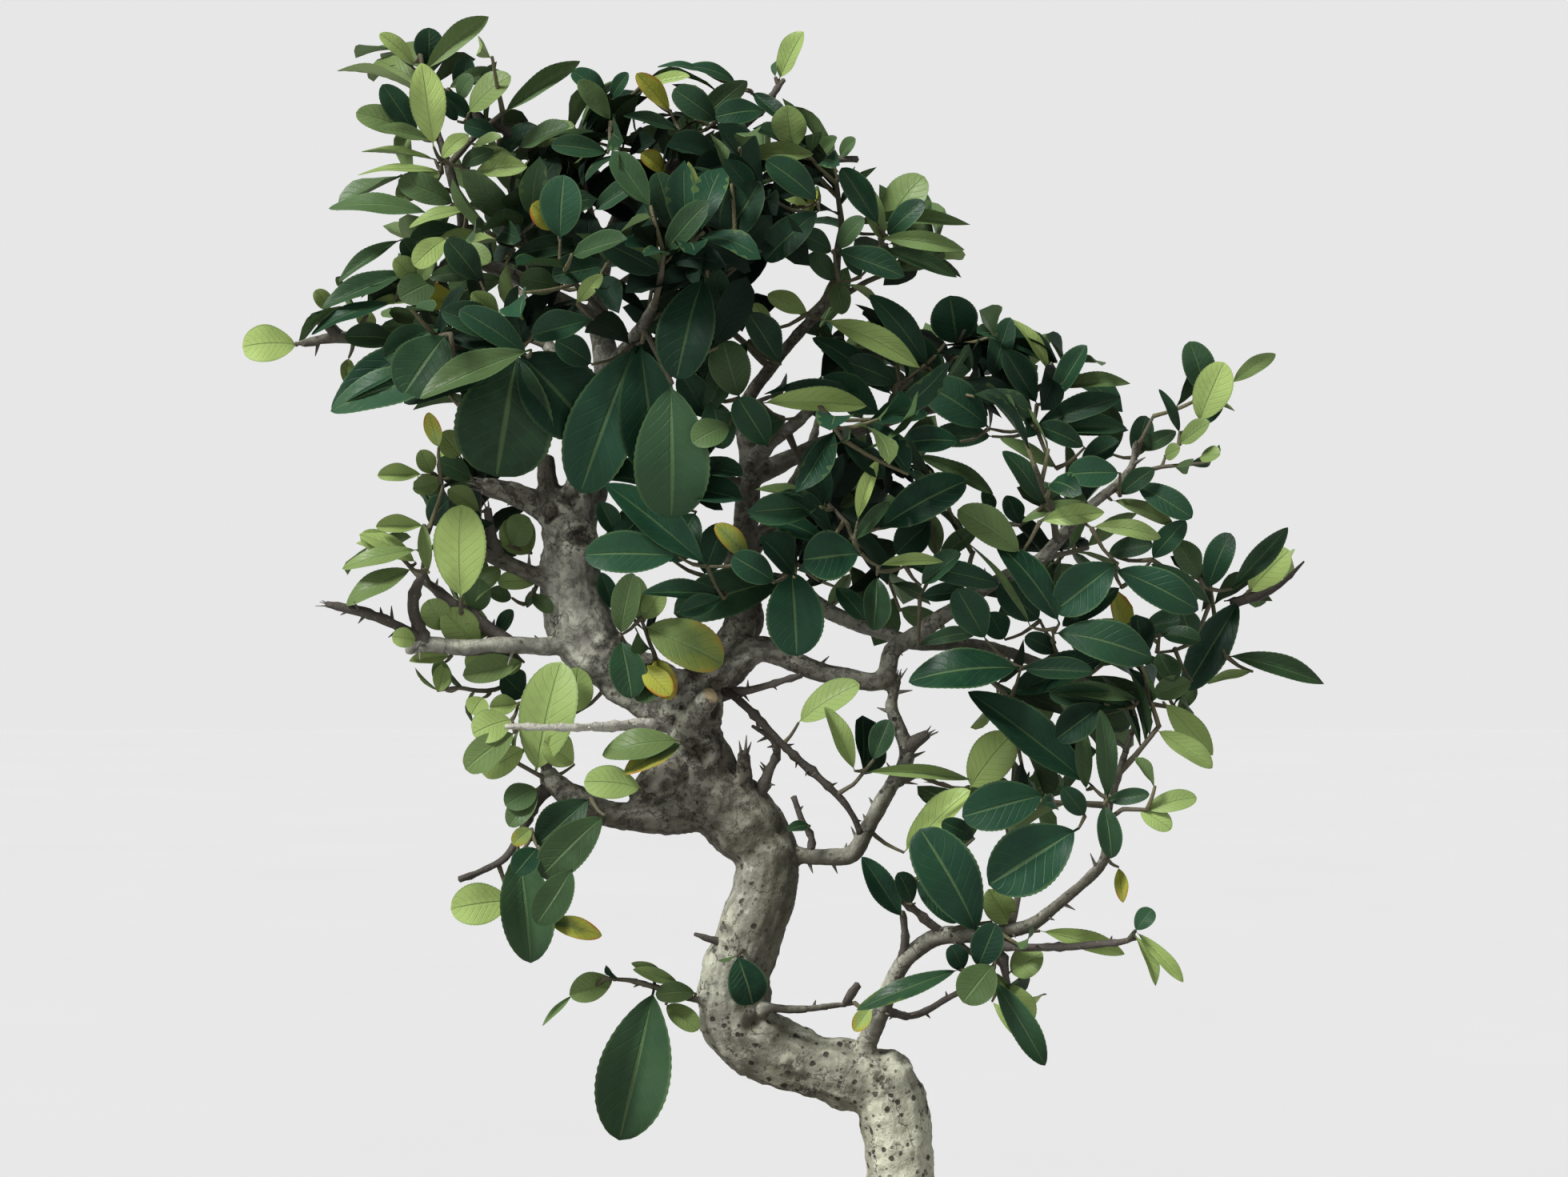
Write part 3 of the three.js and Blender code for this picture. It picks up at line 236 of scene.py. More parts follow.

# %% [markdown]
# Firethorn bark is thin. Low on this trunk it is pale and greenish, dotted with dark round
# lenticels; the knotty upper part is grey brown with rough dark crust where limbs were cut. The mesh
# carries four painted values, "pale", "crust", "cut" for sawn wood and "spotted", and the material
# adds the dots and stains. "pale" holds painted light and shade as well as the bark's tone: lighter
# where the wood faces the light, darker on its far side, under the crown and in the pits of knots.


# %% Bark
def make_bark():
    f = Finish("firethorn_bark")
    pale = f.attribute("pale")
    crust = f.attribute("crust")
    cut = f.attribute("cut")
    spotted = f.attribute("spotted")
    broad = f.noise(55)
    patchy = f.noise(190, 4)
    fine = f.noise(900, 4, 0.65)
    tone = pale + (broad - 0.5) * 0.3 + (patchy - 0.5) * 0.25 + (fine - 0.5) * 0.25
    bark = f.ramp(tone, (0.0, (0.022, 0.021, 0.017)), (0.3, (0.088, 0.081, 0.065)),
                  (0.55, (0.19, 0.188, 0.160)), (0.8, (0.36, 0.36, 0.295)), (1.0, (0.58, 0.59, 0.47)))
    bark = f.mix(spotted * 0.25, bark, (0.36, 0.37, 0.21))
    bark = f.mix(f.step(fine, 0.5, 0.75) * 0.4, bark, (0.06, 0.055, 0.042))
    stain = f.step(broad, 0.54, 0.68) * f.step(patchy, 0.42, 0.6)
    bark = f.mix(stain * 0.55, bark, (0.075, 0.07, 0.05))
    lime = f.step(f.noise(170, 4, 0.65), 0.58, 0.68) * f.step(pale, 0.25, 0.6)
    bark = f.mix(lime * 0.55, bark, (0.50, 0.51, 0.44))
    wobble = f.noise(380, 3, 0.7)
    spot, chosen = f.cells(230), f.parts(f.cells(230, out="Color"))[0]
    dots = (1 - f.step(spot + (wobble - 0.5) * 0.42, 0.15, 0.25)) * f.step(spotted - chosen, 0.0, 0.1)
    speck, picked = f.cells(430), f.parts(f.cells(430, out="Color"))[1]
    specks = (1 - f.step(speck, 0.2, 0.3)) * f.step(picked, 0.5, 0.6) * f.step(spotted, 0.0, 0.2)
    bark = f.mix(dots * 0.92, bark, (0.020, 0.016, 0.010))
    bark = f.mix(specks * 0.75, bark, (0.045, 0.04, 0.028))
    seam = 1 - f.step(f.math("ABSOLUTE", f.noise(75, 4, 0.6) - 0.5), 0.004, 0.016)
    bark = f.mix(seam * f.step(broad, 0.4, 0.55) * 0.75, bark, (0.03, 0.026, 0.02))
    cracks = f.step(f.noise(330, 5, 0.7), 0.5, 0.62) * crust
    bark = f.mix(crust * 0.4, bark, (0.115, 0.094, 0.066))
    bark = f.mix(cracks * 0.85, bark, (0.022, 0.018, 0.014))
    rings = f.noise(260, 2)
    wood = f.mix(rings, (0.42, 0.30, 0.17), (0.60, 0.48, 0.30))
    bark = f.mix(cut, bark, wood)
    height = fine * 0.35 + patchy * 0.5 - dots * 0.5 - specks * 0.25 - cracks * 1.4
    return f.finish(bark, 0.72 + fine * 0.2, f.bump(height, 0.0011, 0.85), Specular_IOR_Level=0.3)


def make_twig_bark():
    f = Finish("twig_bark")
    pale = f.attribute("pale")
    broad = f.noise(90)
    fine = f.noise(1100, 4, 0.65)
    bark = f.ramp(pale + (broad - 0.5) * 0.35, (0.0, (0.020, 0.016, 0.012)),
                  (0.35, (0.080, 0.070, 0.058)), (0.7, (0.21, 0.20, 0.17)), (1.0, (0.42, 0.41, 0.35)))
    bark = f.mix(f.step(fine, 0.48, 0.7) * 0.5, bark, (0.05, 0.04, 0.032))
    bark = f.mix(f.attribute("green") * 0.8, bark, (0.16, 0.15, 0.06))
    dots = 1 - f.step(f.cells(520), 0.1, 0.2)
    bark = f.mix(dots * 0.35, bark, (0.30, 0.27, 0.22))
    return f.finish(bark, 0.6 + fine * 0.25, f.bump(fine + dots * 0.4, 0.0006, 0.8),
                    Specular_IOR_Level=0.35)


BARK = make_bark()
TWIG_BARK = make_twig_bark()
print("finishes", BARK.name, TWIG_BARK.name)

# %% [markdown]
# A firethorn leaf is leathery: dark, slightly bluish and glossy above, with a pale midrib and faint
# side veins, and a plain light green below. Young leaves at the shoot tips are lighter all over, and
# an old one now and then turns yellow from the tip. Leaves deep in the crown are painted dark, as
# painted shade. Each blade has its own map, "blade": across from 0 to 1, along from 0 to 1, and the
# lower side lies two steps further across.


# %% Leaves' finish
SIDE_VEINS = 9
VEIN_SLANT = 4.6
VEIN_START = 0.2
UNDER_SHIFT = 2


def make_leaf():
    f = Finish("firethorn_leaf")
    across, along, _ = f.parts(f.node("ShaderNodeUVMap", {"uv_map": "blade"}))
    under = f.step(across, 1.4, 1.6)
    offset = f.math("ABSOLUTE", across - under * UNDER_SHIFT - 0.5)
    tint = f.attribute("tint")
    young = f.math("POWER", f.attribute("young"), 1.5)
    gold, deep = f.attribute("gold"), f.attribute("deep")
    patchy = f.noise(160, 3)
    fine = f.noise(1300, 3)
    midrib = 1 - f.step(offset, 0.012, 0.04)
    wave = f.math("FRACT", along * SIDE_VEINS - offset * VEIN_SLANT + VEIN_START)
    vein = (1 - f.step(f.math("ABSOLUTE", wave - 0.5), 0.02, 0.1)) * (1 - f.step(offset, 0.36, 0.47))
    rim = f.step(offset, 0.44, 0.485)
    upper = f.mix(tint, (0.004, 0.022, 0.012), (0.018, 0.062, 0.034))
    upper = f.mix(f.step(patchy, 0.35, 0.7) * 0.5, upper, (0.014, 0.056, 0.022))
    upper = f.mix(young * 0.92, upper, (0.35, 0.46, 0.14))
    upper = f.mix(vein * 0.05, upper, (0.16, 0.27, 0.10))
    upper = f.mix(midrib * 0.25, upper, (0.22, 0.33, 0.13))
    upper = f.mix(rim * 0.4, upper, (0.10, 0.17, 0.065))
    lower = f.mix(tint, (0.030, 0.066, 0.024), (0.070, 0.125, 0.042))
    lower = f.mix(young * 0.95, lower, (0.31, 0.40, 0.17))
    lower = f.mix(vein * 0.2, lower, (0.20, 0.28, 0.12))
    lower = f.mix(midrib * 0.5, lower, (0.25, 0.32, 0.15))
    leaf = f.mix(under, upper, lower)
    # Painted shade: a leaf deep in the crown is mixed most of the way to near black
    leaf = f.mix(deep * 0.92, leaf, (0.002, 0.008, 0.004))
    turned = gold * 0.9 + along * gold * 0.8 + offset * gold * 0.8 + (patchy - 0.5) * 0.5
    olive = f.mix(patchy, (0.24, 0.28, 0.035), (0.36, 0.34, 0.05))
    rust = f.step(offset + (along - 0.5) * 0.3 + (patchy - 0.5) * 0.4, 0.42, 0.6) * f.step(gold, 0.3, 0.6)
    leaf = f.mix(f.step(turned, 0.62, 1.05) * 0.9, leaf, f.mix(rust, olive, (0.36, 0.13, 0.02)))
    blemish = f.step(f.noise(240, 4, 0.7), 0.68, 0.76) * f.step(tint, 0.55, 0.8)
    leaf = f.mix(blemish * 0.6, leaf, (0.11, 0.08, 0.035))
    height = (0 - vein) * 0.28 - midrib * 0.8 + fine * 0.25 + patchy * 0.5
    roughness = 0.40 + under * 0.2 + deep * 0.3 + (patchy - 0.5) * 0.16
    return f.finish(leaf, roughness, f.bump(height, 0.00035, 0.8), Specular_IOR_Level=0.14)


LEAF = make_leaf()
print("finish", LEAF.name)

# %% [markdown]
# The wood is drawn as the photograph shows it: each limb is a row of points with a radius at each.
# x and z are read off at the trunk's own distance from the eye, and y is the depth behind it, so a
# point that lies further back is moved out along its line of sight.

# %% Limbs, as rows of [x, y, z, radius]
LIMBS = {
    "foot": [
        [33, 3, 40, 9], [34.5, 1, 56, 15], [35.7, 0, 70, 12.2], [36, 0, 88, 11],
        [36.1, 0, 104, 10.8], [34.3, 0, 118, 11], [31, 0, 128.5, 10.9], [25.5, 0, 135, 8.6],
    ],
    "low_bough": [
        [35, 0, 125.5, 9], [23.5, 1, 131.2, 11.3], [12, 1.5, 134.5, 10.5], [0, 2, 138.2, 10.5],
        [-10, 2, 143.2, 10.9], [-17, 1, 148.5, 9.4],
    ],
    "rise": [
        [-12.5, 1.5, 141, 9.4], [-16, 1, 151, 11.2], [-15.5, 0, 162, 11], [-12.3, -1, 171.5, 10.7],
        [-9.6, -2, 179.5, 10.5], [-6.4, -2, 188, 10.2], [-5, -1.5, 197, 10.4], [-6.5, 0, 207, 9.2],
    ],
    "shoulder": [
        [-2, -1, 199, 8.4], [-9.5, 0, 207.5, 11.7], [-16, 1, 214, 11.6], [-24, 2, 219.5, 11.2],
        [-31, 3, 222, 8.5],
    ],
    "neck": [
        [-22, 2, 217, 10.5], [-25, 2, 228, 9.6], [-27.5, 1, 239, 8.4], [-28, 0, 249, 8.8],
        [-26, 0, 257, 6.4],
    ],
    "low_stump": [
        [-24, 2, 217, 9.5], [-34, 1, 213.8, 7], [-44, -1, 212.8, 5.4], [-55, -4, 213.4, 4.4],
        [-64, -8, 218, 4.2], [-72, -10, 223, 3.4], [-74, -10, 227, 2.2],
    ],
    "low_stump_twig": [
        [-73, -10, 225, 2], [-80, -12, 212, 1.5], [-86, -14, 201, 1.2], [-93, -16, 196.5, 1.1],
        [-101.5, -18, 193, 0.9],
    ],
    "shoulder_lump": [[-47, -3, 218, 3], [-41, -4, 223.5, 4.6], [-33, -2, 228, 6]],
    "left_limb": [
        [-27, 1, 246, 8.2], [-38, 0, 252.5, 8], [-50, -1, 258, 8.3], [-60, -1, 265.5, 10],
        [-64.5, 0, 274, 10.6], [-66.6, 1, 286, 9.3], [-67, 1, 297, 9.1], [-66, 2, 306, 8.6],
        [-61, 3, 317, 6.4], [-56.5, 5, 334, 5], [-55, 6, 352, 4.2], [-58, 6, 370, 3.4],
        [-56, 8, 388, 2.8], [-50, 8, 404, 2.1],
    ],
    "left_fork": [
        [-67, 1, 303, 5.4], [-76, -1, 310, 4.4], [-86, -3, 314, 3.5], [-94, -4, 316, 2.8],
    ],
    "left_spur": [[-70, 1, 306, 5], [-73.5, 1, 316, 3.6], [-74.5, 1, 325, 2.9]],
    "left_stub": [
        [-69, 0, 285.5, 4.2], [-77, -4, 288, 2.9], [-89, -7, 293, 2.5], [-98, -9, 297, 2],
    ],
    "left_stub_tip": [[-89, -7, 293, 2], [-91.5, -8, 301, 1.6], [-92.5, -9, 309, 1.1]],
    "left_arm": [
        [-66, -3, 268, 4.2], [-73.5, -6, 266, 3.2], [-85, -10, 266.5, 2.8], [-100, -15, 265.5, 2.7],
        [-112, -19, 266.5, 2.4], [-118, -21, 264.5, 1.8],
    ],
    "left_arm_tip": [
        [-112, -19, 266.5, 1.9], [-120, -22, 272, 1.6], [-128, -24, 275.5, 1.5],
        [-136, -25, 277.5, 1.3], [-143, -26, 279, 0.9],
    ],
    "left_arm_up": [
        [-86, -10, 267, 2.3], [-96.5, -8, 275, 2.1], [-104, -8, 279.5, 1.9], [-112, -7, 286, 1.4],
    ],
    "left_arm_spur": [
        [-111.5, -19, 266, 2], [-115.5, -20, 275, 1.8], [-115.5, -20, 282.5, 1.6],
        [-112, -19, 290, 1.1],
    ],
    "under_limb": [
        [-30, 0, 242, 5], [-40, -3, 243, 3.2], [-47, -5, 247.5, 2.6], [-53.5, -5, 251, 2.4],
        [-60, -3, 258, 2],
    ],
    "cut_stub": [[-30, -3, 238, 4.4], [-27, -9, 246, 3.3], [-22.5, -14, 250.5, 3.1]],
    "lichen_twig": [
        [-40, -3, 242, 2.2], [-52, -12, 241, 1.5], [-68, -22, 240.5, 1.2], [-87, -26, 241, 0.8],
    ],
    "right_limb": [
        [-27, 0, 251, 7.4], [-18, -2, 258, 5.8], [-10, -5, 264.5, 4.8], [-2, -7, 264, 4],
        [8, -9, 259, 3.4], [27, -12, 254.8, 3.1], [32, -12, 257, 3], [34, -12, 264.5, 2.9],
        [41, -10, 269.5, 2.8], [53, -14, 277.5, 2.6], [66, -18, 286, 2.4], [80, -20, 293, 2.2],
        [92.5, -20, 307, 1.9], [107.5, -18, 320, 1.5], [110, -17, 330, 1.1],
    ],
    "leader": [
        [-27, 1, 250, 7.6], [-19, 4, 262, 6.4], [-12.5, 7, 274, 6.6], [-14, 9, 286, 5.4],
        [-12, 10, 305, 4.4], [-11, 10, 325, 3.5], [-12, 9, 341, 2.6], [1.5, 6, 360, 1.9],
        [14, 3, 375, 1.7], [17.5, 2, 392.5, 1.2],
    ],
    "cross_limb": [
        [-15, 8, 285, 3.8], [1.2, 4, 285, 3.2], [12, 0, 278, 2.8], [20.5, -3, 274, 2.6],
        [31, -5, 270.3, 2.5], [41, -6, 267, 2.4], [64.5, 14, 265.5, 2.1], [86, 30, 258, 1.8],
        [105, 38, 250, 1.6], [115.5, 40, 247.5, 1.2],
    ],
    "right_spike": [
        [140, 19, 279, 1.5], [149, 14, 282, 1.3], [156, 8, 286, 0.9], [162.5, 4, 292.5, 0.3],
    ],
    "dark_twig": [
        [-21, -3, 252, 2], [-14.5, -9, 249.5, 1.3], [2, -14, 233, 1.2], [18, -17, 218, 1.1],
        [24, -18, 207.5, 0.9],
    ],
    "grey_twig": [
        [-20, -4, 250, 1.8], [-12, -8, 252, 1.3], [-4.5, -11, 254, 1.1], [5.5, -13, 257, 0.9],
    ],
    "shoulder_stub": [[-13, -3, 217, 3.2], [-12.5, -6, 226, 2.3], [-12.5, -7, 233, 2]],
    "shoulder_snag": [
        [-9, -2, 217, 2.2], [-5, -5, 226, 1.4], [-2, -6, 234, 1.3], [-5, -6, 238, 1],
        [-10, -6, 241, 0.6],
    ],
    "bare_limb": [
        [-1, -2, 201, 4.2], [6, -4, 200.5, 3.2], [14, -6, 200.3, 2.9], [21.5, -8, 201, 2.9],
        [26, -9, 209, 2.6], [33.5, -11, 222.5, 2.5], [38.5, -12, 231.5, 2.6], [36, -12, 240.5, 2.2],
        [33.5, -12, 247, 2], [35.5, -12, 256, 1.4],
    ],
    "bare_knob": [[37.5, -12, 233, 2.6], [41, -13, 236, 2.2], [45, -13, 238.5, 1.5]],
    "bare_spine": [[33, -11, 222, 1.8], [39, -12, 225.5, 1.3], [43, -12.5, 225.5, 0.8]],
    "bare_twig": [[8, -4, 201, 1.6], [8.5, -5, 206, 1.1], [5.5, -6, 212, 1], [3, -7, 219, 0.8]],
    "low_right": [
        [23, -2, 133, 4.8], [26, -5, 142, 3.5], [30, -9, 151, 3.1], [36.5, -15, 166, 2.9],
        [42, -18, 171.5, 2.8], [49, -22, 175.5, 2.7], [63, -28, 176, 2.5], [76, -31, 178.5, 2.3],
        [84, -32, 184, 2], [98.7, -32, 197, 1.7], [101, -30, 206, 1.6], [101.5, -28, 216, 1.5],
        [105.5, -25, 229, 1.4], [110, -21, 243, 1.1],
    ],
    "low_right_cross": [
        [32, -28, 190.5, 1], [39.7, -26, 184.5, 1.2], [47.5, -23, 178, 1.4], [59, -18, 170, 1],
    ],
    "low_right_down": [[63, -27, 175, 1.9], [68, -28, 168, 1.6], [70, -29, 160.5, 1]],
    "low_right_out": [
        [64, -28, 174, 1.7], [74, -34, 172, 1.3], [88, -38, 172, 1.1], [104.5, -42, 173.5, 1],
        [110, -43, 175, 0.8],
    ],
    "low_right_dark": [
        [31, -9, 153, 1.8], [36, 0, 150.8, 1.2], [42, 6, 151, 1.1], [55, 12, 158, 0.9],
    ],
    "low_right_up": [[37, -15, 167, 1.7], [38, -20, 175, 1.2], [37, -23, 183, 0.9]],
    "bud_twig": [[-9, -3, 152, 3], [-4, -9, 153, 1.5], [5, -12, 152.5, 1.3], [22, -15, 154.5, 1]],
    "bud_knob": [[19, -15, 154.5, 1], [21, -15.5, 158, 1.5], [23, -15.5, 160.5, 1.1]],
    "low_left_twig": [
        [-17, -2, 153, 3.5], [-28, -6, 155.5, 1.5], [-38.5, -9, 159, 1.3], [-48, -11, 161.5, 1.2],
        [-53, -12, 162, 0.9],
    ],
    "trunk_thorn": [[-16, -4, 172, 2.2], [-23, -7, 174.5, 1.1], [-28, -8, 176, 0.6]],
    "back_limb": [
        [-15, 9, 288, 4], [-10, 24, 296, 3.3], [-2, 42, 308, 2.7], [6, 58, 322, 2.1],
        [10, 68, 334, 1.5],
    ],
    "back_left_limb": [
        [-56.5, 5, 332, 3.8], [-62, 20, 343, 3], [-70, 38, 355, 2.5], [-78, 54, 366, 1.9],
        [-82, 63, 377, 1.4],
    ],
    "front_limb": [
        [-55, 6, 350, 3.4], [-50, -12, 358, 2.7], [-44, -30, 366, 2.2], [-40, -46, 374, 1.5],
    ],
    "front_right_limb": [
        [-11, 10, 322, 3.2], [-4, -6, 330, 2.6], [4, -24, 336, 2.1], [10, -40, 342, 1.5],
    ],
    "crown_left": [
        [-57, 6, 366, 3.2], [-70, 0, 374, 2.7], [-85, -6, 382, 2.4], [-98, -10, 388, 2.1],
        [-101, -11, 402, 1.8], [-105, -12, 416, 1.5], [-110, -12, 432, 1],
    ],
    "crown_far_left": [
        [-55.5, 6, 346, 3.2], [-75, 0, 352, 2.6], [-95, -8, 357, 2.2], [-115, -14, 360, 1.9],
        [-137, -20, 362.5, 2], [-151, -22, 360.5, 1.6],
    ],
    "far_left_spur": [[-138, -20, 362.5, 1.8], [-143, -22, 366.5, 1.4], [-147.5, -23, 369.5, 1.1]],
    "crown_left_top": [
        [-47, 6, 404, 2], [-56, 2, 411, 1.9], [-66, -4, 415.5, 1.8], [-76.5, -8, 421, 1.7],
        [-86, -12, 426.5, 1.6], [-97, -16, 432, 1.4], [-102, -18, 436.5, 1.1],
        [-107, -20, 440, 0.7],
    ],
    "crown_top": [
        [-52, 8, 398, 2.4], [-40, 4, 412, 2.1], [-22, 0, 422, 1.8], [-8, -2, 433, 1.4],
        [0, -3, 443, 0.9],
    ],
    "crown_cut": [[-22, 0, 421, 1.7], [-5, -3, 420, 1.5], [10, -5, 418.5, 1.3], [23, -6, 418, 1.1]],
    "crown_back": [
        [-56, 8, 386, 2.6], [-46, 26, 398, 2.1], [-36, 44, 406, 1.7], [-28, 58, 412, 1.2],
    ],
    "pad_limb": [
        [-11.5, 10, 318, 3.4], [5, 14, 326, 2.9], [22, 16, 333, 2.5], [40, 14, 339, 2.2],
        [60, 10, 343, 1.9], [78, 6, 345, 1.4],
    ],
}
# Solids that hold a limb together with all its sprays
BOUGHS = {
    "bough_front": ["front_limb"],
    "bough_front_right": ["front_right_limb"],
    "bough_back": ["back_limb"],
    "bough_back_left": ["back_left_limb"],
    "bough_crown_back": ["crown_back"],
    "bough_crown_top": ["crown_top", "crown_cut"],
    "bough_far_left": ["crown_far_left", "far_left_spur"],
    "bough_pad": ["pad_limb"],
}
# Surface roots: heading in degrees from +X, and how far each runs before it dives
ROOTS = [[20, 34], [95, 28], [170, 36], [240, 28], [310, 32]]
print(len(LIMBS), "limbs,", len(ROOTS), "roots")

# %% [markdown]
# A line through a limb's points has to be smooth, and its depth has to be undone in the view. These
# small helpers do both, and "chance" gives the same number for the same pair each time, so that the
# tree grows alike in every run.


# %% Placing the drawing in depth
def place(point):
    """A drawn point, moved out along its line of sight. Millimetres."""
    x, y, z = point[:3]
    spread = (VIEW_DISTANCE + y) / VIEW_DISTANCE
    return np.array([x * spread, y, EYE_HEIGHT + (z - EYE_HEIGHT) * spread])


def seen(point):
    """Where a placed point shows in the drawing."""
    spread = (VIEW_DISTANCE + point[1]) / VIEW_DISTANCE
    return point[0] / spread, EYE_HEIGHT + (point[2] - EYE_HEIGHT) / spread


def curve_through(points, step):
    """A smooth line through points of [x, y, z, radius], one sample every step millimetres."""
    points = np.asarray(points, float)
    ahead = 2 * points[-1] - points[-2]
    behind = 2 * points[0] - points[1]
    padded = np.vstack([behind, points, ahead])
    line = []
    for a, b, c, d in zip(padded, padded[1:], padded[2:], padded[3:]):
        count = max(2, int(np.linalg.norm(c[:3] - b[:3]) / step))
        for t in np.arange(count) / count:
            line.append(0.5 * (2 * b + (c - a) * t + (2 * a - 5 * b + 4 * c - d) * t ** 2
                               + (3 * b - a - 3 * c + d) * t ** 3))
    line.append(points[-1])
    return np.array(line)


def unit(vector):
    vector = np.asarray(vector, float)
    return vector / max(np.linalg.norm(vector), 1e-9)


def chance(a, b):
    """A number from 0 to 1 that a pair of numbers always gives."""
    wave = math.sin(a * 12.9898 + b * 78.233) * 43758.5453
    return wave - math.floor(wave)


def placed_limb(points, step):
    """A limb's middle line, with its drawn points moved out to their depth."""
    drawn = [[*place(point), point[3]] for point in points]
    return curve_through(drawn, step)


print("a twig 100 mm to the right and 50 mm back shows at", np.round(seen((100, 50, EYE_HEIGHT)), 1))

# %% [markdown]
# Every mesh here is first collected as lists of points and faces, in millimetres, and turned into
# metres of the frame at the end. A value or two per point can go along as paint.


# %% Collecting a mesh
class Skin:
    """Vertices and faces being collected for one mesh, in millimetres."""

    def __init__(self):
        self.points = []
        self.faces = []
        self.paint = []

    def add(self, points, faces, paint):
        first = sum(len(p) for p in self.points)
        self.points.append(np.asarray(points, float))
        self.faces += [[first + i for i in face] for face in faces]
        self.paint += [paint] * len(points)

    def mesh(self, name, layers=()):
        made = bpy.data.meshes.new(name)
        made.from_pydata(metres(np.vstack(self.points)).tolist(), [], self.faces, shade_flat=False)
        for column, layer in enumerate(layers):
            values = made.attributes.new(layer, "FLOAT", "POINT")
            values.data.foreach_set("value", np.array(self.paint)[:, column].astype(float))
        made.update()
        return made


def new_piece(name, mesh, *materials):
    piece = bpy.data.objects.new(name, mesh)
    for material in materials:
        mesh.materials.append(material)
    bpy.context.scene.collection.objects.link(piece)
    return piece


def applied(piece, name):
    """The piece's mesh with its modifiers worked in. The piece itself goes."""
    evaluated = piece.evaluated_get(bpy.context.evaluated_depsgraph_get())
    mesh = bpy.data.meshes.new_from_object(evaluated)
    mesh.name = name
    bpy.data.objects.remove(piece)
    return mesh


print("meshes are collected in mm and made at", MM, "of that in m")

# %% [markdown]
# A tube is a row of rings. The rings keep their side facing one way, so that the tube doesn't twist,
# and a swelling here and there makes it a grown thing. Both ends are closed by a rounded cap.


# %% Tubes
LUMP_SCALE = 0.16
KNOB_EVERY = 4
CAP_BULGE = 0.45


def frames(line):
    """The three directions at each point of a line: along it, and two that are carried along it."""
    side, found = np.array([0.3, 1.0, 0.2]), []
    for i in range(len(line)):
        along = unit(line[min(i + 1, len(line) - 1)][:3] - line[max(i - 1, 0)][:3])
        side = unit(side - along * side.dot(along))
        found.append((along, side, np.cross(along, side)))
    return found


def rings_joined(count, last):
    """The quads between neighbouring rings of count points each."""
    return [[r * count + i, r * count + (i + 1) % count, (r + 1) * count + (i + 1) % count,
             (r + 1) * count + i] for r in range(last) for i in range(count)]


def tube(line, sides, lumps=0.0, seed=0.0, knobs=0.0):
    """Rings round a line of [x, y, z, radius], closed at both ends."""
    rows = []
    ways = frames(line)
    last = len(line) - 1
    for i, ((x, y, z, radius), (_, side, across)) in enumerate(zip(line, ways)):
        has_knob = i % KNOB_EVERY == int(KNOB_EVERY * chance(seed, i // KNOB_EVERY))
        knob = 1 + (knobs * chance(seed, i) if has_knob else 0)
        for k in range(sides):
            angle = 2 * math.pi * k / sides
            out = side * math.cos(angle) + across * math.sin(angle)
            spot = Vector((x, y, z)) * LUMP_SCALE + Vector(out * 1.1) + Vector((seed, 0, 0))
            rows.append(np.array([x, y, z]) + out * radius * (1 + lumps * noise.noise(spot)) * knob)
    faces = rings_joined(sides, last)
    ends = [line[i][:3] + ways[i][0] * way * line[i][3] * CAP_BULGE for i, way in ((0, -1), (last, 1))]
    low = len(rows)
    for k in range(sides):
        n = (k + 1) % sides
        faces.append([low, n, k])
        faces.append([low + 1, last * sides + k, last * sides + n])
    return np.vstack([rows, ends]), faces


short_line = np.array([[0, 0, 0, 2.0], [0, 0, 5, 2.0]])
print("the shortest tube of six sides has", len(tube(short_line, 6)[1]), "faces")

# %% [markdown]
# The bark differs from limb to limb: smooth, pale and dotted low down, dark and crusty where limbs
# were cut. Tables hold that, with one value for all limbs that they don't name. Knots and sawn faces
# are listed too, since they stand where a limb was once lost and no rule finds those places.

# %% How each limb's bark looks
PLAIN_TONE, PLAIN_CRUST, PLAIN_SPOTS = 0.4, 0.15, 0.15
TONES = {
    "foot": 0.83, "low_bough": 0.54, "rise": 0.55, "shoulder": 0.4, "neck": 0.34, "low_stump": 0.54,
    "low_stump_twig": 0.2, "crown_left_top": 0.1, "far_left_spur": 0.3, "left_limb": 0.68,
    "left_fork": 0.5, "left_spur": 0.1, "left_stub": 0.4, "left_arm": 0.72, "cut_stub": 0.68,
    "under_limb": 0.55, "bare_limb": 0.5, "low_right": 0.45, "leader": 0.4, "right_limb": 0.48,
    "cross_limb": 0.42, "left_arm_tip": 0.25, "left_arm_up": 0.3, "dark_twig": 0.05,
    "bud_twig": 0.25, "lichen_twig": 1.1, "right_spike": 0.1, "low_right_dark": 0.12,
    "low_right_out": 0.3, "low_left_twig": 0.3,
}
CRUST = {
    "neck": 0.8, "shoulder_lump": 0.6, "crown_left_top": 0.5, "shoulder": 0.18, "leader": 0.5,
    "cut_stub": 0.3, "low_stump": 0.5, "left_limb": 0.3, "left_fork": 0.7, "under_limb": 0.6,
    "right_limb": 0.35, "shoulder_stub": 0.8, "shoulder_snag": 0.8,
}
SPOTTED = {
    "foot": 1.0, "low_bough": 0.75, "rise": 0.45, "shoulder": 0.4, "bare_limb": 0.3,
    "low_right": 0.3, "left_limb": 0.05, "left_arm": 0.05,
}
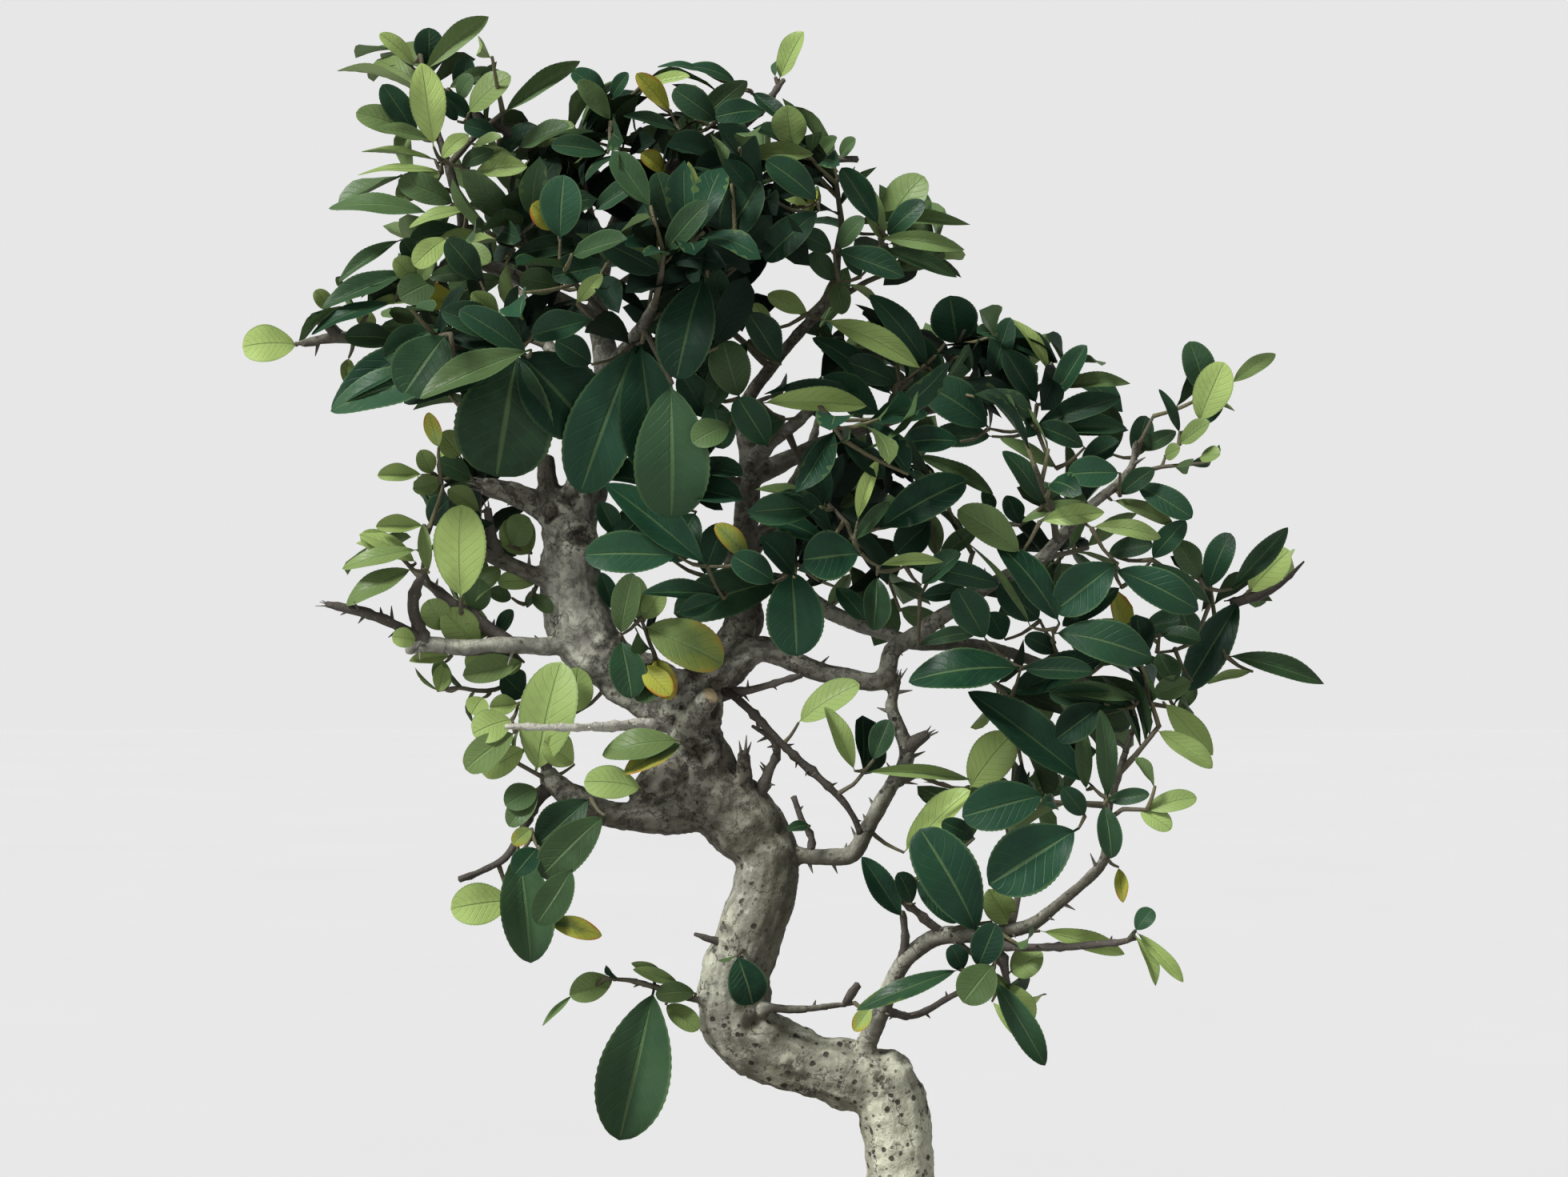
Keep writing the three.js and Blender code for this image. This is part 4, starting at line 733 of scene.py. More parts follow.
# Old wounds and swellings: [x, y, z, radius, how far they stand out, crust]
KNOTS = [
    [38, -6, 138.5, 7, 2.0, 0.5], [30, -9, 130, 4, 0.9, 0.9], [2, -10, 135, 4.5, 1.1, 0.9],
    [-17, -9, 177, 5, 1.2, 0.8], [-27, -8, 233, 7, 1.8, 1.0], [-33, -4, 243, 6, 1.6, 1.0],
    [-22, -7, 246, 5, 1.4, 0.9], [-3, -6, 202, 6, 1.6, 0.3], [-37, -9, 222, 5, 1.6, 1.0],
    [-64, -6, 300, 6, 1.6, 1.0], [-72, -4, 307, 5, 1.8, 1.0], [-62, -6, 262, 5, 1.2, 0.5],
    [-16, 0, 286, 5, 1.8, 0.8], [-72, -8, 224, 5, 1.6, 1.0], [26, -5, 134, 5, 1.2, 0.2],
    [-10, -8, 148, 6, 0.8, 0.2], [36, -4, 118, 7, 0.6, 0.1], [-21, -6, 254, 5, 1.5, 1.0],
    [-67, -6, 313, 6, 2.2, 1.0], [-57, -8, 265.5, 4.5, 0.9, 0.9],
]
# Sawn faces: [centre, radius]; pale wood shows within it
CUTS = [[(-22.3, -14.6, 251.2), 3.0]]
print(len(TONES), "tones,", len(KNOTS), "knots")

# %% [markdown]
# The trunk and thick limbs are one body of wood, so their tubes are merged by a voxel remesh, which
# also rounds the joints, and smoothed. Then every vertex is moved a little along its normal: broad
# swellings, knots where limbs were lost, and the grain of the bark. Thin twigs would melt away in
# the remesh, so they stay tubes.

# %% Thick wood
THICK = 2.75
LINE_STEP = 2.0
VOXEL = 0.95
# Along a root: [part of its run, height, radius]
ROOT_STEPS = [(-0.1, 72, 5), (0.1, 62, 7), (0.5, 57.5, 4.6), (1, 44, 2.2)]
ROOT_START = 6


def is_thick(name):
    return max(point[3] for point in LIMBS[name]) >= THICK


def root_line(heading, run):
    angle = math.radians(heading)
    x, y = LIMBS["foot"][1][:2]
    return [[x + math.cos(angle) * (ROOT_START + run * part),
             y + math.sin(angle) * (ROOT_START + run * part), z, r] for part, z, r in ROOT_STEPS]


thick = [(name, placed_limb(points, LINE_STEP)) for name, points in LIMBS.items() if is_thick(name)]
thick += [("foot", placed_limb(root_line(heading, run), LINE_STEP)) for heading, run in ROOTS]
skin = Skin()
for number, (name, line) in enumerate(thick):
    skin.add(*tube(line, 14, 0.10, number * 3.7), (0,))
rough_wood = new_piece("rough_wood", skin.mesh("rough_wood"))
remesh = rough_wood.modifiers.new("merge", "REMESH")
remesh.mode = "VOXEL"
remesh.voxel_size = VOXEL * MM
remesh.use_smooth_shade = True
smooth = rough_wood.modifiers.new("soften", "SMOOTH")
smooth.factor = 0.5
smooth.iterations = 4
wood_mesh = applied(rough_wood, "tree_wood")
print("merged wood", len(wood_mesh.vertices), "vertices", len(wood_mesh.polygons), "faces")

# %% [markdown]
# Each vertex is measured against the middle lines of the limbs. The limbs near it give their bark's
# look, blended, and its own limb gives the run and turn that the grain of the bark follows. That
# goes in batches, since all vertices against all lines at once would fill the memory.


# %% Measuring against the limbs
BATCH = 4000
BLEND = 1.6


def vertex_array(mesh, what="co"):
    values = np.empty(len(mesh.vertices) * 3)
    source = mesh.vertices if what == "co" else mesh.vertex_normals
    source.foreach_get("co" if what == "co" else "vector", values)
    return values.reshape(-1, 3)


def gaps_to(points, cores):
    """Batch by batch: which points, and how far each is from every core's surface."""
    centres, reach = cores[:, :3], cores[:, 3]
    for start in range(0, len(points), BATCH):
        some = slice(start, start + BATCH)
        squares = ((points[some] ** 2).sum(1)[:, None] - 2 * points[some] @ centres.T
                   + (centres ** 2).sum(1)[None])
        yield some, np.sqrt(np.maximum(squares, 0)) - reach[None]


def nearest_paint(points, lines, *tables):
    """Values for each point, blended from the limbs nearest to it: one column for each table."""
    lines = [(name, line[::3]) for name, line in lines]
    values = np.array([[table(name, spot) for table in tables] for name, line in lines for spot in line])
    found = np.empty((len(points), len(tables)))
    for some, gap in gaps_to(points, np.vstack([line for _, line in lines])):
        weight = np.exp(-np.clip(gap, -3, 60) / BLEND)
        found[some] = (weight @ values) / weight.sum(1)[:, None]
    return found


def grain_of(points, lines):
    """Where each point lies on its own limb: two widths from the core, and the run along it."""
    cores = np.vstack([line for _, line in lines])
    ways = np.vstack([frames(line) for _, line in lines])
    run = np.concatenate([np.arange(len(line)) * LINE_STEP + 90 * number
                          for number, (_, line) in enumerate(lines)])
    found = np.empty((len(points), 3))
    for some, gap in gaps_to(points, cores):
        own = gap.argmin(1)
        local = np.einsum("nk,nwk->nw", points[some] - cores[own, :3], ways[own])
        found[some] = np.column_stack([local[:, 1], local[:, 2], run[own] + local[:, 0]])
    return found


print("thick lines", len(thick), "with", sum(len(line) for _, line in thick), "points")

# %% [markdown]
# A knot is a swelling with a raised lip and a pit; the lip is painted lighter and the pit darker, as
# painted light and shade. The bark's own relief is noise at several sizes, drawn out along the limb
# for its grain, and stronger where the bark is crusty.


# %% Bark relief
def relief(points, crust):
    """How far the bark stands out in millimetres, how crusty and how pale it is there; its paleness
    includes painted light on knots' lips and painted shade in their pits.
    """
    rise, pale = np.zeros(len(points)), np.zeros(len(points))
    for x, y, z, radius, height, rough in KNOTS:
        away = np.linalg.norm(points - place([x, y, z]), axis=1) / radius
        near = np.exp(-away ** 2 * 1.1)
        lip = np.exp(-((away - 0.7) / 0.26) ** 2)
        pit = np.exp(-(away / 0.42) ** 2)
        rise += height * (near * 0.5 + lip * 0.7 - pit * 1.1)
        # Painted light and shade: the lip of a knot lighter, its pit darker
        pale += (0.16 * lip - 0.3 * pit) * min(height, 1.6)
        crust = np.maximum(crust, rough * near)
    grain = grain_of(points, thick)
    for i, point in enumerate(points):
        spot, (a, b, run) = Vector(point), grain[i]
        broad = noise.noise(spot * 0.055)
        middle = noise.noise(spot * 0.17 + Vector((7, 3, 1)))
        fine = noise.noise(spot * 0.5) * 0.6 + noise.noise(spot * 0.95) * 0.4
        streak = noise.noise(Vector((a * 0.3, b * 0.3, run * 0.035)))
        thin = noise.noise(Vector((a * 0.75, b * 0.75, run * 0.10 + 40)))
        wrinkle = noise.noise(Vector((a * 0.10, b * 0.10, run * 0.42)))
        rise[i] += (broad * 1.0 + middle * (0.6 + 0.6 * crust[i]) + fine * (0.28 + 0.8 * crust[i])
                    + streak * 0.5 + thin * 0.3 + wrinkle * 0.25)
        pale[i] += streak * 0.22 + thin * 0.20 + fine * 0.16 + wrinkle * 0.08
    return rise, crust, pale


print("highest knot stands out", max(knot[4] for knot in KNOTS), "mm")

# %% [markdown]
# The side of the wood that faces the light is painted lighter, and the far side and the undersides
# are painted darker: painted light and shade. The foot is darker towards the soil, and the wood just
# under the crown gets painted shade. The tables give how much, by height up the trunk.

# %% Bark paint, with painted light and shade
# Painted light and shade by height: lighter where the bark faces the light, darker on the far side and
# underneath
LIT_SIDE_SHADING = [118, 130, 145, 165, 200, 215], [0.0, 0.24, 0.44, 0.42, 0.32, 0.19]
LIT_SIDE_WAY = unit([-0.85, 0.05, 0.45])
# Painted light and shade on the foot: lighter towards the front right, darker towards the back left
LOW_LIT_SIDE_SHADING = [70, 90, 115, 130], [0.0, 0.27, 0.27, 0.0]
LOW_LIT_SIDE_WAY = unit([0.7, -0.7, 0])
# Darker by height: towards the soil, and painted shade under the crown from 168 to 218 mm
DARKER = [54, 86, 168, 184, 206, 218], [-0.5, 0, 0, -0.2, -0.2, 0]
THIN_RADIUS, THIN_DARKER = 2.6, 0.3
FULL_RELIEF_RADIUS = 8
CUT_EDGE = 0.6

co = vertex_array(wood_mesh) / MM - SHIFT
normals = vertex_array(wood_mesh, "normal")
pale, crust, spotted, radius_here = nearest_paint(
    co, thick,
    lambda name, spot: TONES.get(name, PLAIN_TONE) - THIN_DARKER * max(0, 1 - spot[3] / THIN_RADIUS),
    lambda name, spot: CRUST.get(name, PLAIN_CRUST),
    lambda name, spot: SPOTTED.get(name, PLAIN_SPOTS),
    lambda name, spot: spot[3]).T
rise, crust, streaks_and_knot_shading = relief(co, crust)
height = co[:, 2]
# Tone and streaks, plus painted light and shade by which way the bark faces
pale = (pale + streaks_and_knot_shading + np.interp(height, *LIT_SIDE_SHADING) * (normals @ LIT_SIDE_WAY)
        + np.interp(height, *LOW_LIT_SIDE_SHADING) * (normals @ LOW_LIT_SIDE_WAY))
# Adds the darker foot and the painted shade under the crown
pale = np.clip(pale + np.interp(height, *DARKER), 0, 1)
co += normals * (rise * np.clip(radius_here / FULL_RELIEF_RADIUS, 0.25, 1))[:, None]
cut = np.zeros(len(co))
for centre, radius in CUTS:
    gap = np.linalg.norm(co - place(centre), axis=1)
    cut = np.maximum(cut, np.clip((radius - gap) / CUT_EDGE, 0, 1))
wood_mesh.vertices.foreach_set("co", metres(co).ravel())
for layer, values in (("pale", pale), ("crust", crust), ("cut", cut), ("spotted", spotted)):
    wood_mesh.attributes.new(layer, "FLOAT", "POINT").data.foreach_set("value", values)
wood_mesh.update()
tree_wood = new_piece("tree_wood", wood_mesh, BARK)
wood_tree = BVHTree.FromPolygons([Vector(p) for p in co],
                                 [tuple(p.vertices) for p in wood_mesh.polygons])
print("relief from", rise.min().round(2), "to", rise.max().round(2), "mm")

# %% [markdown]
# A spray is a short stem that leaves a limb, side shoots on it, and leaves set in a spiral round
# each, open wide at a shoot's foot and closing in towards its tip. The table holds what the
# photograph shows of each: where the stem starts and runs, how many side shoots and leaves it
# bears, and single leaves that stand out. The last two numbers of such a leaf say how young and
# light it is, and how far it has turned yellow.

# %% Sprays
# [name, limb, place along the limb, the stem's points, side shoots, leaves, leaf length, chosen
# leaves]; a chosen leaf is [place along the stem, tip, width, which way it faces, young, gold]
SPRAYS = [
    ["spray_top_left_tip", "crown_left", 5.9, [[-111.5, -13, 437], [-112.5, -13, 444]], 2, 15, 27, [
        [0.8, [-92.5, -14, 463], 6.5, "F", 0.5, 0], [0.5, [-139, -15, 448], 7, "T", 0.85, 0.1],
    ]],
    ["spray_top_left_out", "crown_left", 4.4, [[-110, -14, 410], [-120, -18, 413]], 1, 6, 26, []],
    ["spray_top_left_in", "crown_left", 5, [[-98, -14, 424], [-91, -18, 430]], 1, 8, 24, []],
    ["spray_left_rosette", "crown_left", 2.9, [[-108, -18, 384], [-115, -22, 381]], 1, 8, 24, []],
    ["spray_far_left_end", "crown_far_left", 4.9, [[-152, -22, 360.5]], 0, 0, 6, []],
    ["spray_far_left_up", "crown_far_left", 3.9,
     [[-130, -24, 370], [-134, -26, 373]], 1, 6, 22, []],
    ["spray_far_left_front", "crown_far_left", 3, [[-112, -24, 362], [-107, -34, 363]], 2, 12, 28, [
        [0.8, [-142, -34, 341], 12, "F", 0, 0], [0.9, [-119, -44, 345], 18, "F", 0.1, 0],
    ]],
    ["spray_big_leaves", "crown_far_left", 1.6, [[-86, -16, 355], [-84, -24, 357]], 1, 7, 26, [
        [0.9, [-90, -28, 319], 30, "F", 0.1, 0.15], [0.9, [-60, -26, 333], 25, "F", 0, 0],
        [0.7, [-119, -30, 344], 16, "F", 0, 0],
    ]],
    ["spray_heart_hanging", "front_limb", 0.9, [[-50, -20, 359], [-47, -25, 360]], 1, 6, 27, [
        [0.8, [-64, -26, 314], 21, "F", 0, 0], [0.9, [-40, -30, 318], 19, "F", 0, 0],
        [0.6, [-32, -24, 352], 15, "F", 0, 0],
    ]],
    ["spray_heart_front", "front_limb", 2, [[-40, -34, 358], [-37, -37, 352]], 2, 10, 28, [
        [0.9, [-35, -38, 306], 23, "F", 0.15, 0],
    ]],
    ["spray_crown_front", "front_limb", 2.9, [[-39, -52, 379], [-38, -60, 385]], 3, 22, 28, []],
    ["spray_crown_front_left", "front_limb", 1.4,
     [[-58, -28, 372], [-66, -38, 380]], 3, 20, 28, []],
    ["spray_crown_front_right", "front_limb", 2.2,
     [[-28, -36, 374], [-18, -42, 382]], 3, 20, 28, []],
    ["spray_crown_mid_left", "crown_left", 1.5, [[-80, -14, 386], [-82, -22, 396]], 3, 20, 27, []],
    ["spray_crown_high_left", "crown_left", 3.6, [[-90, -4, 398], [-81, 2, 404]], 3, 20, 27, []],
    ["spray_crown_high_mid", "left_limb", 12.2, [[-60, -4, 400], [-62, -12, 409]], 3, 22, 27, []],
    ["spray_crown_peak", "crown_top", 1.2, [[-42, -2, 414], [-44, -8, 420]], 3, 20, 27, []],
    ["spray_crown_peak_right", "crown_top", 2.6, [[-18, -10, 424], [-18, -16, 428]], 2, 14, 26, []],
    ["spray_crown_feather", "crown_top", 3.8, [[-2, -3, 442]], 0, 1, 10, []],
    ["spray_crown_right", "crown_top", 1.9, [[-18, -14, 414], [-8, -22, 408]], 3, 20, 27, []],
    ["spray_crown_cut_end", "crown_cut", 2.4, [[14, -8, 426], [16, -10, 431]], 1, 9, 22, []],
    ["spray_crown_inner", "left_limb", 11.3, [[-44, -6, 384], [-34, -14, 390]], 3, 18, 27, []],
    ["spray_back_peak", "crown_back", 2.9, [[-26, 64, 400], [-26, 70, 404]], 3, 22, 27, []],
    ["spray_back_top_left", "crown_back", 1.4, [[-60, 42, 393], [-70, 50, 396]], 3, 20, 27, []],
    ["spray_back_left", "back_left_limb", 3.9, [[-84, 68, 378], [-88, 74, 382]], 3, 22, 27, []],
    ["spray_back_far_left", "back_left_limb", 2.4,
     [[-90, 46, 366], [-104, 48, 372]], 3, 22, 27, []],
    ["spray_back_low_left", "back_left_limb", 1.4, [[-82, 28, 340], [-92, 36, 336]], 3, 18, 27, []],
    ["spray_back_mid", "crown_back", 0.9, [[-30, 28, 390], [-16, 34, 392]], 3, 20, 27, []],
    ["spray_leader_tip", "leader", 8.8, [[18, -2, 397], [17, -6, 406]], 3, 18, 26, [
        [0.5, [58, -8, 399], 4, "F", 0.4, 0],
    ]],
    ["spray_leader_right", "leader", 7.7, [[26, 6, 380], [36, 8, 384]], 2, 16, 27, []],
    ["spray_leader_mid", "leader", 6.6, [[-18, -2, 366], [-22, -10, 370]], 3, 18, 27, []],
    ["spray_leader_light", "leader", 6, [[-4, -4, 344], [0, -12, 343]], 1, 6, 24, []],
    ["spray_middle_front", "front_right_limb", 2.8,
     [[12, -46, 340], [16, -52, 334]], 3, 20, 27, []],
    ["spray_middle_low", "front_right_limb", 1.6, [[8, -24, 316], [16, -32, 308]], 3, 18, 27, []],
    ["spray_middle_left", "leader", 4.6, [[-26, -2, 320], [-34, -10, 316]], 2, 14, 27, [
        [0.8, [-58, -16, 292], 12, "F", 0, 0],
    ]],
    ["spray_middle_deep", "leader", 3.8, [[-2, 22, 304], [10, 30, 306]], 3, 18, 27, []],
    ["spray_middle_hanging", "cross_limb", 1, [[0, -8, 288], [2, -14, 290]], 2, 10, 26, [
        [0.8, [4, -18, 263], 18, "F", 0, 0], [0.3, [-34, -16, 277], 15, "F", 0.1, 0],
    ]],
    ["spray_back_low", "back_limb", 2.2, [[14, 50, 306], [24, 56, 302]], 3, 20, 27, []],
    ["spray_back_low_tip", "back_limb", 3.9, [[12, 74, 342], [14, 78, 350]], 3, 22, 27, []],
    ["spray_pad_front", "pad_limb", 2.6, [[34, 0, 344], [40, -8, 350]], 3, 20, 27, []],
    ["spray_pad_top", "pad_limb", 3.4, [[50, 8, 352], [54, 2, 360]], 3, 20, 29, [
        [0.8, [52, -8, 375], 15, "F", 0, 0],
    ]],
    ["spray_pad_back", "pad_limb", 3, [[46, 30, 346], [52, 40, 350]], 3, 20, 27, []],
    ["spray_pad_end", "pad_limb", 4.9, [[84, 2, 349], [88, -4, 352]], 3, 20, 27, []],
    ["spray_right_heart", "right_limb", 9.4, [[58, -28, 292], [60, -38, 298]], 3, 20, 28, []],
    ["spray_right_upper", "right_limb", 11.4, [[84, -30, 308], [80, -38, 318]], 3, 20, 27, []],
    ["spray_right_crest", "right_limb", 13.8, [[112, -16, 331], [114, -16, 335]], 1, 4, 16, []],
    ["spray_right_feather", "right_limb", 12.9, [[118, -20, 322], [129, -23, 323]], 0, 3, 14, []],
    ["spray_right_back", "right_limb", 10.6, [[84, 0, 294], [92, 14, 296]], 3, 20, 27, []],
    ["spray_right_tip", "cross_limb", 7,
     [[108, 27, 268], [132, 22, 272], [143, 18, 281]], 2, 12, 22, [
        [0.95, [158, 12, 296], 12, "F", 0.9, 0], [0.9, [125.5, 8, 252.5], 12.5, "F", 0, 0],
    ]],
    ["spray_right_long", "cross_limb", 5.8, [[64, -4, 256], [68, -14, 252]], 2, 14, 30, [
        [0.9, [99, -22, 262], 12, "F", 0, 0],
    ]],
    ["spray_right_low", "cross_limb", 8.7, [[120, 34, 247], [122, 30, 246]], 1, 5, 20, []],
    ["spray_right_mid_back", "cross_limb", 6.8, [[84, 44, 256], [88, 54, 250]], 2, 16, 27, []],
    ["spray_low_right_top", "low_right", 11.8, [[110, -26, 232], [114, -27, 237]], 1, 10, 24, [
        [0.9, [134, -30, 228], 8, "F", 0.7, 0],
    ]],
    ["spray_low_right_mid", "low_right", 10.6, [[106, -34, 215], [111, -38, 215]], 1, 2, 16, [
        [0.9, [129, -40, 219], 7, "F", 0.7, 0.2], [0.8, [121, -42, 209], 7, "F", 0.8, 0.3],
    ]],
    ["spray_low_right_left", "low_right", 11, [[92, -34, 217], [83, -38, 217]], 2, 8, 22, []],
    ["spray_low_right_inner", "low_right", 5.2, [[54, -28, 178], [60, -30, 179]], 1, 4, 22, []],
    ["spray_low_right_cluster", "low_right", 5.9, [[66, -32, 168], [65, -34, 163]], 2, 5, 18, [
        [0.8, [82, -38, 135], 8, "F", 0.1, 0], [0.7, [78, -33, 138], 4.5, "F", 0.8, 0],
    ]],
    ["spray_low_right_end", "low_right_out", 3.6, [[109, -45, 176]], 0, 1, 10, [
        [0.9, [115, -46, 184], 6, "F", 0.1, 0], [0.9, [125, -48, 161], 4, "F", 0.9, 0],
        [0.6, [117, -46, 160], 4, "T", 0.8, 0],
    ]],
    ["spray_low_right_back", "low_right", 6.6,
     [[73, -12, 188], [72, 4, 200], [70, 14, 208]], 3, 12, 26, []],
    ["spray_low_left", "low_left_twig", 1,
     [[-38.5, -11, 159], [-48, -13, 161.5], [-53, -14, 162]], 0, 1, 10, [
        [0.4, [-51.5, -18, 111.5], 22.5, "F", 0.14, 0.12],
    ]],
    ["spray_trunk_leaf", "rise", 2.9, [[-13, -14, 171], [-14, -16, 170]], 0, 1, 10, [
        [0.9, [-9.5, -17, 154], 12.5, "F", 0, 0],
    ]],
    ["spray_left_arm_up", "left_arm_up", 2.8, [[-113, -12, 290], [-112, -16, 297]], 1, 5, 24, []],
    ["spray_left_oval", "left_arm_up", 1.5, [[-101, -14, 276], [-101, -17, 280]], 0, 2, 18, [
        [0.8, [-101, -21, 310], 16.5, "F", 0.95, 0],
    ]],
    ["spray_left_arm_low", "left_arm", 2.1,
     [[-84, -2, 256], [-92, -8, 251.5], [-102, -12, 253], [-109, -14, 252]], 1, 5, 16, []],
    ["spray_left_arm_far", "left_arm_spur", 2.6,
     [[-117, -18, 291], [-120, -16, 294]], 1, 4, 24, []],
    ["spray_left_behind", "left_stub", 2, [[-93, 4, 298], [-98, 12, 302]], 3, 22, 23, []],
    ["spray_low_left_light", "low_stump", 5, [[-79, -14, 227], [-86, -16, 231]], 1, 5, 18, [
        [0.4, [-70, -15, 261], 18, "F", 0.8, 0],
    ]],
    ["spray_low_left_hanging", "low_stump", 4.2,
     [[-70, -16, 212], [-78, -18, 207], [-81, -20, 203]], 0, 1, 16, []],
    ["spray_neck_green", "neck", 1.4, [[-29, -10, 233], [-31, -14, 235]], 0, 3, 22, [
        [0.9, [-57, -18, 233], 11, "F", 0.45, 0], [0.8, [-50, -20, 227], 8, "F", 0.3, 0.5],
    ]],
    ["spray_neck_yellow", "left_limb", 1.3, [[-40, -11, 262], [-43, -15, 270]], 0, 4, 22, [
        [0.9, [-19, -18, 261], 16, "F", 0.6, 0.45], [0.4, [-46, -19, 249], 12, "F", 0.25, 0],
        [0.5, [-36, -20, 250], 8, "F", 0.1, 0.9], [0.9, [-47, -16, 288], 7, "F", 0.5, 0],
    ]],
    ["spray_dark_twig", "dark_twig", 2.9, [[22, -19, 223], [26, -21, 228]], 0, 5, 20, [
        [0.7, [58, -26, 225], 4, "F", 0.6, 0], [0.9, [33, -22, 243], 8, "F", 0.1, 0],
    ]],
]
print(len(SPRAYS), "sprays with", sum(len(spray[-1]) for spray in SPRAYS), "chosen leaves")

# %% [markdown]
# The tree's outline and the gaps between its pads make its likeness, so no leaf grown by rule reaches
# past the one or into the others. Some limbs and leaves show plainly in the photograph: nothing may
# stand before them.

# %% Outline, openings and bare limbs
# The outline from the front, as [x, z]
OUTLINE = [
    [-169, 361], [-159, 371.5], [-141, 380], [-137, 393], [-142, 404], [-132.5, 412], [-134, 420],
    [-132.5, 434], [-125.5, 441.5], [-139, 447], [-126, 457.5], [-111, 459], [-92, 464],
    [-89.5, 453], [-88, 433], [-66, 430.5], [-61, 441.5], [-47.5, 446], [-29.5, 449], [-17, 447],
    [-15, 441], [-5.5, 441], [-4.5, 452], [7.5, 458], [8.5, 448], [5, 436.5], [11.5, 426.5],
    [24, 418], [37.5, 413], [48, 406.5], [48, 400], [59, 399], [57, 381.5], [37.5, 380], [28, 376],
    [37, 364], [51, 374], [72, 368.5], [94.5, 360], [108, 349], [107, 334], [117.5, 331.5],
    [118, 346], [127, 361], [153, 357], [141, 338], [137.5, 325], [125, 318], [127.5, 306.5],
    [119, 300], [130, 295], [139, 301], [147.5, 295], [158, 304], [162.5, 292], [149, 275],
    [169, 255], [139, 259], [129, 253], [135, 230], [122.5, 235], [115, 228], [130, 221.5],
    [121, 210], [105, 209], [109, 188], [117, 184], [125, 161], [105, 169], [83, 169], [82, 134],
    [65, 152], [22.5, 152], [17.5, 193], [1, 193], [-27.5, 153], [-47.5, 110], [-60, 118],
    [-61, 153], [-77, 146.5], [-64, 165], [-47.5, 169], [-30, 180], [-55, 208], [-59, 175],
    [-80, 165], [-104, 183], [-102.5, 191.5], [-85, 203], [-89, 218], [-100, 226.5], [-99, 243],
    [-110, 251.5], [-117.5, 259], [-146, 281.5], [-137.5, 293], [-132.5, 304], [-127.5, 319.5],
    [-110, 328], [-105, 338], [-142.5, 341.5], [-140, 350], [-135, 358], [-159, 356.5],
]
# Openings between the pads: [x, z, half width, half height]
CLEARINGS = [
    [-40, 183, 17, 22], [12, 180, 12, 22], [8, 228, 16, 20], [49, 235, 8, 12], [-70, 293, 11, 22],
    [-23, 287, 7, 4], [59, 320, 10, 4], [-12, 243, 14, 12], [-125, 325, 14, 10], [-34, 240, 10, 16],
    [18, 265, 9, 7], [1, 381.5, 8, 8], [2, 358, 9, 8], [63, 318, 5, 7], [-10, 447, 5.5, 5],
    [-137, 391, 8, 9], [117, 237, 6, 7], [52, 377, 14, 5], [-121, 311, 7, 6], [-119, 263.5, 4, 5],
    [113, 336, 8, 4],
]
# Limbs that the photograph shows bare, from their first to their last shown point
SHOWN = {
    "left_limb": (4, 8), "leader": (6, 9), "right_limb": (9, 13), "bare_limb": (0, 9),
    "dark_twig": (1, 4), "left_arm": (1, 5), "left_arm_tip": (0, 4), "left_stub": (0, 3),
    "low_right": (0, 6), "left_fork": (0, 3), "lichen_twig": (0, 3), "low_stump": (0, 6),
    "cut_stub": (0, 2), "shoulder_snag": (0, 4), "right_spike": (0, 3),
}
print(len(OUTLINE), "points of outline,", len(CLEARINGS), "openings,", len(SHOWN), "bare limbs")

# %% [markdown]
# The leaves that show plainly are drawn one by one, as the limbs were: from stalk to tip, with their
# depth and width. The rule for sprays could never hit their turn and overlap.

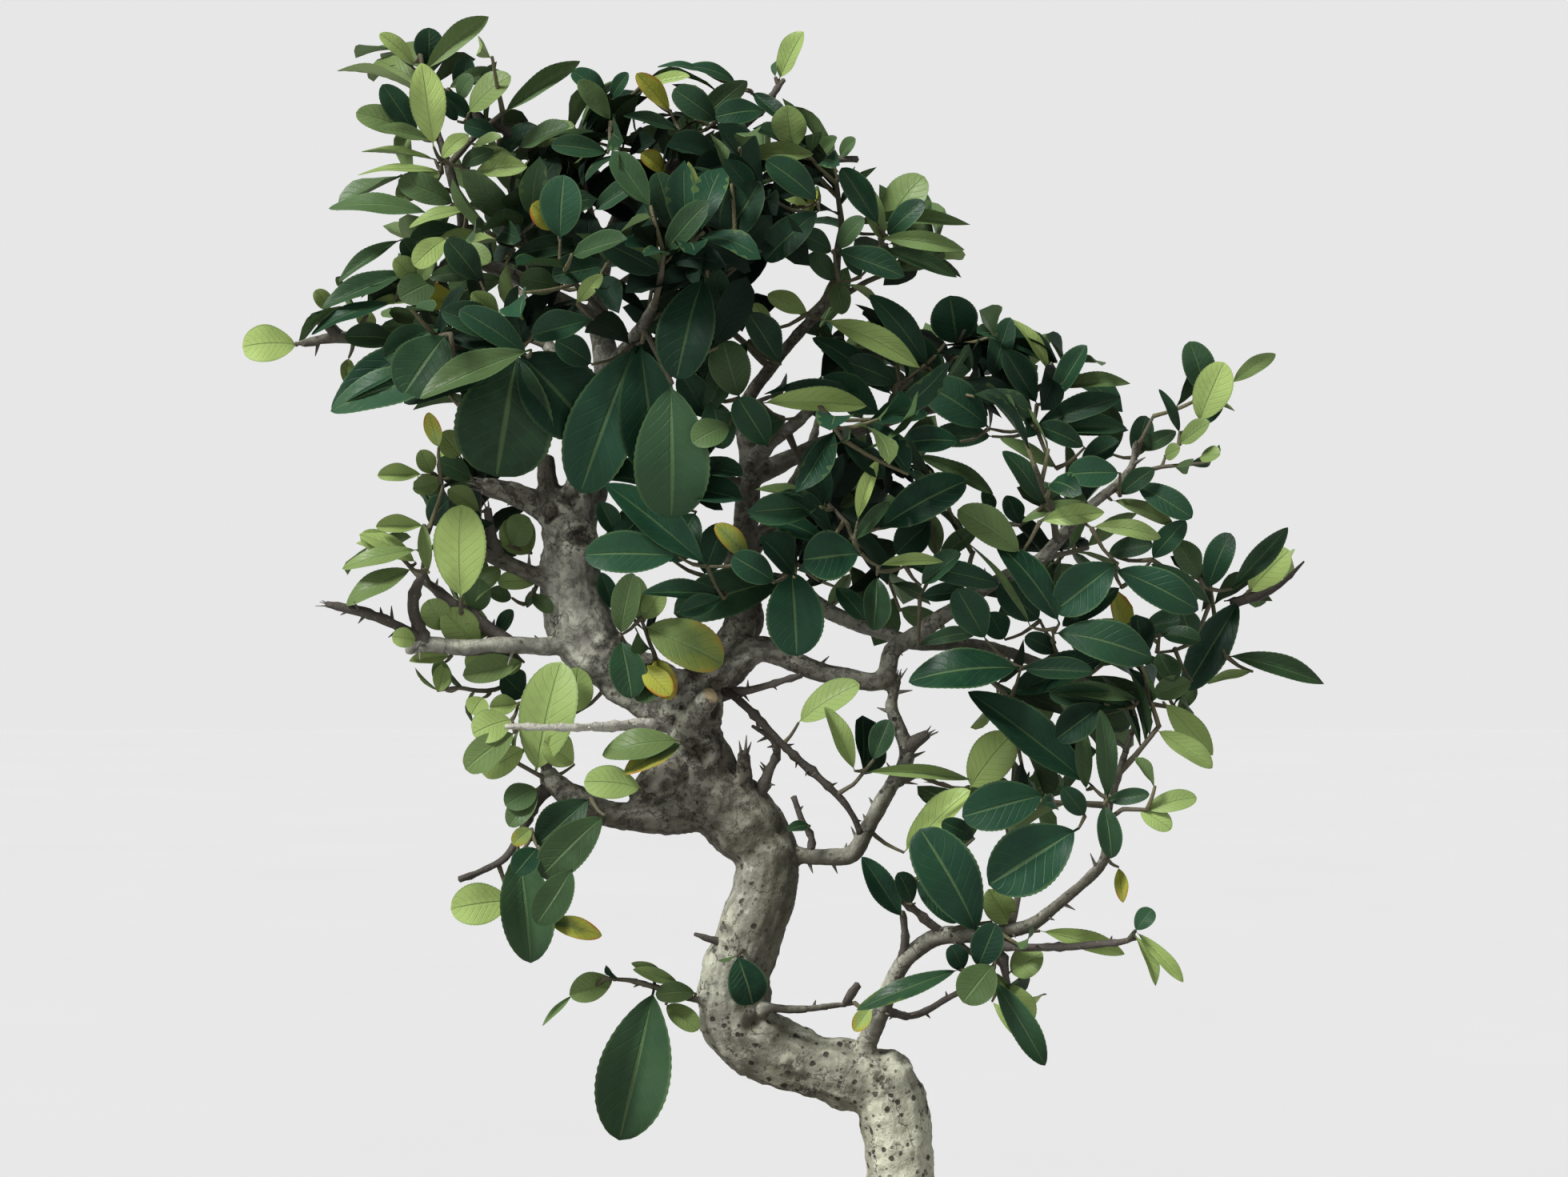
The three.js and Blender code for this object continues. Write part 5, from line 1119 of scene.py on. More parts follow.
# %% Leaves drawn singly
# [base x, base z, tip x, tip z, y, width, young, gold]; a green leaf leaves gold out, and an old one
# young too
PLACED = [
    # Top left shoots
    [-103, 351, -142, 341, -38, 13, 0.1], [-97, 430, -107, 439, -20, 5],
    [-102, 430, -107, 437, -22, 4], [-89, 425, -99.5, 429, -20, 6],
    [-90.5, 418.5, -77, 428, -14, 9], [-101.5, 437, -98, 444, -20, 6.5, 0.3],
    [-97, 422, -88.5, 425, -28, 5, 0.6], [-152, 360, -169, 360, -24, 11.5, 0.95, 0.1],
    [-60, 354, -71, 361.5, -36, 9], [-109.5, 422, -113, 448, -38, 10.5, 1],
    [-116, 426.5, -133.5, 433, -16, 8, 0.5], [-101, 438, -99, 450, -12, 7],
    [-107, 418, -99.5, 426, -26, 5, 0.8], [-101, 416, -91.5, 421, -26, 5, 0.2],
    [-107, 414, -121, 406, -20, 8, 0.5], [-111, 401, -142, 404.5, -26, 8.5, 0.3, 0.1],
    [-99.5, 402, -117, 398, -28, 5, 0.75], [-100, 396.5, -117, 393, -22, 6, 0.15],
    [-114.5, 385, -119, 393, -24, 7, 0.15], [-119.5, 393, -140, 380, -18, 5.5, 0.2, 0.15],
    [-117, 383, -144.5, 372, -24, 8.5, 0.15], [-115, 380, -121.5, 387, -30, 7, 0.7],
    [-114, 380, -110, 387, -30, 5, 0.5], [-111, 381, -97, 383, -28, 5, 0.2],
    [-113, 374, -130.5, 373, -22, 4.5, 0.8], [-122, 373, -148, 365, -28, 7],
    [-142, 371, -146, 377, -16, 5, 0.8], [-128.5, 365, -132, 371, -14, 5.5, 0.85],
    [-120, 361.5, -137, 363, -26, 8, 0.15], [-107, 366, -125, 356, -34, 9, 0.1],
    [-136, 356, -137, 348, -18, 4.5, 0.8], [-85, 362, -107, 371, -40, 9, 0.1],
    [-61, 392, -85.5, 388, -30, 7, 0.1], [-64.5, 373, -57.5, 382, -50, 4.5, 0.75, 0.2],
    [-70, 378, -82, 381, -34, 8, 0.3, 0.2], [-78, 422, -66, 429, -18, 7, 0.6],
    [-52.5, 423, -74.5, 425, -16, 4, 0.3], [-55, 436, -65.5, 446, -10, 7],
    [-54, 437, -49, 445, -10, 5], [-88, 432, -64, 449, -18, 5, 0.35],
    [-115.5, 448, -126, 457.5, -14, 5, 0.9], [-111, 447, -111, 459, -12, 9],
    [-114.5, 425.5, -125.5, 441.5, -16, 8], [-110, 424, -127, 428, -18, 5.5, 0.45],
    [-107, 414, -133, 414.5, -22, 4, 0.75], [-109, 418, -132, 421, -20, 3.5, 0.7],
    [-103, 404, -120, 412, -22, 8.5, 0.35], [-99, 402, -115.5, 399, -26, 5.5, 0.75],
    [-97, 414, -80.5, 416, -26, 6.5, 0.8], [-98.5, 432.5, -86, 444.5, -26, 11, 0.6],
    [-83, 421.5, -67, 428.5, -24, 8.5, 0.3], [-105, 440, -89, 446, -18, 4.5, 0.3],
    [-105, 393, -115, 385, -30, 7.5, 0.9], [-102.5, 390, -92, 386.5, -32, 7.5, 0.6],
    [-109, 380, -120, 375, -30, 10, 0.3],
    # Crown, front
    [-24.5, 337, -32, 351, -30, 9.5], [15.5, 380, 8.5, 388.5, -14, 6.5, 0.2],
    [24, 381.5, 19.5, 390, -14, 5, 0.1], [-11, 361.5, -25, 339, -30, 10, 0.15],
    [-1.5, 443, 6, 458, -4, 8.5, 0.8], [-24, 445, -39, 448, -12, 4], [-15, 442, -29.5, 448, -10, 6],
    [-11, 440, -24.5, 437, -14, 5.5, 0.2], [-30.5, 430, -27, 440, -20, 6, 0.45],
    [-32.5, 427, -50, 432, -26, 5.5, 0.1], [-10, 439, 0.5, 430, -12, 6],
    [10, 418.5, 16.5, 425, -10, 5, 0.3], [17.5, 419, 22, 424.5, -8, 5, 0.3],
    [31, 391.5, 24.5, 411.5, -14, 6.5, 0.5], [31, 395, 43, 413, -4, 13, 0.55],
    [32, 394, 43.5, 405, -16, 8], [32.5, 391.5, 47, 393, -14, 4, 0.5],
    [17, 390, 24.5, 400, -20, 7, 0.25], [15, 389, 5.5, 395, -20, 7, 0.1],
    [9, 402, 0, 406, -22, 3.5, 0.95], [8, 402, 10.5, 408, -22, 4, 0.8, 0.6],
    [-7, 341.5, 25.5, 341, -34, 6.5, 0.85], [0, 337, -12.5, 333, -36, 9, 0.1],
    [-17, 335, -28.5, 330, -42, 9.5, 0.35], [12, 368, 42.5, 354, -22, 7.5, 0.75],
    [34, 344, 10, 363, -18, 9, 0.03], [26, 345, -6, 346, -26, 5], [7.5, 370, -5, 376, -18, 6, 0.7],
    [-4.5, 365, -9, 373, -20, 4.5, 0.75], [-14, 343.5, -19, 361, -38, 12, 0.25],
    [-70, 393, -69, 413, -48, 12.5], [-70.5, 396.5, -78.5, 404, -44, 8.5, 0.2, 0.9],
    [-35.5, 433, -46, 445, -26, 5.5, 0.1, 0.95], [-37, 414, -44, 420, -32, 6, 0.1, 0.9],
    [-44, 441, -29.5, 444, -22, 5, 0.85], [-6, 433, -21, 432, -30, 8],
    [3, 421, 1, 435, -22, 10.5, 0.6], [-15, 419, 9, 420, -24, 5, 0.6],
    [10.5, 405, -5, 418, -34, 9.5], [-19, 392, -7.5, 411, -46, 12.5],
    [-34.5, 395, -39.5, 414, -48, 9.5, 0.1], [-27, 402, -29.5, 417, -50, 3.5, 1],
    [11, 402, -6, 387, -34, 10], [29.5, 397, 18, 415, -16, 7.5], [15.5, 389, 37.5, 381.5, -18, 8],
    [29.5, 393, 56, 390, -14, 5.5, 0.5], [29.5, 390, 54, 382, -12, 5, 0.2],
    [17, 380, 18, 370, -16, 6.5, 0.35], [-25, 381.5, -34, 350, -50, 16.5, 0],
    [-55, 385, -72.5, 381.5, -44, 9], [-59.5, 368, -79, 363, -48, 8.5],
    [-79, 358.5, -114, 344, -50, 11.5, 0.3], [-80, 356.5, -101, 371.5, -44, 9],
    [-19, 370, -22.5, 385, -44, 7, 0.1], [-1, 354, -11, 370, -36, 9],
    [-21, 430, -34, 440, -28, 8.5, 0.1], [-55, 420, -72.5, 423, -34, 6.5, 0.1],
    [-54, 430, -64, 443, -28, 6, 0.35], [-28, 426.5, -12.5, 443, -22, 6.5, 0.2],
    [-59.5, 402, -45, 411, -42, 7.5, 0.1], [-95, 380, -105, 393, -38, 9, 0.1],
    [-89, 369, -97.5, 376.5, -40, 6, 0.7],
    # Pad
    [45, 353, 28, 376, -14, 10], [65, 350, 70.5, 368.5, -14, 7.5],
    [83, 351, 72, 368.5, -8, 5.5, 0.85], [84, 343, 94.5, 360, -16, 8],
    [79, 341.5, 69, 358.5, -20, 8], [83, 346, 108, 349, -16, 4.5, 0.35],
    [78, 334.5, 105, 344, -20, 7], [79, 334, 107, 334.5, -18, 5.5, 0.1],
    [64, 334, 45, 348, -26, 13, 0], [50, 350, 37, 363, -10, 7.5], [35, 348, 20, 355, -20, 8.5],
    [30, 338, 12.5, 350, -24, 10], [65, 331.5, 46, 331.5, -10, 7.5, 0.1],
    # Right
    [42.5, 281.5, 57, 283, -28, 6.5], [16, 284.5, 25, 275, -24, 6.5],
    [105.5, 284.5, 87.5, 273, -30, 7], [94.5, 221, 93, 240, -30, 5, 0.3],
    [104.5, 197, 106, 186, -28, 4, 0.9, 0.9], [100.5, 218, 113.5, 220, -30, 5, 0.1],
    [118.5, 248.5, 134, 232, 14, 8, 0.75], [127.5, 255, 116, 251, -16, 7, 0.3],
    [116.5, 264, 122, 255, -14, 8, 0.2], [69, 268, 64, 276.5, -20, 8, 0.03],
    [85, 264, 76, 269, -28, 6, 0.03], [101, 295, 115, 298, -12, 7, 0.1],
    [92.5, 323, 104.5, 330, -10, 8], [79, 334, 107.5, 334, -14, 6],
    [102.5, 326, 101.5, 341, -8, 8, 0.2], [110, 325, 113, 337.5, -10, 7, 0.1],
    [111, 327, 122, 333, -14, 5, 0.2], [129.5, 336, 137.5, 354.5, -26, 11, 0.9],
    [140, 348, 153, 357.5, -24, 4.5, 0.5], [130, 335, 137, 343, -22, 5, 0.1],
    [119, 325, 123.5, 328, -22, 5, 0.6], [102.5, 311.5, 121.5, 305, -20, 4, 0.5],
    [85, 321.5, 68.5, 331, -22, 5, 0.45], [130, 287, 122.5, 299, -14, 7.5, 0.25],
    [138, 263, 169, 255, 4, 6.5, 0.15], [146.5, 258, 132.5, 254.5, 2, 4, 0.6],
    [112.5, 272, 124, 274, -14, 8, 0.1], [127.5, 267, 124.5, 277, -12, 8, 0.1],
    [133, 279, 116, 292, -18, 6, 0.1], [109, 247, 83, 251, -30, 7, 0.1],
    [46, 305, 35, 295, -30, 10, 0.02], [29.5, 291, 49.5, 293, -44, 3.5, 0.7],
    [38, 291, 67, 286, -40, 6.5, 0.02], [22, 299, 33, 311, -48, 5, 0.15],
    [48, 293, 60.5, 303, -36, 5.5, 0.2], [77, 272, 59.5, 298, -42, 3.5, 0.35],
    [74, 259, 39.5, 256.5, -36, 14, 0.02], [94.5, 311, 75, 306, -26, 5, 0.5],
    [74, 304, 69.5, 313, -24, 6, 0.02], [42, 266, 59.5, 271, -34, 4, 0.1],
    [80, 274, 67.5, 285, -28, 10, 0.03], [47.5, 294, 46, 307, -24, 5.5, 0.4],
    [39.5, 326, 65.5, 314, -20, 4, 0.3], [65, 306.5, 62.5, 315, -18, 4],
    [123.5, 332.5, 118, 346, -18, 4, 0.1], [132, 344, 127, 361, -20, 9.5, 0.15],
    [123.5, 329, 133, 336, -24, 6.5, 0.6], [130, 325, 136, 326, -26, 6, 0.6],
    [105, 320, 89, 320, -34, 9.5], [110, 316.5, 127.5, 306.5, -24, 8.5],
    [80, 305, 100, 308, -36, 6, 0.75], [81, 310, 69.5, 327, -32, 8, 0.1],
    [96, 303, 117.5, 301, -30, 4.5, 0.7], [74, 295, 55, 309, -40, 11, 0.45],
    [23, 305, 29, 324.5, -50, 4.5, 1], [30, 303, 56.5, 318, -46, 13, 0],
    [86, 273, 68, 298.5, -38, 11.5, 0], [104, 292, 84.5, 277, -34, 13.5, 0],
    [103, 290, 129.5, 278, -32, 10.5, 0], [132.5, 284, 139, 301, -6, 9],
    [140, 284, 157.5, 303, -4, 7, 0.1], [84, 270, 115, 263.5, -36, 12],
    [74, 259, 96.5, 258, -34, 7.5], [63, 268, 54, 284, -36, 10.5], [29, 288, 28, 271, -42, 9, 0.1],
    [24, 295, 6, 293, -44, 14.5, 0], [115, 293, 125, 305, -20, 7],
    [117.5, 270, 130, 268, -20, 6.5, 0.1], [94, 328, 80, 335, -28, 7],
    [105, 313, 115, 321.5, -24, 6, 0.1], [55, 330, 37.5, 330, -36, 8.5, 0],
    [42.5, 285, 55, 295, -40, 8.5, 0.1],
    # Lower right
    [41, 193, 54.5, 180, -30, 8], [59.5, 206, 50, 211, -30, 6], [-44, 274.5, -38, 283, -18, 7, 0.7],
    [-19, 281, -32.5, 276.5, -26, 6], [4.5, 242, 23, 254.5, -20, 10.5, 0.75],
    [22, 227, 13, 247, -24, 7, 0.85], [8, 210, 1.5, 209, -12, 4, 0.1],
    [27, 153, 22, 146, -30, 5, 0.9, 0.5], [65, 155, 76.5, 142, -24, 4, 0.8],
    [81.5, 219.5, 56, 213, -40, 14, 0], [92, 209, 64, 191.5, -44, 19, 0],
    [100, 216.5, 102.5, 200, -42, 7.5, 0.1], [101, 218, 99.5, 245.5, -36, 7, 0.2],
    [94, 213, 87.5, 221.5, -42, 6.5], [60.5, 176, 43.5, 208.5, -38, 17, 0],
    [37, 181, 24.5, 200, -30, 8, 0], [40, 185.5, 36, 195, -34, 7], [71, 178, 64, 190, -22, 9, 0.85],
    [60.5, 165.5, 66, 179, -40, 9.5, 0], [65.5, 166.5, 56, 155, -42, 11.5, 0.3],
    [70.5, 164, 80.5, 170, -30, 10, 0.65], [67.5, 161, 77.5, 148.5, -30, 9, 0.75, 0.2],
    [55, 165, 23, 153, -38, 6.5, 0.1, 0.35], [56, 165, 52.5, 172, -36, 6.5, 0],
    [80, 177, 106.5, 170, -22, 5.5, 0.8], [100, 248, 85, 237, -34, 10, 0],
    [111, 249, 83.5, 253, -30, 6.5, 0.3], [37.5, 201.5, 58, 221, -14, 11, 0.9],
    [58, 221.5, 70.5, 238, -10, 13.5, 0.85], [96.5, 222, 58, 252, -30, 14, 0],
    # Left
    [-52, 300, -57.5, 311, -14, 6.5], [-36, 160.5, -47.5, 167, -8, 5, 0.5],
    [-108, 328, -111, 339, -30, 5, 0.9, 0.6], [-53, 277, -57, 289, -4, 5.5],
    [-81, 261, -100, 257, -8, 8, 0.5], [-33, 294, -62, 295, -38, 12.5],
    [-85, 281, -92, 283, -2, 5, 0.3], [-78, 282, -72.5, 277, 0, 5, 0.3],
    [-81, 250, -88, 257, -4, 10], [-77, 203, -84, 195, -32, 8, 0.03],
    [-44.5, 221.5, -62, 224, -18, 10, 0.8], [-77, 221, -86, 210, -18, 7.5, 0.35],
    [-60.5, 218.5, -77, 204, -18, 11.5, 0.12], [-56, 213, -76, 194.5, -30, 12.5, 0.2],
    [-83, 204, -79, 167, -24, 16, 0.18], [-66, 196.5, -77, 179.5, -36, 10.5, 0.2],
    [-79, 209, -84.5, 204.5, -24, 5, 0.8, 0.5], [-85, 186.5, -104, 184, -20, 12.5, 0.9],
    [-74, 180, -57.5, 176, -22, 6, 0.05, 0.6], [-53, 162, -67, 157, -12, 8.5, 0.55],
    [-66, 157, -75.5, 147.5, -12, 2.5, 0.4], [-33, 161, -47, 165, -10, 4.5, 0.6],
    [-27.5, 158, -39.5, 158, -6, 6.5, 0.3, 0.3], [-37, 154, -27, 146.5, -8, 7, 0.6],
    [-110, 320, -113.5, 327, -14, 6, 0.7], [-107, 317, -115.5, 315, -16, 6, 0.5],
    [-120, 295, -132, 301, -18, 7, 0.85], [-111, 289, -113, 304, -26, 4, 0.6],
    [-111, 304, -105, 312, -8, 9], [-85, 297.5, -80, 306, 0, 10, 0.5],
    [-95.5, 276.5, -95, 286.5, -6, 8, 0.3], [-81, 279, -77, 281.5, 0, 5, 0.3],
    [-106, 271, -111, 280, -12, 9, 0.7], [-95, 265, -105.5, 277, -6, 11, 0.8],
    [-95, 267, -92, 256.5, -8, 12, 0.8], [-85, 265, -87, 257, -4, 8, 0.8],
    [-89.5, 270, -85, 277, -6, 5, 0.1], [-115, 268, -122, 269, -24, 6, 0.9, 0.1],
    [-106, 252, -108, 262, -14, 6, 0.4], [-65, 245, -64.5, 259, -6, 11, 0.75],
    [-101, 325, -107, 332.5, -16, 8, 0.7], [-113, 319.5, -127, 319.5, -16, 5, 0.8],
    [-107, 318, -115.5, 315, -16, 5.5, 0.8], [-112.5, 303.5, -127.5, 303.5, -20, 5, 0.8],
    [-115, 292, -132, 301.5, -20, 7, 0.8], [-114, 296, -137.5, 291, -22, 6, 0.6],
    [-116, 290, -137, 280, -26, 8.5, 0.45], [-101, 278.5, -89.5, 290, -8, 8.5, 0.5],
    [-79, 295, -87.5, 305, 2, 11.5, 0.7], [-77, 286, -89, 286.5, -4, 6, 0.7],
    [-91, 270, -106, 276, -6, 11, 0.85], [-104, 263, -117, 261.5, -16, 5, 0.8],
    [-85, 265, -99, 259, -8, 11, 0.85], [-106, 261, -108, 252, -14, 5.5, 0.8],
    [-94, 250, -97.5, 245, -16, 7, 0.9], [-83, 248, -92, 247, -14, 6, 0.9],
    [-85, 243, -97, 239, -20, 10.5, 0.85], [-84, 239, -99.5, 228, -22, 9.5, 0.5],
    [-81, 234, -94, 226.5, -18, 8.5, 0.85], [-65.5, 229, -75, 236.5, -14, 10, 0.9],
    [-77, 221.5, -87, 216.5, -18, 8.5, 0.3], [-51, 268, -47.5, 250, -18, 11, 0.1],
    [-44, 260, -35.5, 251, -16, 7.5, 0.2, 1], [-51, 269.5, -47.5, 288.5, -20, 9, 0.3],
    [-11, 293, -21, 304, -34, 6.5, 0.7, 0.55], [-3, 286, -15.5, 294, -36, 9, 0],
    [-24, 291, -55.5, 317, -32, 13, 0], [-18, 282, -44, 283, -24, 7.5],
    [-27.5, 308, -36, 293, -28, 12.5], [-70, 273, -60.5, 285, 4, 7.5, 0.1],
    [-95, 308, -105, 315, -10, 6.5, 0.6], [-97.5, 318, -108, 324, -14, 7, 0.2],
    [-35, 293, -45, 305, -10, 10], [-25, 288, -19, 304, -12, 10],
    [-22.5, 343, -19, 328, -34, 10, 0.1], [-5, 328, -14, 343, -36, 10],
]
OLD_AND_GREEN = [0.05, 0]
print(len(PLACED), "leaves drawn singly")

# %% [markdown]
# Side shoots leave the stem in a spiral. Each turn is rolled once from the spray's number, and where
# the shoot would break the outline it bends aside.


# %% How a spray grows
GOLDEN_ANGLE = 2.39996
UP = np.array([0, 0, 1.0])
SHOOT_BENDS = (0, 0.8, -0.8, 1.6, -1.6, 2.4, -2.4)


def radial(axis, angle):
    """A direction square to an axis, turned about it."""
    side = np.array([0.31, -0.87, 0.38])
    side = unit(side - axis * side.dot(axis))
    return side * math.cos(angle) + np.cross(axis, side) * math.sin(angle)


def point_along(path, part):
    """The point a part of the way along a path, from 0 to 1."""
    spot = min(part, 0.9999) * (len(path) - 1)
    k = int(spot)
    return path[k] + (path[k + 1] - path[k]) * (spot - k)


def on_limb(points, at):
    """Where a stem leaves its limb: at 2.5, midway from point 2 to point 3."""
    k = min(int(at), len(points) - 2)
    low, high = np.array(points[k][:3], float), np.array(points[k + 1][:3], float)
    return low + (high - low) * (at - k)


def inside_outline(x, z):
    inside = False
    for (x1, z1), (x2, z2) in zip(OUTLINE, OUTLINE[1:] + OUTLINE[:1]):
        if (z1 > z) != (z2 > z) and x < x1 + (x2 - x1) * (z - z1) / (z2 - z1):
            inside = not inside
    return inside


def in_clearing(x, z):
    return any(((x - cx) / wide) ** 2 + ((z - cz) / high) ** 2 < 1 for cx, cz, wide, high in CLEARINGS)


def keeps_form(base, tip, side=np.zeros(3)):
    """Whether a leaf or shoot keeps to the outline and leaves the openings open."""
    middle = base + (tip - base) * 0.6
    spots = [seen(spot) for spot in (tip, middle + side, middle - side)]
    return all(inside_outline(*spot) and not in_clearing(*spot) for spot in spots)


def grow_stem(limb, at, points, size):
    stem = [place(point) for point in [on_limb(LIMBS[limb], at), *points]]
    stem[-1] = stem[-1] + unit(stem[-1] - stem[-2]) * size * 0.25
    return stem


def grow_shoots(stem, side_shoots, size, seed):
    """The stem's own leafy end, then its side shoots: (from, to, axis) of each."""
    heading = unit(stem[-1] - stem[-2])
    shoots = [(point_along(stem, 0.4), stem[-1], heading)]
    for s in range(1, side_shoots + 1):
        start = point_along(stem, 0.5 + 0.45 * s / side_shoots)
        for bend in SHOOT_BENDS:
            turn = s * GOLDEN_ANGLE + chance(seed, s) * 2 * math.pi + bend
            axis = unit(heading * 0.55 + radial(heading, turn) * 0.85 + UP * 0.25)
            end = start + axis * size * (0.6 + 0.5 * chance(seed, s + 20))
            if keeps_form(start, end):
                shoots.append((start, end, axis))
                break
    return shoots


print("from one shoot to the next", round(math.degrees(GOLDEN_ANGLE), 1), "degrees")

# %% [markdown]
# Leaves are thin, and real ones never pass through each other. So each blade is first tried as a
# kite of two triangles: where one of its edges would cut a kite that stands already, or the wood, it
# is turned round its shoot, and where no turn is free it is left out.


# %% Leaves that keep clear of each other
class Stand:
    """The kites of the leaves that stand, and the test whether a new one is free."""

    EDGES = ([0, 1, 2, 3, 0], [1, 2, 3, 0, 2])
    HALVES = ([0, 1, 2], [0, 2, 3])
    LONGEST = 26

    def __init__(self):
        self.kites = np.empty((0, 4, 3))

    @staticmethod
    def kite(base, tip, width, normal):
        along = tip - base
        across = np.cross(unit(along), normal) * width * 0.40
        middle = base + along * 0.55 + normal * np.linalg.norm(along) * 0.035
        start = base + along * 0.14
        return np.array([start, middle - across, tip - along * 0.03, middle + across])

    @staticmethod
    def crosses(starts, ends, triangles):
        """Whether any of the segments passes through any of the triangles."""
        a = triangles[:, None, 0]
        e1, e2 = triangles[:, None, 1] - a, triangles[:, None, 2] - a
        way = (ends - starts)[None]
        h = np.cross(way, e2)
        det = (e1 * h).sum(-1)
        det = np.where(np.abs(det) < 1e-9, 1e-9, det)
        s = starts[None] - a
        u = (s * h).sum(-1) / det
        q = np.cross(s, e1)
        v = (way * q).sum(-1) / det
        t = (e2 * q).sum(-1) / det
        return bool(((u > 0) & (v > 0) & (u + v < 1) & (t > 0) & (t < 1)).any())

    def free(self, kite):
        """Whether a new kite crosses neither its neighbours nor the wood."""
        first, then = self.EDGES
        centre = kite.mean(0)
        reach = np.linalg.norm(kite - centre, axis=1).max() + self.LONGEST
        near = self.kites[np.linalg.norm(self.kites.mean(1) - centre, axis=1) < reach]
        if len(near):
            if any(self.crosses(kite[first], kite[then], near[:, half]) for half in self.HALVES):
                return False
            starts, ends = near[:, first].reshape(-1, 3), near[:, then].reshape(-1, 3)
            if self.crosses(starts, ends, kite[list(self.HALVES)]):
                return False
        for start, end in zip(first, then):
            way = Vector(kite[end] - kite[start])
            if wood_tree.ray_cast(Vector(kite[start]), way.normalized(), way.length)[0] is not None:
                return False
        return True

    def add(self, kite):
        self.kites = np.concatenate([self.kites, kite[None]])


def leaf_frame(base, tip, face):
    """The way along a leaf, and the one its upper side faces."""
    along = unit(tip - base)
    face = np.asarray(face, float)
    return along, unit(face - along * face.dot(along))


stand = Stand()
print("kites have", len(Stand.EDGES[0]), "edges that must be clear")

# %% [markdown]
# Leaves are lighter on young shoots: at the ends of stems, and in whole places that the photograph
# shows pale. And a leaf grown by rule stays out of sight where a drawn leaf or a bare limb shows.


# %% Young leaves, and leaves that would hide others
# Where the leaves are young and light: [x, z, radius, how much]
YOUNG_PLACES = [
    [-118, 440, 38, 0.75], [-135, 405, 30, 0.55], [-125, 285, 34, 0.7], [-95, 245, 34, 0.75],
    [60, 400, 30, 0.3], [140, 345, 25, 0.4], [158, 290, 16, 0.4], [75, 150, 24, 0.55],
    [115, 222, 18, 0.6], [10, 445, 25, 0.35], [-60, 440, 24, 0.25], [-120, 360, 20, 0.3],
    [60, 235, 22, 0.5],
]
TIP_STARTS, TIP_YOUTH = 0.72, 0.5
RARELY = 0.96


def youth(point, part, roll):
    """How young a leaf is, by its place in the tree and along its shoot."""
    x, z = seen(point)
    here = max(much * math.exp(-((x - cx) ** 2 + (z - cz) ** 2) / radius ** 2)
               for cx, cz, radius, much in YOUNG_PLACES)
    tip = max(0.0, part - TIP_STARTS) / 0.28 * TIP_YOUTH * roll
    return min(1.0, here * (0.55 + 0.7 * roll) + tip + (0.5 if roll > RARELY else 0))


class Front:
    """What the photograph shows plainly, as ovals in its plane: nothing may stand before it."""

    def __init__(self):
        self.rows = []

    def add(self, base, tip, width):
        (x1, z1), (x2, z2) = seen(base), seen(tip)
        run = max(math.hypot(x2 - x1, z2 - z1), 1)
        self.rows.append([(x1 + x2) / 2, (z1 + z2) / 2, (x2 - x1) / run, (z2 - z1) / run,
                          run / 2, width / 2, (base[1] + tip[1]) / 2])

    def hidden_by(self, base, tip):
        rows = np.array(self.rows)
        for part in (0.25, 0.6, 0.95):
            spot = base + (tip - base) * part
            dx, dz = seen(spot)[0] - rows[:, 0], seen(spot)[1] - rows[:, 1]
            along = (dx * rows[:, 2] + dz * rows[:, 3]) / rows[:, 4]
            across = (dx * rows[:, 3] - dz * rows[:, 2]) / (rows[:, 5] + 1)
            if ((along ** 2 + across ** 2 < 1) & (rows[:, 6] > spot[1])).any():
                return True
        return False


front = Front()
for name, (first, last) in SHOWN.items():
    line = placed_limb(LIMBS[name][first:last + 1], 6.0)
    for low, high in zip(line, line[1:]):
        front.add(low[:3], high[:3], low[3] * 2 + 3)
print(len(front.rows), "stretches of bare limb kept in view")

# %% [markdown]
# The stems go first, with the chosen leaves on them. A shoot is drawn later only as far as its last
# leaf, so each leaf notes how far its shoot has to reach.

# %% Stems and chosen leaves
FACES = {"F": (0, -1, 0.35), "T": (-0.2, -0.3, 1)}
leaves, reach = [], {}


def set_leaf(spray, base, tip, width, normal, young, gold, fine=True):
    """A leaf takes its place. A fine one stands out, and gets the better blade."""
    stand.add(stand.kite(base, tip, width, normal))
    slimmer = 1 if fine else 1 - 0.2 * young
    leaves.append({"spray": spray, "base": base, "tip": tip, "width": width * slimmer,
                   "normal": normal, "young": young, "gold": gold, "fine": fine})


def grown(seed, nth, part):
    """A shoot is grown as far as its last leaf."""
    reach[seed, nth] = max(reach.get((seed, nth), 0), part)


shoots_of = []
for seed, (name, limb, at, points, side_shoots, count, size, chosen) in enumerate(SPRAYS):
    stem = grow_stem(limb, at, points, size)
    shoots_of.append((stem, grow_shoots(stem, side_shoots, size, seed)))
    for part, tip, width, face, young, gold in chosen:
        base, tip = point_along(stem, part), place(tip)
        set_leaf(seed, base, tip, width, leaf_frame(base, tip, FACES[face])[1], young, gold)
        front.add(base, tip, width)
        grown(seed, 0, part)
print(sum(len(shoots) for _, shoots in shoots_of), "shoots,", len(leaves), "chosen leaves")

# %% [markdown]
# Each drawn leaf then looks for the nearest wood, stem or stalk, and gets its own stalk from there:
# the nearest leaf first, so that the next one can hang on its stalk. Where another leaf is in its
# way, it moves a few millimetres nearer to the eye or further off, which hardly shows.

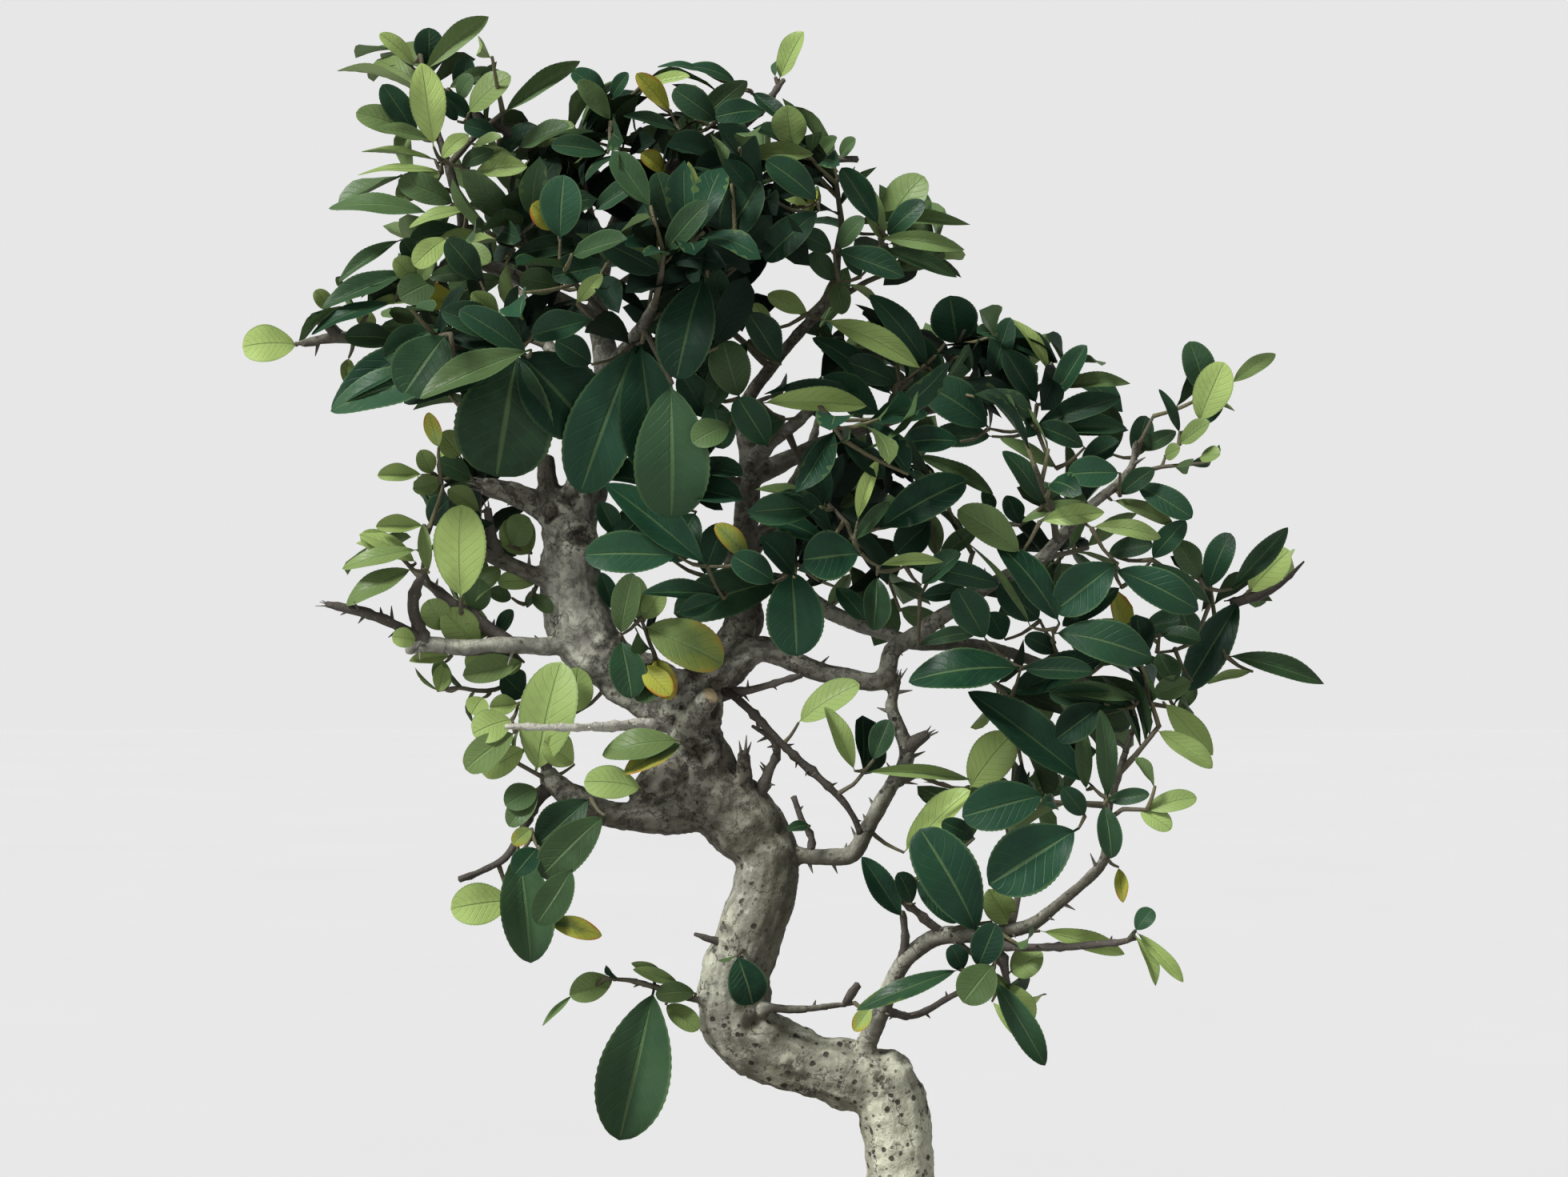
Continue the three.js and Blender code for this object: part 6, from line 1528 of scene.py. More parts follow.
# %% Leaves drawn singly find their stalks
WIDER = 1.05
LEAN, FACE_ROLL = 3, 0.35
DEPTH_STEPS = (0, -4, 4, -8, 8, -12, 12)
spots = [(spot[:3], None, 0) for points in LIMBS.values() for spot in placed_limb(points, 3.0)]
spots += [(point_along(stem, part), seed, part) for seed, (stem, _) in enumerate(shoots_of)
          for part in (0.5, 0.75, 1)]
spot_at = np.array([spot for spot, _, _ in spots])
waiting = [(place([x1, y + LEAN, z1]), place([x2, y - LEAN, z2]), number)
           for number, (x1, z1, x2, z2, y, *_) in enumerate(PLACED)]
stalks, left_out = [], 0
while waiting:
    bases = np.array([base for base, _, _ in waiting])
    gaps = np.linalg.norm(bases[:, None] - spot_at[None], axis=2)
    leaf_of, spot_of = divmod(gaps.argmin(), len(spots))
    base, tip, number = waiting.pop(leaf_of)
    start, seed, part = spots[spot_of]
    width, young, gold = PLACED[number][5:] + OLD_AND_GREEN[len(PLACED[number]) - 6:]
    width *= WIDER
    face = FACES["F"] + FACE_ROLL * (np.array([chance(number, k) for k in range(3)]) - 0.5)
    for step in DEPTH_STEPS:
        moved = base + (0, step, 0), tip + (0, step, 0)
        normal = leaf_frame(*moved, face)[1]
        if stand.free(stand.kite(*moved, width, normal)):
            base, tip = moved
            break
    else:
        left_out += 1
        continue
    if seed is None:
        seed = min(range(len(shoots_of)), key=lambda i: np.linalg.norm(shoots_of[i][0][-1] - base))
    else:
        grown(seed, 0, part)
    stalks.append((start, base))
    hooks = [base, (start + base) / 2]
    spots += [(hook, seed, 0) for hook in hooks]
    spot_at = np.vstack([spot_at, *hooks])
    set_leaf(seed, base, tip, width, normal, young, gold)
    front.add(base, tip, width)
print(len(stalks), "drawn leaves stand,", left_out, "found no free place")

# %% [markdown]
# The rest of each spray's leaves follow a rule: in a spiral round the shoot, wide open at its foot and
# closing towards its tip, with their upper sides turned out of the tree and up. Each tries a few
# bends, and is left out where none keeps clear. The number that goes with a leaf's own in each roll
# keeps its rolls apart.

# %% Leaves grown by rule
# The middle of the crown, which the leaves turn away from
HEART = np.array([-10, 0, 300.0])
FOOT_OPENING, TIP_CLOSES, OPENING_ROLL = 78, 42, 14
SHORTEST, LENGTH_ROLL = 0.70, 0.42
LEAF_RATIO, NARROWEST, WIDTH_ROLL = 0.36, 0.85, 0.35
LEAF_BENDS = ((0, 0), (0.5, 0), (-0.5, 0), (0, -0.35), (1, -0.2), (-1, -0.2), (1.8, 0), (-1.8, 0),
              (3.1, 0))
GOLD_ABOVE, GOLD = 0.99, 0.75
BEHIND = 5
left_out = 0
for seed, (name, limb, at, points, side_shoots, count, size, chosen) in enumerate(SPRAYS):
    shoots = shoots_of[seed][1]
    for j in range(count):
        nth, rank = j % len(shoots), j // len(shoots)
        start, end, axis = shoots[nth]
        part = 0.2 + 0.8 * (rank + 0.6) / math.ceil(count / len(shoots))
        base = start + (end - start) * min(part, 0.98)
        opening = math.radians(FOOT_OPENING - TIP_CLOSES * part
                               + OPENING_ROLL * (chance(seed, j + 40) - 0.5))
        turning = rank * GOLDEN_ANGLE + 2 * math.pi * chance(seed, nth + 60)
        length = size * (SHORTEST + LENGTH_ROLL * chance(seed, j + 80)) * (1.05 - 0.28 * part)
        width = length * LEAF_RATIO * (NARROWEST + WIDTH_ROLL * chance(seed, j + 120))
        for turn, opened in LEAF_BENDS:
            angle, wide = turning + turn, opening + opened
            heading = unit(axis * math.cos(wide) + radial(axis, angle) * math.sin(wide) + UP * 0.12)
            tip = base + heading * length
            tilt = radial(heading, 6.3 * chance(seed, j + 160)) * 0.5
            outward = unit((tip - HEART) * (1, 1.3, 0.3))
            along, normal = leaf_frame(base, tip, axis * 0.4 + UP * 0.35 + outward + tilt)
            side = np.cross(along, normal) * width * 0.35
            if (keeps_form(base, tip, side) and not front.hidden_by(base, tip)
                    and stand.free(stand.kite(base, tip, width, normal))):
                far = 0.4 + 0.6 * part
                grown(seed, 0, far if nth == 0 else 0.5 + 0.45 * nth / (len(shoots) - 1))
                grown(seed, nth, far if nth == 0 else part)
                old = tip[1] > BEHIND and chance(seed, j + 240) > GOLD_ABOVE
                set_leaf(seed, base, tip, width, normal, youth(tip, part, chance(seed, j + 200)),
                         GOLD if old else 0, fine=False)
                break
        else:
            left_out += 1
print(len(leaves), "leaves stand,", left_out, "found no free place")

# %% [markdown]
# Inside the crown hardly any light comes through. Each leaf is darkened by how many others stand on
# its outer side.

# %% Shade
LOOK_OUT, CROWDED_WITHIN = 16, 20
FEW, MANY = 2, 8
middles = np.array([(leaf["base"] + leaf["tip"]) / 2 for leaf in leaves])
for leaf, middle in zip(leaves, middles):
    ahead = middle + LOOK_OUT * unit((middle - HEART) * (1, 1.3, 0.6))
    crowd = (np.linalg.norm(middles - ahead, axis=1) < CROWDED_WITHIN).sum()
    shade = min(1.0, max(0, crowd - FEW) / MANY) * (1 - leaf["young"])
    leaf["deep"] = shade * (0.45 if leaf["fine"] else 1)
print("mean shade", round(sum(leaf["deep"] for leaf in leaves) / len(leaves), 2))

# %% [markdown]
# Firethorn arms its bare twigs with short spines, and broken wood ends in splinters. The tables name
# the twigs that show them, with how many and how long, and a rule rolls where each stands.

# %% Spines and broken ends
# Spines: [limb, how many, length]
SPINES = [
    ["bare_limb", 12, 4.5], ["left_arm", 7, 4], ["left_arm_tip", 7, 3.5], ["left_arm_up", 4, 3.5],
    ["dark_twig", 7, 2.2], ["low_right", 14, 3.5], ["low_right_dark", 4, 2.5], ["bare_twig", 3, 2],
    ["left_stub", 4, 4], ["left_fork", 4, 4], ["bud_twig", 5, 2.6], ["cross_limb", 9, 3],
    ["right_limb", 10, 3.5], ["crown_far_left", 7, 3.5], ["under_limb", 4, 3],
    ["low_left_twig", 4, 2.5], ["crown_left", 5, 3], ["low_right_out", 4, 2.5],
    ["shoulder_stub", 6, 3.5], ["shoulder_snag", 8, 3.5], ["low_right_cross", 4, 2.4],
    ["lichen_twig", 4, 2], ["grey_twig", 3, 2],
]
# Broken ends with splinters: [limb, how many, length]
SNAGS = [
    ["low_stump", 9, 6], ["left_stub", 5, 3.5], ["left_fork", 7, 5], ["shoulder_stub", 4, 4],
    ["bare_knob", 5, 3], ["bare_limb", 5, 4], ["left_arm_tip", 4, 2.5], ["left_stub_tip", 3, 2.5],
]
TWIG_TONE, SNAG_TONE = 0.3, 0.45
FULL_TURN = 6.28
print(sum(row[1] for row in SPINES), "spines,", sum(row[1] for row in SNAGS), "splinters")

# %% [markdown]
# A spine is a tube of four rings that ends in a point, set into the twig so that no gap shows. The
# thin twigs are knobbly where leaves were, which a bevelled curve can't be, so they are tubes too.


# %% Twigs with their spines
def spike(start, way, length, radius):
    """A thorn or splinter, thinner towards its point."""
    line = [[*(start - way * radius), radius], [*(start + way * length * 0.25), radius * 0.7],
            [*(start + way * length * 0.65), radius * 0.42], [*(start + way * length), 0.12]]
    return tube(np.array(line), 5)


twigs = Skin()
for number, (name, points) in enumerate(LIMBS.items()):
    if not is_thick(name):
        line = placed_limb(points, 1.6)
        twigs.add(*tube(line, 8, 0.5, number * 5.1, 0.45), (TONES.get(name, TWIG_TONE), 0))
for number, (name, count, length) in enumerate(SPINES):
    line = placed_limb(LIMBS[name], 1.0)
    for k in range(count):
        spot = int((0.12 + 0.86 * (k + chance(number, k)) / count) * (len(line) - 2))
        along = unit(line[spot + 1][:3] - line[spot][:3])
        out = radial(along, FULL_TURN * chance(number, k + 30))
        start = line[spot][:3] + out * line[spot][3] * 0.7
        long = length * (0.5 + chance(number, k + 60))
        thorn = spike(start, unit(out + along * 0.45), long, 0.45 + 0.1 * length)
        twigs.add(*thorn, (TONES.get(name, TWIG_TONE), 0))
for number, (name, count, length) in enumerate(SNAGS):
    line = placed_limb(LIMBS[name], 1.0)
    along, radius = unit(line[-1][:3] - line[-3][:3]), line[-1][3]
    for k in range(count):
        out = radial(along, k * GOLDEN_ANGLE)
        way = unit(along + out * 0.45 * chance(number, k))
        long = length * (0.4 + chance(number, k + 90))
        twigs.add(*spike(line[-1][:3] + out * radius * 0.55, way, long, 0.35 * radius), (SNAG_TONE, 0))
print(len(twigs.paint), "points of twigs, spines and splinters")

# %% [markdown]
# What bears leaves is younger: stems and shoots are smooth and greenish, and get thinner to their
# tips. A leaf's own stalk sags a little on its way from the wood to the blade.

# %% Stems, shoots and stalks
for seed, (stem, shoots) in enumerate(shoots_of):
    thin = 1 if SPRAYS[seed][5] > 6 else 0.75
    far = min(1, reach.get((seed, 0), 0) + 0.03)
    if far > 0.1:
        line = [[*point_along(stem, far * k / 6), thin * (1.15 - 0.07 * k)] for k in range(7)]
        twigs.add(*tube(curve_through(line, 2.0), 6, 0.3, seed), (0.25, 0.25))
    for nth, (start, end, axis) in enumerate(shoots):
        if nth and (seed, nth) in reach:
            end = start + (end - start) * min(1, reach[seed, nth] + 0.05)
            line = [[*start, 0.8], [*((start + end) / 2 - UP * 0.6), 0.68], [*end, 0.5]]
            twigs.add(*tube(curve_through(line, 2.5), 6, 0.3, seed), (0.3, 0.7))
for number, (start, end) in enumerate(stalks):
    middle = (start + end) / 2 + np.array([0, 0.14, -0.08]) * np.linalg.norm(end - start)
    line = curve_through([[*start, 0.8], [*middle, 0.6], [*end, 0.42]], 2.5)
    twigs.add(*tube(line, 6, 0.3, number), (0.2, 0.4))
twig_mesh = twigs.mesh("tree_twigs", ("pale", "green"))
tree_twigs = new_piece("tree_twigs", twig_mesh, TWIG_BARK)
print("twigs", len(twig_mesh.vertices), "vertices")

# %% [markdown]
# A blade is modelled once for each shape: narrow at its stalk, widest beyond the middle, folded
# along the midrib and arched. It is closed, like a thin lens: upper and lower skin share the margin,
# which is marked sharp so that the light doesn't roll round it. Leaves that stand out in the
# photograph get a finer blade with a toothed margin and sunken side veins.

# %% Shapes of blades
# [widest towards the tip 0..1, roundness of the tip, fold, arch, wave, twist]
SHAPES = [
    [0.6, 0.48, 0.22, 1.6, 0.012, 0.15], [0.57, 0.54, 0.3, 1.0, 0.01, 0.1],
    [0.58, 0.6, 0.6, 0.3, 0.018, 0.25], [0.55, 0.7, 0.18, 1.9, 0.015, -0.25],
    [0.54, 0.8, 0.5, 0.6, 0.015, -0.2], [0.52, 0.95, 0.4, 1.3, 0.01, -0.12],
]
STALK_END, BLADE_RUN = 0.055, 0.945
STALK_WIDTH = 0.018
BLADE_THICK = 0.011
RIB_THICKER = 1.5
TOOTH = 0.012
VEIN_DEPTH = 0.002


def blade_outline(u, widest, rounded):
    """Half the width at u, as a part of the full width."""
    a = rounded * widest / (1 - widest)
    top = widest ** a * (1 - widest) ** rounded
    return 0.5 * max(u, 0) ** a * max(1 - u, 0) ** rounded / top


def blade_spot(u, row, last, part, level, shape, toothed):
    """A point of the blade: u along it, part across from -1 to 1, level 0.5 above or -0.5 below."""
    widest, rounded, fold, arch, wave, twist = shape
    half = max(blade_outline((u - 0.05) / 0.95, widest, rounded), STALK_WIDTH)
    if row == last:
        half = 0.0
    if toothed and 2 < row < last and abs(part) == 1:
        half *= 1 + (TOOTH if row % 2 else -TOOTH)
    x = half * part
    z = arch * (0.22 * u - 0.28 * u * u) + fold * abs(x) * 0.43
    z += wave * math.sin(u * 11 + (1.3 if part > 0 else 0)) * abs(part)
    if toothed:
        vein = math.cos(2 * math.pi * (u * SIDE_VEINS - abs(x) * VEIN_SLANT + VEIN_START))
        z -= VEIN_DEPTH * (0.5 + 0.5 * vein) * (1 - abs(part)) * 2
    rib = RIB_THICKER if part == 0 and level < 0 else 1
    z += level * BLADE_THICK * math.sqrt(max(0, 1 - part * part)) * rib
    turn = twist * u
    return (x * math.cos(turn) - z * math.sin(turn), u, z * math.cos(turn) + x * math.sin(turn))


print(len(SHAPES), "shapes of blades")

# %% [markdown]
# Leaves grown by rule get a blade of few faces, those drawn singly one of many: a thousand fine
# blades would be slow to draw. The blades wait in a collection of their own.


# %% Blades
def blade_mesh(name, shape, steps, halves, toothed):
    stations = [0.0, STALK_END]
    stations += [STALK_END + BLADE_RUN * (i / steps) ** 0.92 for i in range(1, steps + 1)]
    across = [k / halves for k in range(-halves, halves + 1)]
    last = len(stations) - 1
    points, faces, maps = [], [], []

    def new_point(i, part, level):
        points.append(blade_spot(stations[i], i, last, part, level, shape, toothed))
        return len(points) - 1

    upper = [[new_point(i, part, 0.5) for part in across] for i in range(last)]
    tip = new_point(last, 0, 0)
    lower = [[row[0], *(new_point(i, part, -0.5) for part in across[1:-1]), row[-1]]
             for i, row in enumerate(upper)]
    for rows, side in ((upper, 0), (lower, 2)):
        for i, row in enumerate(rows):
            for k in range(len(across) - 1):
                quad = [(row[k], across[k], i), (row[k + 1], across[k + 1], i)]
                if i < last - 1:
                    quad += [(rows[i + 1][k + 1], across[k + 1], i + 1),
                             (rows[i + 1][k], across[k], i + 1)]
                else:
                    quad.append((tip, (across[k] + across[k + 1]) / 2, i + 1))
                if side:
                    quad.reverse()
                faces.append([corner[0] for corner in quad])
                maps += [(0.5 + 0.5 * part + side, stations[step]) for _, part, step in quad]
    faces.append([*reversed(upper[0]), *lower[0][1:-1]])
    maps += [(0.5, 0)] * len(across) + [(2.5, 0)] * (len(across) - 2)
    made = bpy.data.meshes.new(name)
    made.from_pydata(points, [], faces, shade_flat=False)
    made.uv_layers.new(name="blade").data.foreach_set("uv", np.array(maps, float).ravel())
    chain = [row[0] for row in upper] + [tip] + [row[-1] for row in reversed(upper)]
    sharp = {tuple(sorted(pair)) for pair in zip(chain, chain[1:])}
    flags = [tuple(sorted(edge.vertices)) in sharp for edge in made.edges]
    made.attributes.new("sharp_edge", "BOOLEAN", "EDGE").data.foreach_set("value", flags)
    made.update()
    return made


blade_box = bpy.data.collections.new("blades")
for number, shape in enumerate(SHAPES):
    for kind, steps, halves, toothed in (("plain", 7, 2, False), ("toothed", 34, 3, True)):
        mesh = blade_mesh(f"{kind}_{number}", shape, steps, halves, toothed)
        blade_box.objects.link(bpy.data.objects.new(mesh.name, mesh))

# %% [markdown]
# The leaves of one region are one piece. Each leaf is a point that carries its turn, size and shape,
# and Geometry Nodes set the blades on the points: that keeps the leaves editable, and one change of
# "Leaf scale" redraws them all. The tree rolls each leaf's tint from its seed, and ends by making
# the copies real and giving them their finish. The grains of the soil use the same parts later.


# %% Copies on points
def scatter_tree(name, inputs, output):
    """An empty Geometry Nodes tree, and wires from its named inputs."""
    tree = bpy.data.node_groups.new(name, "GeometryNodeTree")
    for label, kind in inputs.items():
        tree.interface.new_socket(label, in_out="INPUT", socket_type="NodeSocket" + kind)
    tree.interface.new_socket(output, in_out="OUTPUT", socket_type="NodeSocketGeometry")
    graph = Graph(tree)
    given = graph.node("NodeGroupInput").socket.node.outputs
    return graph, {label: Wire(graph, given[label]) for label in inputs}


def rolled(graph, seed, low=0.0, high=1.0):
    """A number for each point, at random from low to high."""
    return graph.node("FunctionNodeRandomValue", {"data_type": "FLOAT"},
                      {2: low, 3: high, "Seed": seed}, out=1)


def set_copies(graph, points, seed, box, places, finish):
    """Gives the points a tint and a copy each, makes the copies real and gives them their finish."""
    tinted = graph.node("GeometryNodeStoreNamedAttribute", {"data_type": "FLOAT", "domain": "POINT"},
                        {"Geometry": points, "Name": "tint", "Value": rolled(graph, seed)})
    meshes = graph.node("GeometryNodeCollectionInfo", None, {
        "Collection": box, "Separate Children": True, "Reset Children": True})
    copies = graph.node("GeometryNodeInstanceOnPoints", None, {
        "Points": tinted, "Instance": meshes, "Pick Instance": True, **places})
    real = graph.node("GeometryNodeRealizeInstances", None, {0: copies})
    dressed = graph.node("GeometryNodeSetMaterial", None, {"Geometry": real, "Material": finish})
    graph.node("NodeGroupOutput", None, {0: dressed})
    return graph.tree


def set_inputs(modifier, values):
    """Sets a modifier's inputs by their sockets' identifiers."""
    for item in modifier.node_group.interface.items_tree:
        if item.item_type == "SOCKET" and item.in_out == "INPUT" and item.name in values:
            modifier[item.identifier] = values[item.name]


print("helpers for a tree, its random numbers, its copies and its inputs")

# %% [markdown]
# One point for each leaf says all about it: its turn comes from the way along the blade and the way
# its upper side faces, its size is width and length, and slim leaves get slim shapes. How young,
# yellow and deep in shade it is goes along for the finish to read.


# %% Leaves as points
def leaf_scatter():
    graph, given = scatter_tree("blades_on_points", {
        "Points": "Geometry", "Blades": "Collection", "Leaf scale": "Float", "Seed": "Int",
        "Finish": "Material"}, "Leaves")
    turn, size, shape = (
        graph.node("GeometryNodeInputNamedAttribute", {"data_type": kind}, {"Name": name})
        for name, kind in (("turn", "FLOAT_VECTOR"), ("size", "FLOAT_VECTOR"), ("shape", "INT")))
    scaled = graph.node("ShaderNodeVectorMath", {"operation": "SCALE"},
                        {0: size, "Scale": given["Leaf scale"]})
    places = {"Instance Index": shape, "Rotation": turn, "Scale": scaled}
    return set_copies(graph, given["Points"], given["Seed"], given["Blades"], places, given["Finish"])


def leaf_points(name, some):
    """A mesh of loose points, one for each leaf, that carry all its values."""
    mesh = bpy.data.meshes.new(name)
    mesh.from_pydata([tuple(metres(leaf["base"])) for leaf in some], [], [])
    turns, sizes, shapes = [], [], []
    for number, leaf in enumerate(some):
        along = leaf["tip"] - leaf["base"]
        length = np.linalg.norm(along) * MM
        along = unit(along)
        across = np.cross(along, leaf["normal"])
        turns += Matrix(np.array([across, along, leaf["normal"]]).T.tolist()).to_euler()[:]
        sizes += [leaf["width"] * MM, length, length]
        slim = min(1, max(0, 0.55 - leaf["width"] * MM / length) / 0.35)
        roll = min(len(SHAPES) - 1, int(slim * 3.6 + chance(leaf["spray"], number + 300) * 2.6))
        shapes.append(roll + (len(SHAPES) if leaf["fine"] else 0))
    for layer, kind, field, values in (("turn", "FLOAT_VECTOR", "vector", turns),
                                       ("size", "FLOAT_VECTOR", "vector", sizes),
                                       ("shape", "INT", "value", shapes)):
        mesh.attributes.new(layer, kind, "POINT").data.foreach_set(field, values)
    for layer in ("young", "gold", "deep"):
        values = [float(leaf[layer]) for leaf in some]
        mesh.attributes.new(layer, "FLOAT", "POINT").data.foreach_set("value", values)
    return mesh


scatter = leaf_scatter()
print("tree of", len(scatter.nodes), "nodes")

# %% [markdown]
# The regions follow the limbs, so that a piece is a part of the crown that one can take away. Each
# stands in for the solids of its sprays.

# %% Leaves, region by region
REGIONS = {
    "leaves_top_left": ["crown_left"],
    "leaves_far_left": ["crown_far_left"],
    "leaves_crown": ["crown_top", "crown_cut", "left_limb"],
    "leaves_heart": ["front_limb"],
    "leaves_leader": ["leader", "front_right_limb"],
    "leaves_back": ["back_limb", "back_left_limb", "crown_back"],
    "leaves_pad": ["pad_limb"],
    "leaves_right": ["right_limb", "cross_limb"],
    "leaves_low_right": ["low_right", "low_right_out", "dark_twig"],
    "leaves_low_left": ["low_left_twig", "rise", "left_arm", "left_arm_up", "left_arm_spur", "left_stub",
                        "low_stump", "neck"],
}


def node_of(spray):
    """The solid that stands for a spray: its limb's, where the limb has one with all its sprays."""
    name, limb = spray[:2]
    return next((bough for bough, limbs in BOUGHS.items() if limb in limbs), name)


for number, (region, limbs) in enumerate(REGIONS.items()):
    some = [leaf for leaf in leaves if SPRAYS[leaf["spray"]][1] in limbs]
    bed = new_piece(region + "_points", leaf_points(region + "_points", some))
    modifier = bed.modifiers.new("blades", "NODES")
    modifier.node_group = scatter
    set_inputs(modifier, {"Blades": blade_box, "Leaf scale": 1.0, "Seed": number, "Finish": LEAF})
    mesh = applied(bed, region)
    piece = new_piece(region, mesh)
    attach(piece, "root")
    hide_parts(*sorted({node_of(spray) for spray in SPRAYS if spray[1] in limbs}))
    print(region, len(some), "leaves", len(mesh.polygons), "faces")
for blade in list(blade_box.objects):
    bpy.data.objects.remove(blade)
bpy.data.collections.remove(blade_box)

for piece in (tree_wood, tree_twigs):
    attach(piece, "root")
    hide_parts("trunk")
print("wood and twigs stand for the trunk")

# %% [markdown]
# The tray is outside the photograph, so it is a plain one: an oblong with rounded corners, a flat
# lip, four feet and two drain holes, in a quiet blue grey glaze that thins to brown on the edges.


# %% Tray's measures and section
POT_LENGTH, POT_WIDTH, POT_HEIGHT, POT_CORNER = 250, 184, 62, 26
POT_WALL, POT_FLOOR, POT_TAPER = 7, 8, 9
LIP_OUT, LIP_HEIGHT, LIP_ROUND = 4, 9, 2
FOOT_LENGTH, FOOT_WIDTH, FOOT_HEIGHT, FOOT_CORNER = 34, 23, 7, 7
FOOT_FROM_WALL = 3
DRAIN_RADIUS, DRAIN_SPREAD = 9, 62
FLOOR_TOP = FOOT_HEIGHT + POT_FLOOR
LIP_BASE = POT_HEIGHT - LIP_HEIGHT
WALL_STEPS, WALL_CURVE = 8, 1.6
# A foot's sides: [how far in, height]
FOOT_SIDES = [(3.4, 0), (2.6, 0.5), (2.0, 2.5), (1.0, 5), (0, FOOT_HEIGHT + 2)]


def rounded_edge(inset, z, radius, first, last, steps=5):
    """A quarter round of the section: insets and heights from one angle to the other."""
    angles = [math.radians(first + (last - first) * i / steps) for i in range(steps + 1)]
    return [(inset + radius * (1 - math.cos(a)), z + radius * math.sin(a)) for a in angles]


def pot_section():
    """Insets and heights, from the underside up the wall, over the lip and down to the floor."""
    bottom, inner = LIP_OUT + POT_TAPER, LIP_OUT + POT_WALL
    section = [(bottom + 2, FOOT_HEIGHT), (bottom + 0.6, FOOT_HEIGHT + 0.6)]
    for t in (i / WALL_STEPS for i in range(WALL_STEPS + 1)):
        section.append((LIP_OUT + POT_TAPER * (1 - t) ** WALL_CURVE,
                        FOOT_HEIGHT + 2 + (LIP_BASE - FOOT_HEIGHT - 3) * t))
    section += [(LIP_OUT - 0.3, LIP_BASE - 0.4), (1.6, LIP_BASE + 0.6), (0.5, LIP_BASE + 1.6),
                (0.05, LIP_BASE + 3.0), (0, POT_HEIGHT - LIP_ROUND)]
    section += rounded_edge(0, POT_HEIGHT - LIP_ROUND, LIP_ROUND, 18, 90)
    return section + [
        (inner - 1.6, POT_HEIGHT), (inner - 0.5, POT_HEIGHT - 0.4), (inner, POT_HEIGHT - 1.6),
        (inner + POT_TAPER * 0.5, (POT_HEIGHT + FLOOR_TOP) / 2), (inner + POT_TAPER, FLOOR_TOP)]


print("tray", POT_LENGTH, "x", POT_WIDTH, "x", POT_HEIGHT, "mm, section of", len(pot_section()), "points")

# %% [markdown]
# The section runs round the tray as a row of rounded oblongs, joined into one skin. Each foot is such
# a row as well, and a Boolean cuts the drain holes and melts the feet into the floor.


# %% Shape of the tray
def rounded_ring(length, width, corner, z, x=POT_X, y=0, steps=10):
    """An oblong with rounded corners, as a ring of points at one height."""
    ring = []
    for k in range(4):
        cx = x + (length / 2 - corner) * (1 if k in (0, 3) else -1)
        cy = y + (width / 2 - corner) * (1 if k < 2 else -1)
        for i in range(steps + 1):
            angle = (k + i / steps) * math.pi / 2
            ring.append([cx + corner * math.cos(angle), cy + corner * math.sin(angle), z])
    return ring


def loft(rings):
    """Points and faces of a skin through the rings, closed by a flat face at each end."""
    count, last = len(rings[0]), len(rings) - 1
    faces = rings_joined(count, last)
    faces += [[*reversed(range(count))], [*range(last * count, (last + 1) * count)]]
    return [point for ring in rings for point in ring], faces


def make_pot():
    skin, cutters = Skin(), Skin()
    rings = [rounded_ring(POT_LENGTH - 2 * inset, POT_WIDTH - 2 * inset, max(POT_CORNER - inset, 3), z)
             for inset, z in pot_section()]
    skin.add(*loft(rings), (0,))
    for side in (-1, 1):
        ring = [[POT_X + side * DRAIN_SPREAD + DRAIN_RADIUS * math.cos(a), DRAIN_RADIUS * math.sin(a)]
                for a in np.linspace(0, 2 * math.pi, 32, endpoint=False)]
        levels = FOOT_HEIGHT - 5, FLOOR_TOP + 5
        cutters.add(*loft([[[x, y, z] for x, y in ring] for z in levels]), (0,))
    from_edge = LIP_OUT + POT_TAPER + FOOT_FROM_WALL
    for sx, sy in ((-1, -1), (-1, 1), (1, -1), (1, 1)):
        x = POT_X + sx * (POT_LENGTH / 2 - from_edge - FOOT_LENGTH / 2)
        y = sy * (POT_WIDTH / 2 - from_edge - FOOT_WIDTH / 2)
        rings = [rounded_ring(FOOT_LENGTH - 2 * inset, FOOT_WIDTH - 2 * inset, FOOT_CORNER - inset,
                              z, x, y, 6) for inset, z in FOOT_SIDES]
        skin.add(*loft(rings), (0,))
    whole = new_piece("tray_whole", skin.mesh("tray_whole"))
    cutter = new_piece("tray_cutter", cutters.mesh("tray_cutter"))
    cut_out = whole.modifiers.new("drains", "BOOLEAN")
    cut_out.operation = "DIFFERENCE"
    cut_out.solver = "EXACT"
    cut_out.use_self = True
    cut_out.object = cutter
    mesh = applied(whole, "tray")
    bpy.data.objects.remove(cutter)
    return mesh


tray_mesh = make_pot()
print("tray", len(tray_mesh.polygons), "faces")

# %% [markdown]
# The glaze is clouded and specked, and wears to brown on the rim. The feet stand bare, where the kiln
# shelf touched them.


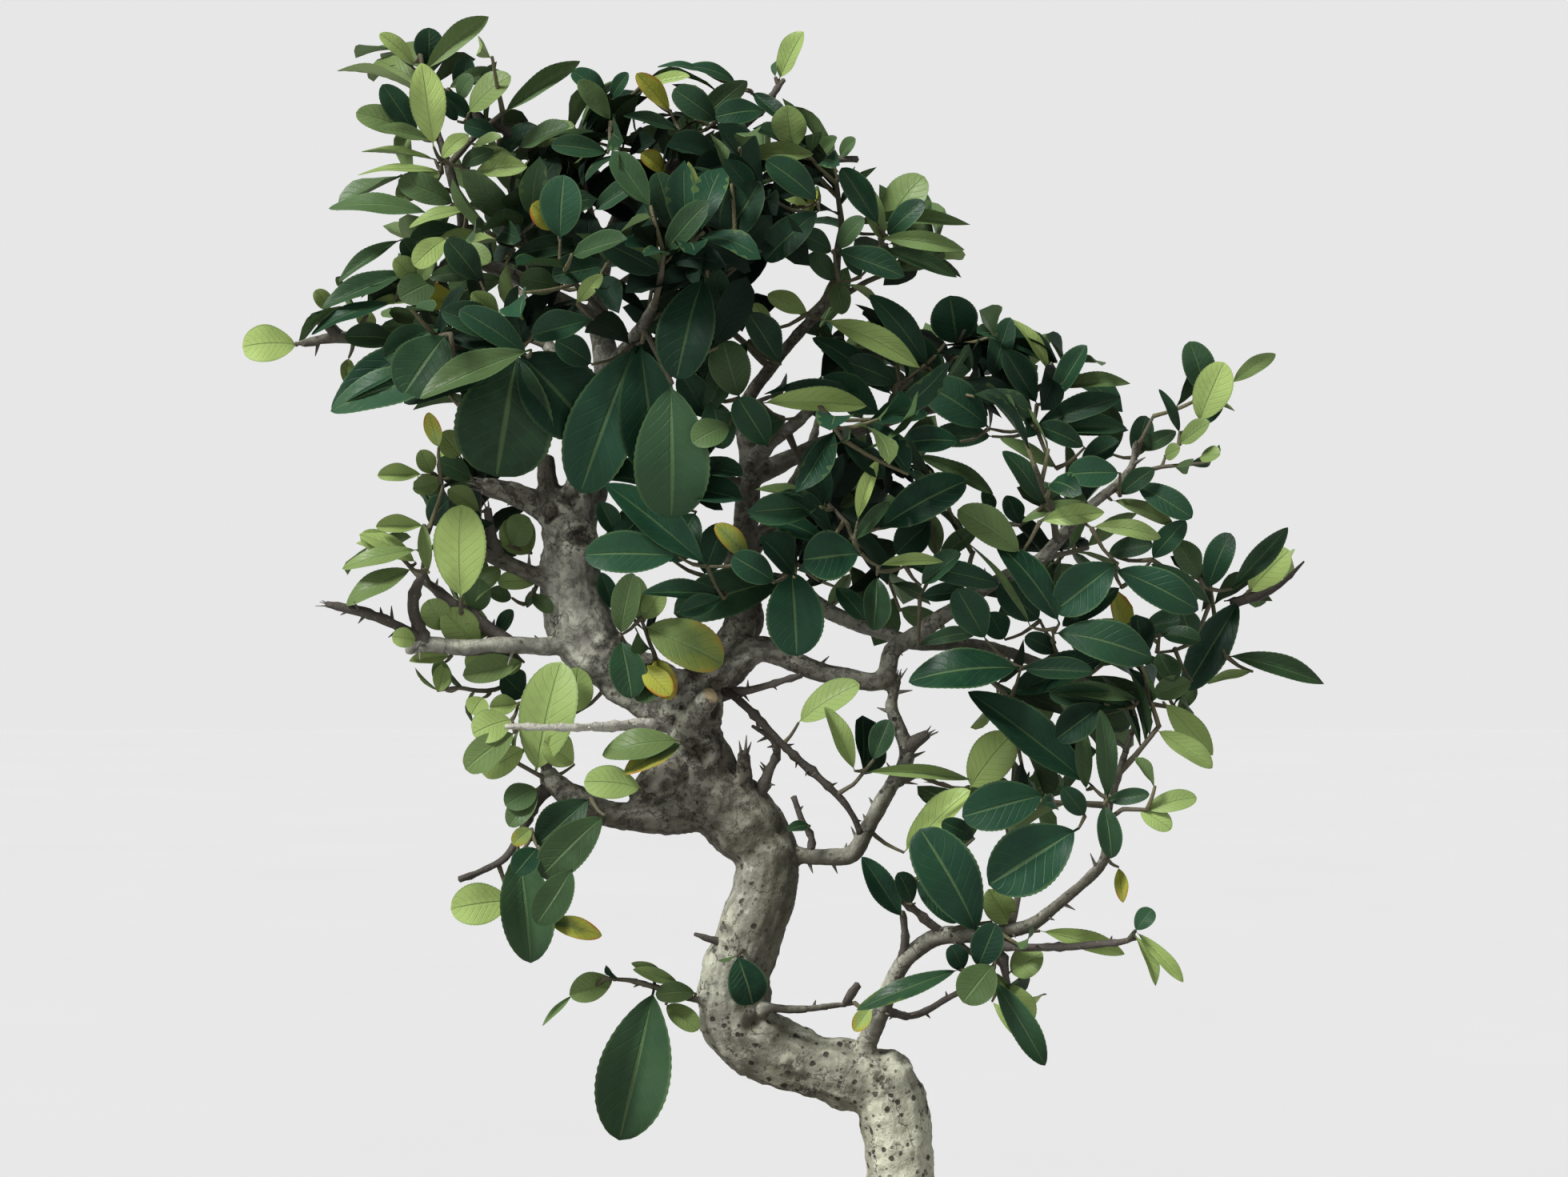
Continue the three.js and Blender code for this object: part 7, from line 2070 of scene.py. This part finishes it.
# %% Glaze
def make_glaze():
    f = Finish("glaze")
    broad, fine = f.noise(28, 4), f.noise(420, 4)
    z = f.parts(f.coords)[2]
    glaze = f.mix(broad, (0.055, 0.085, 0.10), (0.10, 0.145, 0.16))
    glaze = f.mix(f.step(f.noise(140, 3), 0.55, 0.75) * 0.5, glaze, (0.15, 0.19, 0.19))
    edge = f.step(z, 0.0585, 0.0618)
    glaze = f.mix(edge * f.step(fine, 0.25, 0.6) * 0.8, glaze, (0.15, 0.09, 0.05))
    foot = 1 - f.step(z, 0.0045, 0.0085)
    glaze = f.mix(foot, glaze, f.mix(fine, (0.16, 0.10, 0.065), (0.22, 0.14, 0.09)))
    pits = 1 - f.step(f.cells(700), 0.05, 0.16)
    glaze = f.mix(pits * 0.5, glaze, (0.03, 0.04, 0.045))
    relief_height = broad * 1.4 + fine * 0.12 - pits * 0.4
    return f.finish(glaze, 0.22 + broad * 0.12 + foot * 0.5, f.bump(relief_height, 0.0008, 0.5))


tray = new_piece("tray", tray_mesh, make_glaze())
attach(tray, "root")
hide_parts("pot")
print("glaze of", len(tray.data.materials[0].node_tree.nodes), "nodes")

# %% [markdown]
# Bonsai soil is a mix of fired clay grains, a few millimetres across, brown with some grey and ochre.
# The measured bed stays under them as it is. Geometry Nodes scatter the grains over its top from one
# seed, each a rough pebble of a few faces, turned and sized at random.


# %% Grains
GRAIN_KINDS, GRAIN_SEED = 5, 40


def make_soil_finish():
    f = Finish("soil")
    fine = f.noise(1200, 4)
    soil = f.ramp(f.attribute("tint") * 0.8 + f.noise(45) * 0.25,
                  (0.0, (0.045, 0.028, 0.018)), (0.45, (0.17, 0.095, 0.05)),
                  (0.75, (0.30, 0.17, 0.085)), (0.9, (0.30, 0.28, 0.25)), (1.0, (0.07, 0.06, 0.055)))
    soil = f.mix(f.step(fine, 0.45, 0.7) * 0.4, soil, (0.06, 0.035, 0.02))
    return f.finish(soil, 0.95, f.bump(fine, 0.0004, 0.7), Specular_IOR_Level=0.2)


def grain_mesh(number):
    """A rough pebble: the hull of an icosahedron's corners, each moved in or out."""
    random = np.random.default_rng(GRAIN_SEED + number)
    golden = (1 + 5 ** 0.5) / 2
    corners = []
    for s in (-1, 1):
        for t in (-golden, golden):
            corners += [(0, s, t), (s, t, 0), (t, 0, s)]
    corners = np.array([unit(corner) for corner in corners]) * random.uniform(0.75, 1.1, (12, 1))
    made = bpy.data.meshes.new(f"grain_{number}")
    build = bmesh.new()
    for corner in corners * [1, 0.85, 0.7]:
        build.verts.new(corner)
    bmesh.ops.convex_hull(build, input=build.verts)
    bmesh.ops.recalc_face_normals(build, faces=build.faces)
    build.to_mesh(made)
    build.free()
    return made


def grain_scatter():
    graph, given = scatter_tree("grains_on_soil", {
        "Bed": "Geometry", "Grains": "Collection", "Spacing": "Float", "Density": "Float",
        "Least size": "Float", "Most size": "Float", "Seed": "Int", "Finish": "Material"}, "Soil")
    seed = given["Seed"]
    points = graph.node("GeometryNodeDistributePointsOnFaces", {"distribute_method": "POISSON"}, {
        "Mesh": given["Bed"], "Distance Min": given["Spacing"], "Density Max": given["Density"],
        "Seed": seed})
    turn = graph.node("FunctionNodeRandomValue", {"data_type": "FLOAT_VECTOR"},
                      {1: (FULL_TURN, FULL_TURN, FULL_TURN), "Seed": seed})
    places = {"Rotation": turn, "Scale": rolled(graph, seed, given["Least size"], given["Most size"])}
    return set_copies(graph, points, seed, given["Grains"], places, given["Finish"])


grain_box = bpy.data.collections.new("grains")
for number in range(GRAIN_KINDS):
    mesh = grain_mesh(number)
    grain_box.objects.link(bpy.data.objects.new(mesh.name, mesh))

# %% [markdown]
# The top faces of the measured soil, copied, are the bed that the grains are scattered over. They
# keep clear of the trunk by themselves, since the solid has its hole there.

# %% Soil
SOIL_BELOW_RIM = 8
SOIL = make_soil_finish()
soil_node = frame["nodes"]["soil"]
soil_node.data.materials.clear()
soil_node.data.materials.append(SOIL)
bed_mesh = soil_node.data.copy()
build = bmesh.new()
build.from_mesh(bed_mesh)
soil_top = (POT_HEIGHT - SOIL_BELOW_RIM) * MM
off_top = [face for face in build.faces
           if face.normal.z < 0.5 or face.calc_center_median().z < soil_top - MM]
bmesh.ops.delete(build, geom=off_top, context="FACES")
build.to_mesh(bed_mesh)
build.free()
bed = new_piece("soil_top", bed_mesh)
modifier = bed.modifiers.new("grains", "NODES")
modifier.node_group = grain_scatter()
set_inputs(modifier, {"Grains": grain_box, "Spacing": 2.6 * MM, "Density": 160000.0,
                      "Least size": 1.3 * MM, "Most size": 2.5 * MM, "Seed": 7, "Finish": SOIL})
grains_mesh = applied(bed, "soil_grains")
for grain in list(grain_box.objects):
    bpy.data.objects.remove(grain)
bpy.data.collections.remove(grain_box)
soil_grains = new_piece("soil_grains", grains_mesh)
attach(soil_grains, "root")
print("grains", len(grains_mesh.polygons), "faces")

# %% [markdown]
# Squares of black plastic mesh keep the soil from running out through the drain holes. Their solids
# are already right, so they only get their finish.


# %% Drain mesh
def make_mesh_finish():
    f = Finish("drain_mesh")
    fine = f.noise(900, 3)
    black = f.mix(fine, (0.012, 0.013, 0.013), (0.03, 0.03, 0.028))
    return f.finish(black, 0.45 + fine * 0.2, f.bump(fine, 0.0002, 0.4))


MESH = make_mesh_finish()
for name in ("drain_mesh_left", "drain_mesh_right"):
    node = frame["nodes"][name]
    node.data.materials.clear()
    node.data.materials.append(MESH)
    print(name, len(node.data.polygons), "faces")

# %% [markdown]
# The picture is a plain studio one: a pale floor, white surroundings, and one large soft light high on
# the left in front, where the bright sides of the leaves and the trunk are in the photograph.

# %% Floor and light
def make_floor():
    f = Finish("floor")
    grey = f.noise(3, 2)
    return f.finish(f.mix(grey, (0.55, 0.55, 0.55), (0.575, 0.575, 0.575)), 1, Specular_IOR_Level=0)


FLOOR_REACH = 6
floor_mesh = bpy.data.meshes.new("floor")
corners = [(x * FLOOR_REACH, y * FLOOR_REACH, 0) for x, y in ((-1, -1), (1, -1), (1, 1), (-1, 1))]
floor_mesh.from_pydata(corners, [], [(0, 1, 2, 3)])
floor = new_piece("floor", floor_mesh, make_floor())
print("floor", 2 * FLOOR_REACH, "m wide")

# %% [markdown]
# The surroundings are bright near the floor, which keeps the background white, and dim overhead, so
# that the one sun gives the leaves their light and shade.

# %% Surroundings and sun
LOW_GLOW, HIGH_GLOW = 0.8, 0.25
world = bpy.data.worlds.new("studio")
world.use_nodes = True
sky = Graph(world.node_tree)
way = sky.node("ShaderNodeTexCoord", out="Generated")
height = sky.node("ShaderNodeSeparateXYZ", None, {0: way}, out=2)
glow = sky.node("ShaderNodeMapRange", {"interpolation_type": "SMOOTHSTEP"}, {
    "Value": height, "From Min": 0.2, "From Max": 0.5, "To Min": LOW_GLOW, "To Max": HIGH_GLOW})
light = sky.node("ShaderNodeBackground", None, {"Color": (1, 1, 1), "Strength": glow})
sky.node("ShaderNodeOutputWorld", None, {"Surface": light})
bpy.context.scene.world = world
bpy.context.scene.view_settings.view_transform = "Standard"


def soft_sun(name, spot, strength, width):
    """A sun at a spot, turned to the middle of the floor; its width in degrees softens shadows."""
    lamp = bpy.data.lights.new(name, "SUN")
    lamp.energy, lamp.angle = strength, math.radians(width)
    thing = bpy.data.objects.new(name, lamp)
    bpy.context.scene.collection.objects.link(thing)
    thing.location = spot
    thing.rotation_euler = (-Vector(spot)).to_track_quat("-Z", "Y").to_euler()


soft_sun("key", (-1.2, -0.85, 1.45), 5.0, 16)
print("sun from the left in front, surroundings of", len(sky.tree.nodes), "nodes")

# %% [markdown]
# Leaves and bark may reach past the solids only a little.
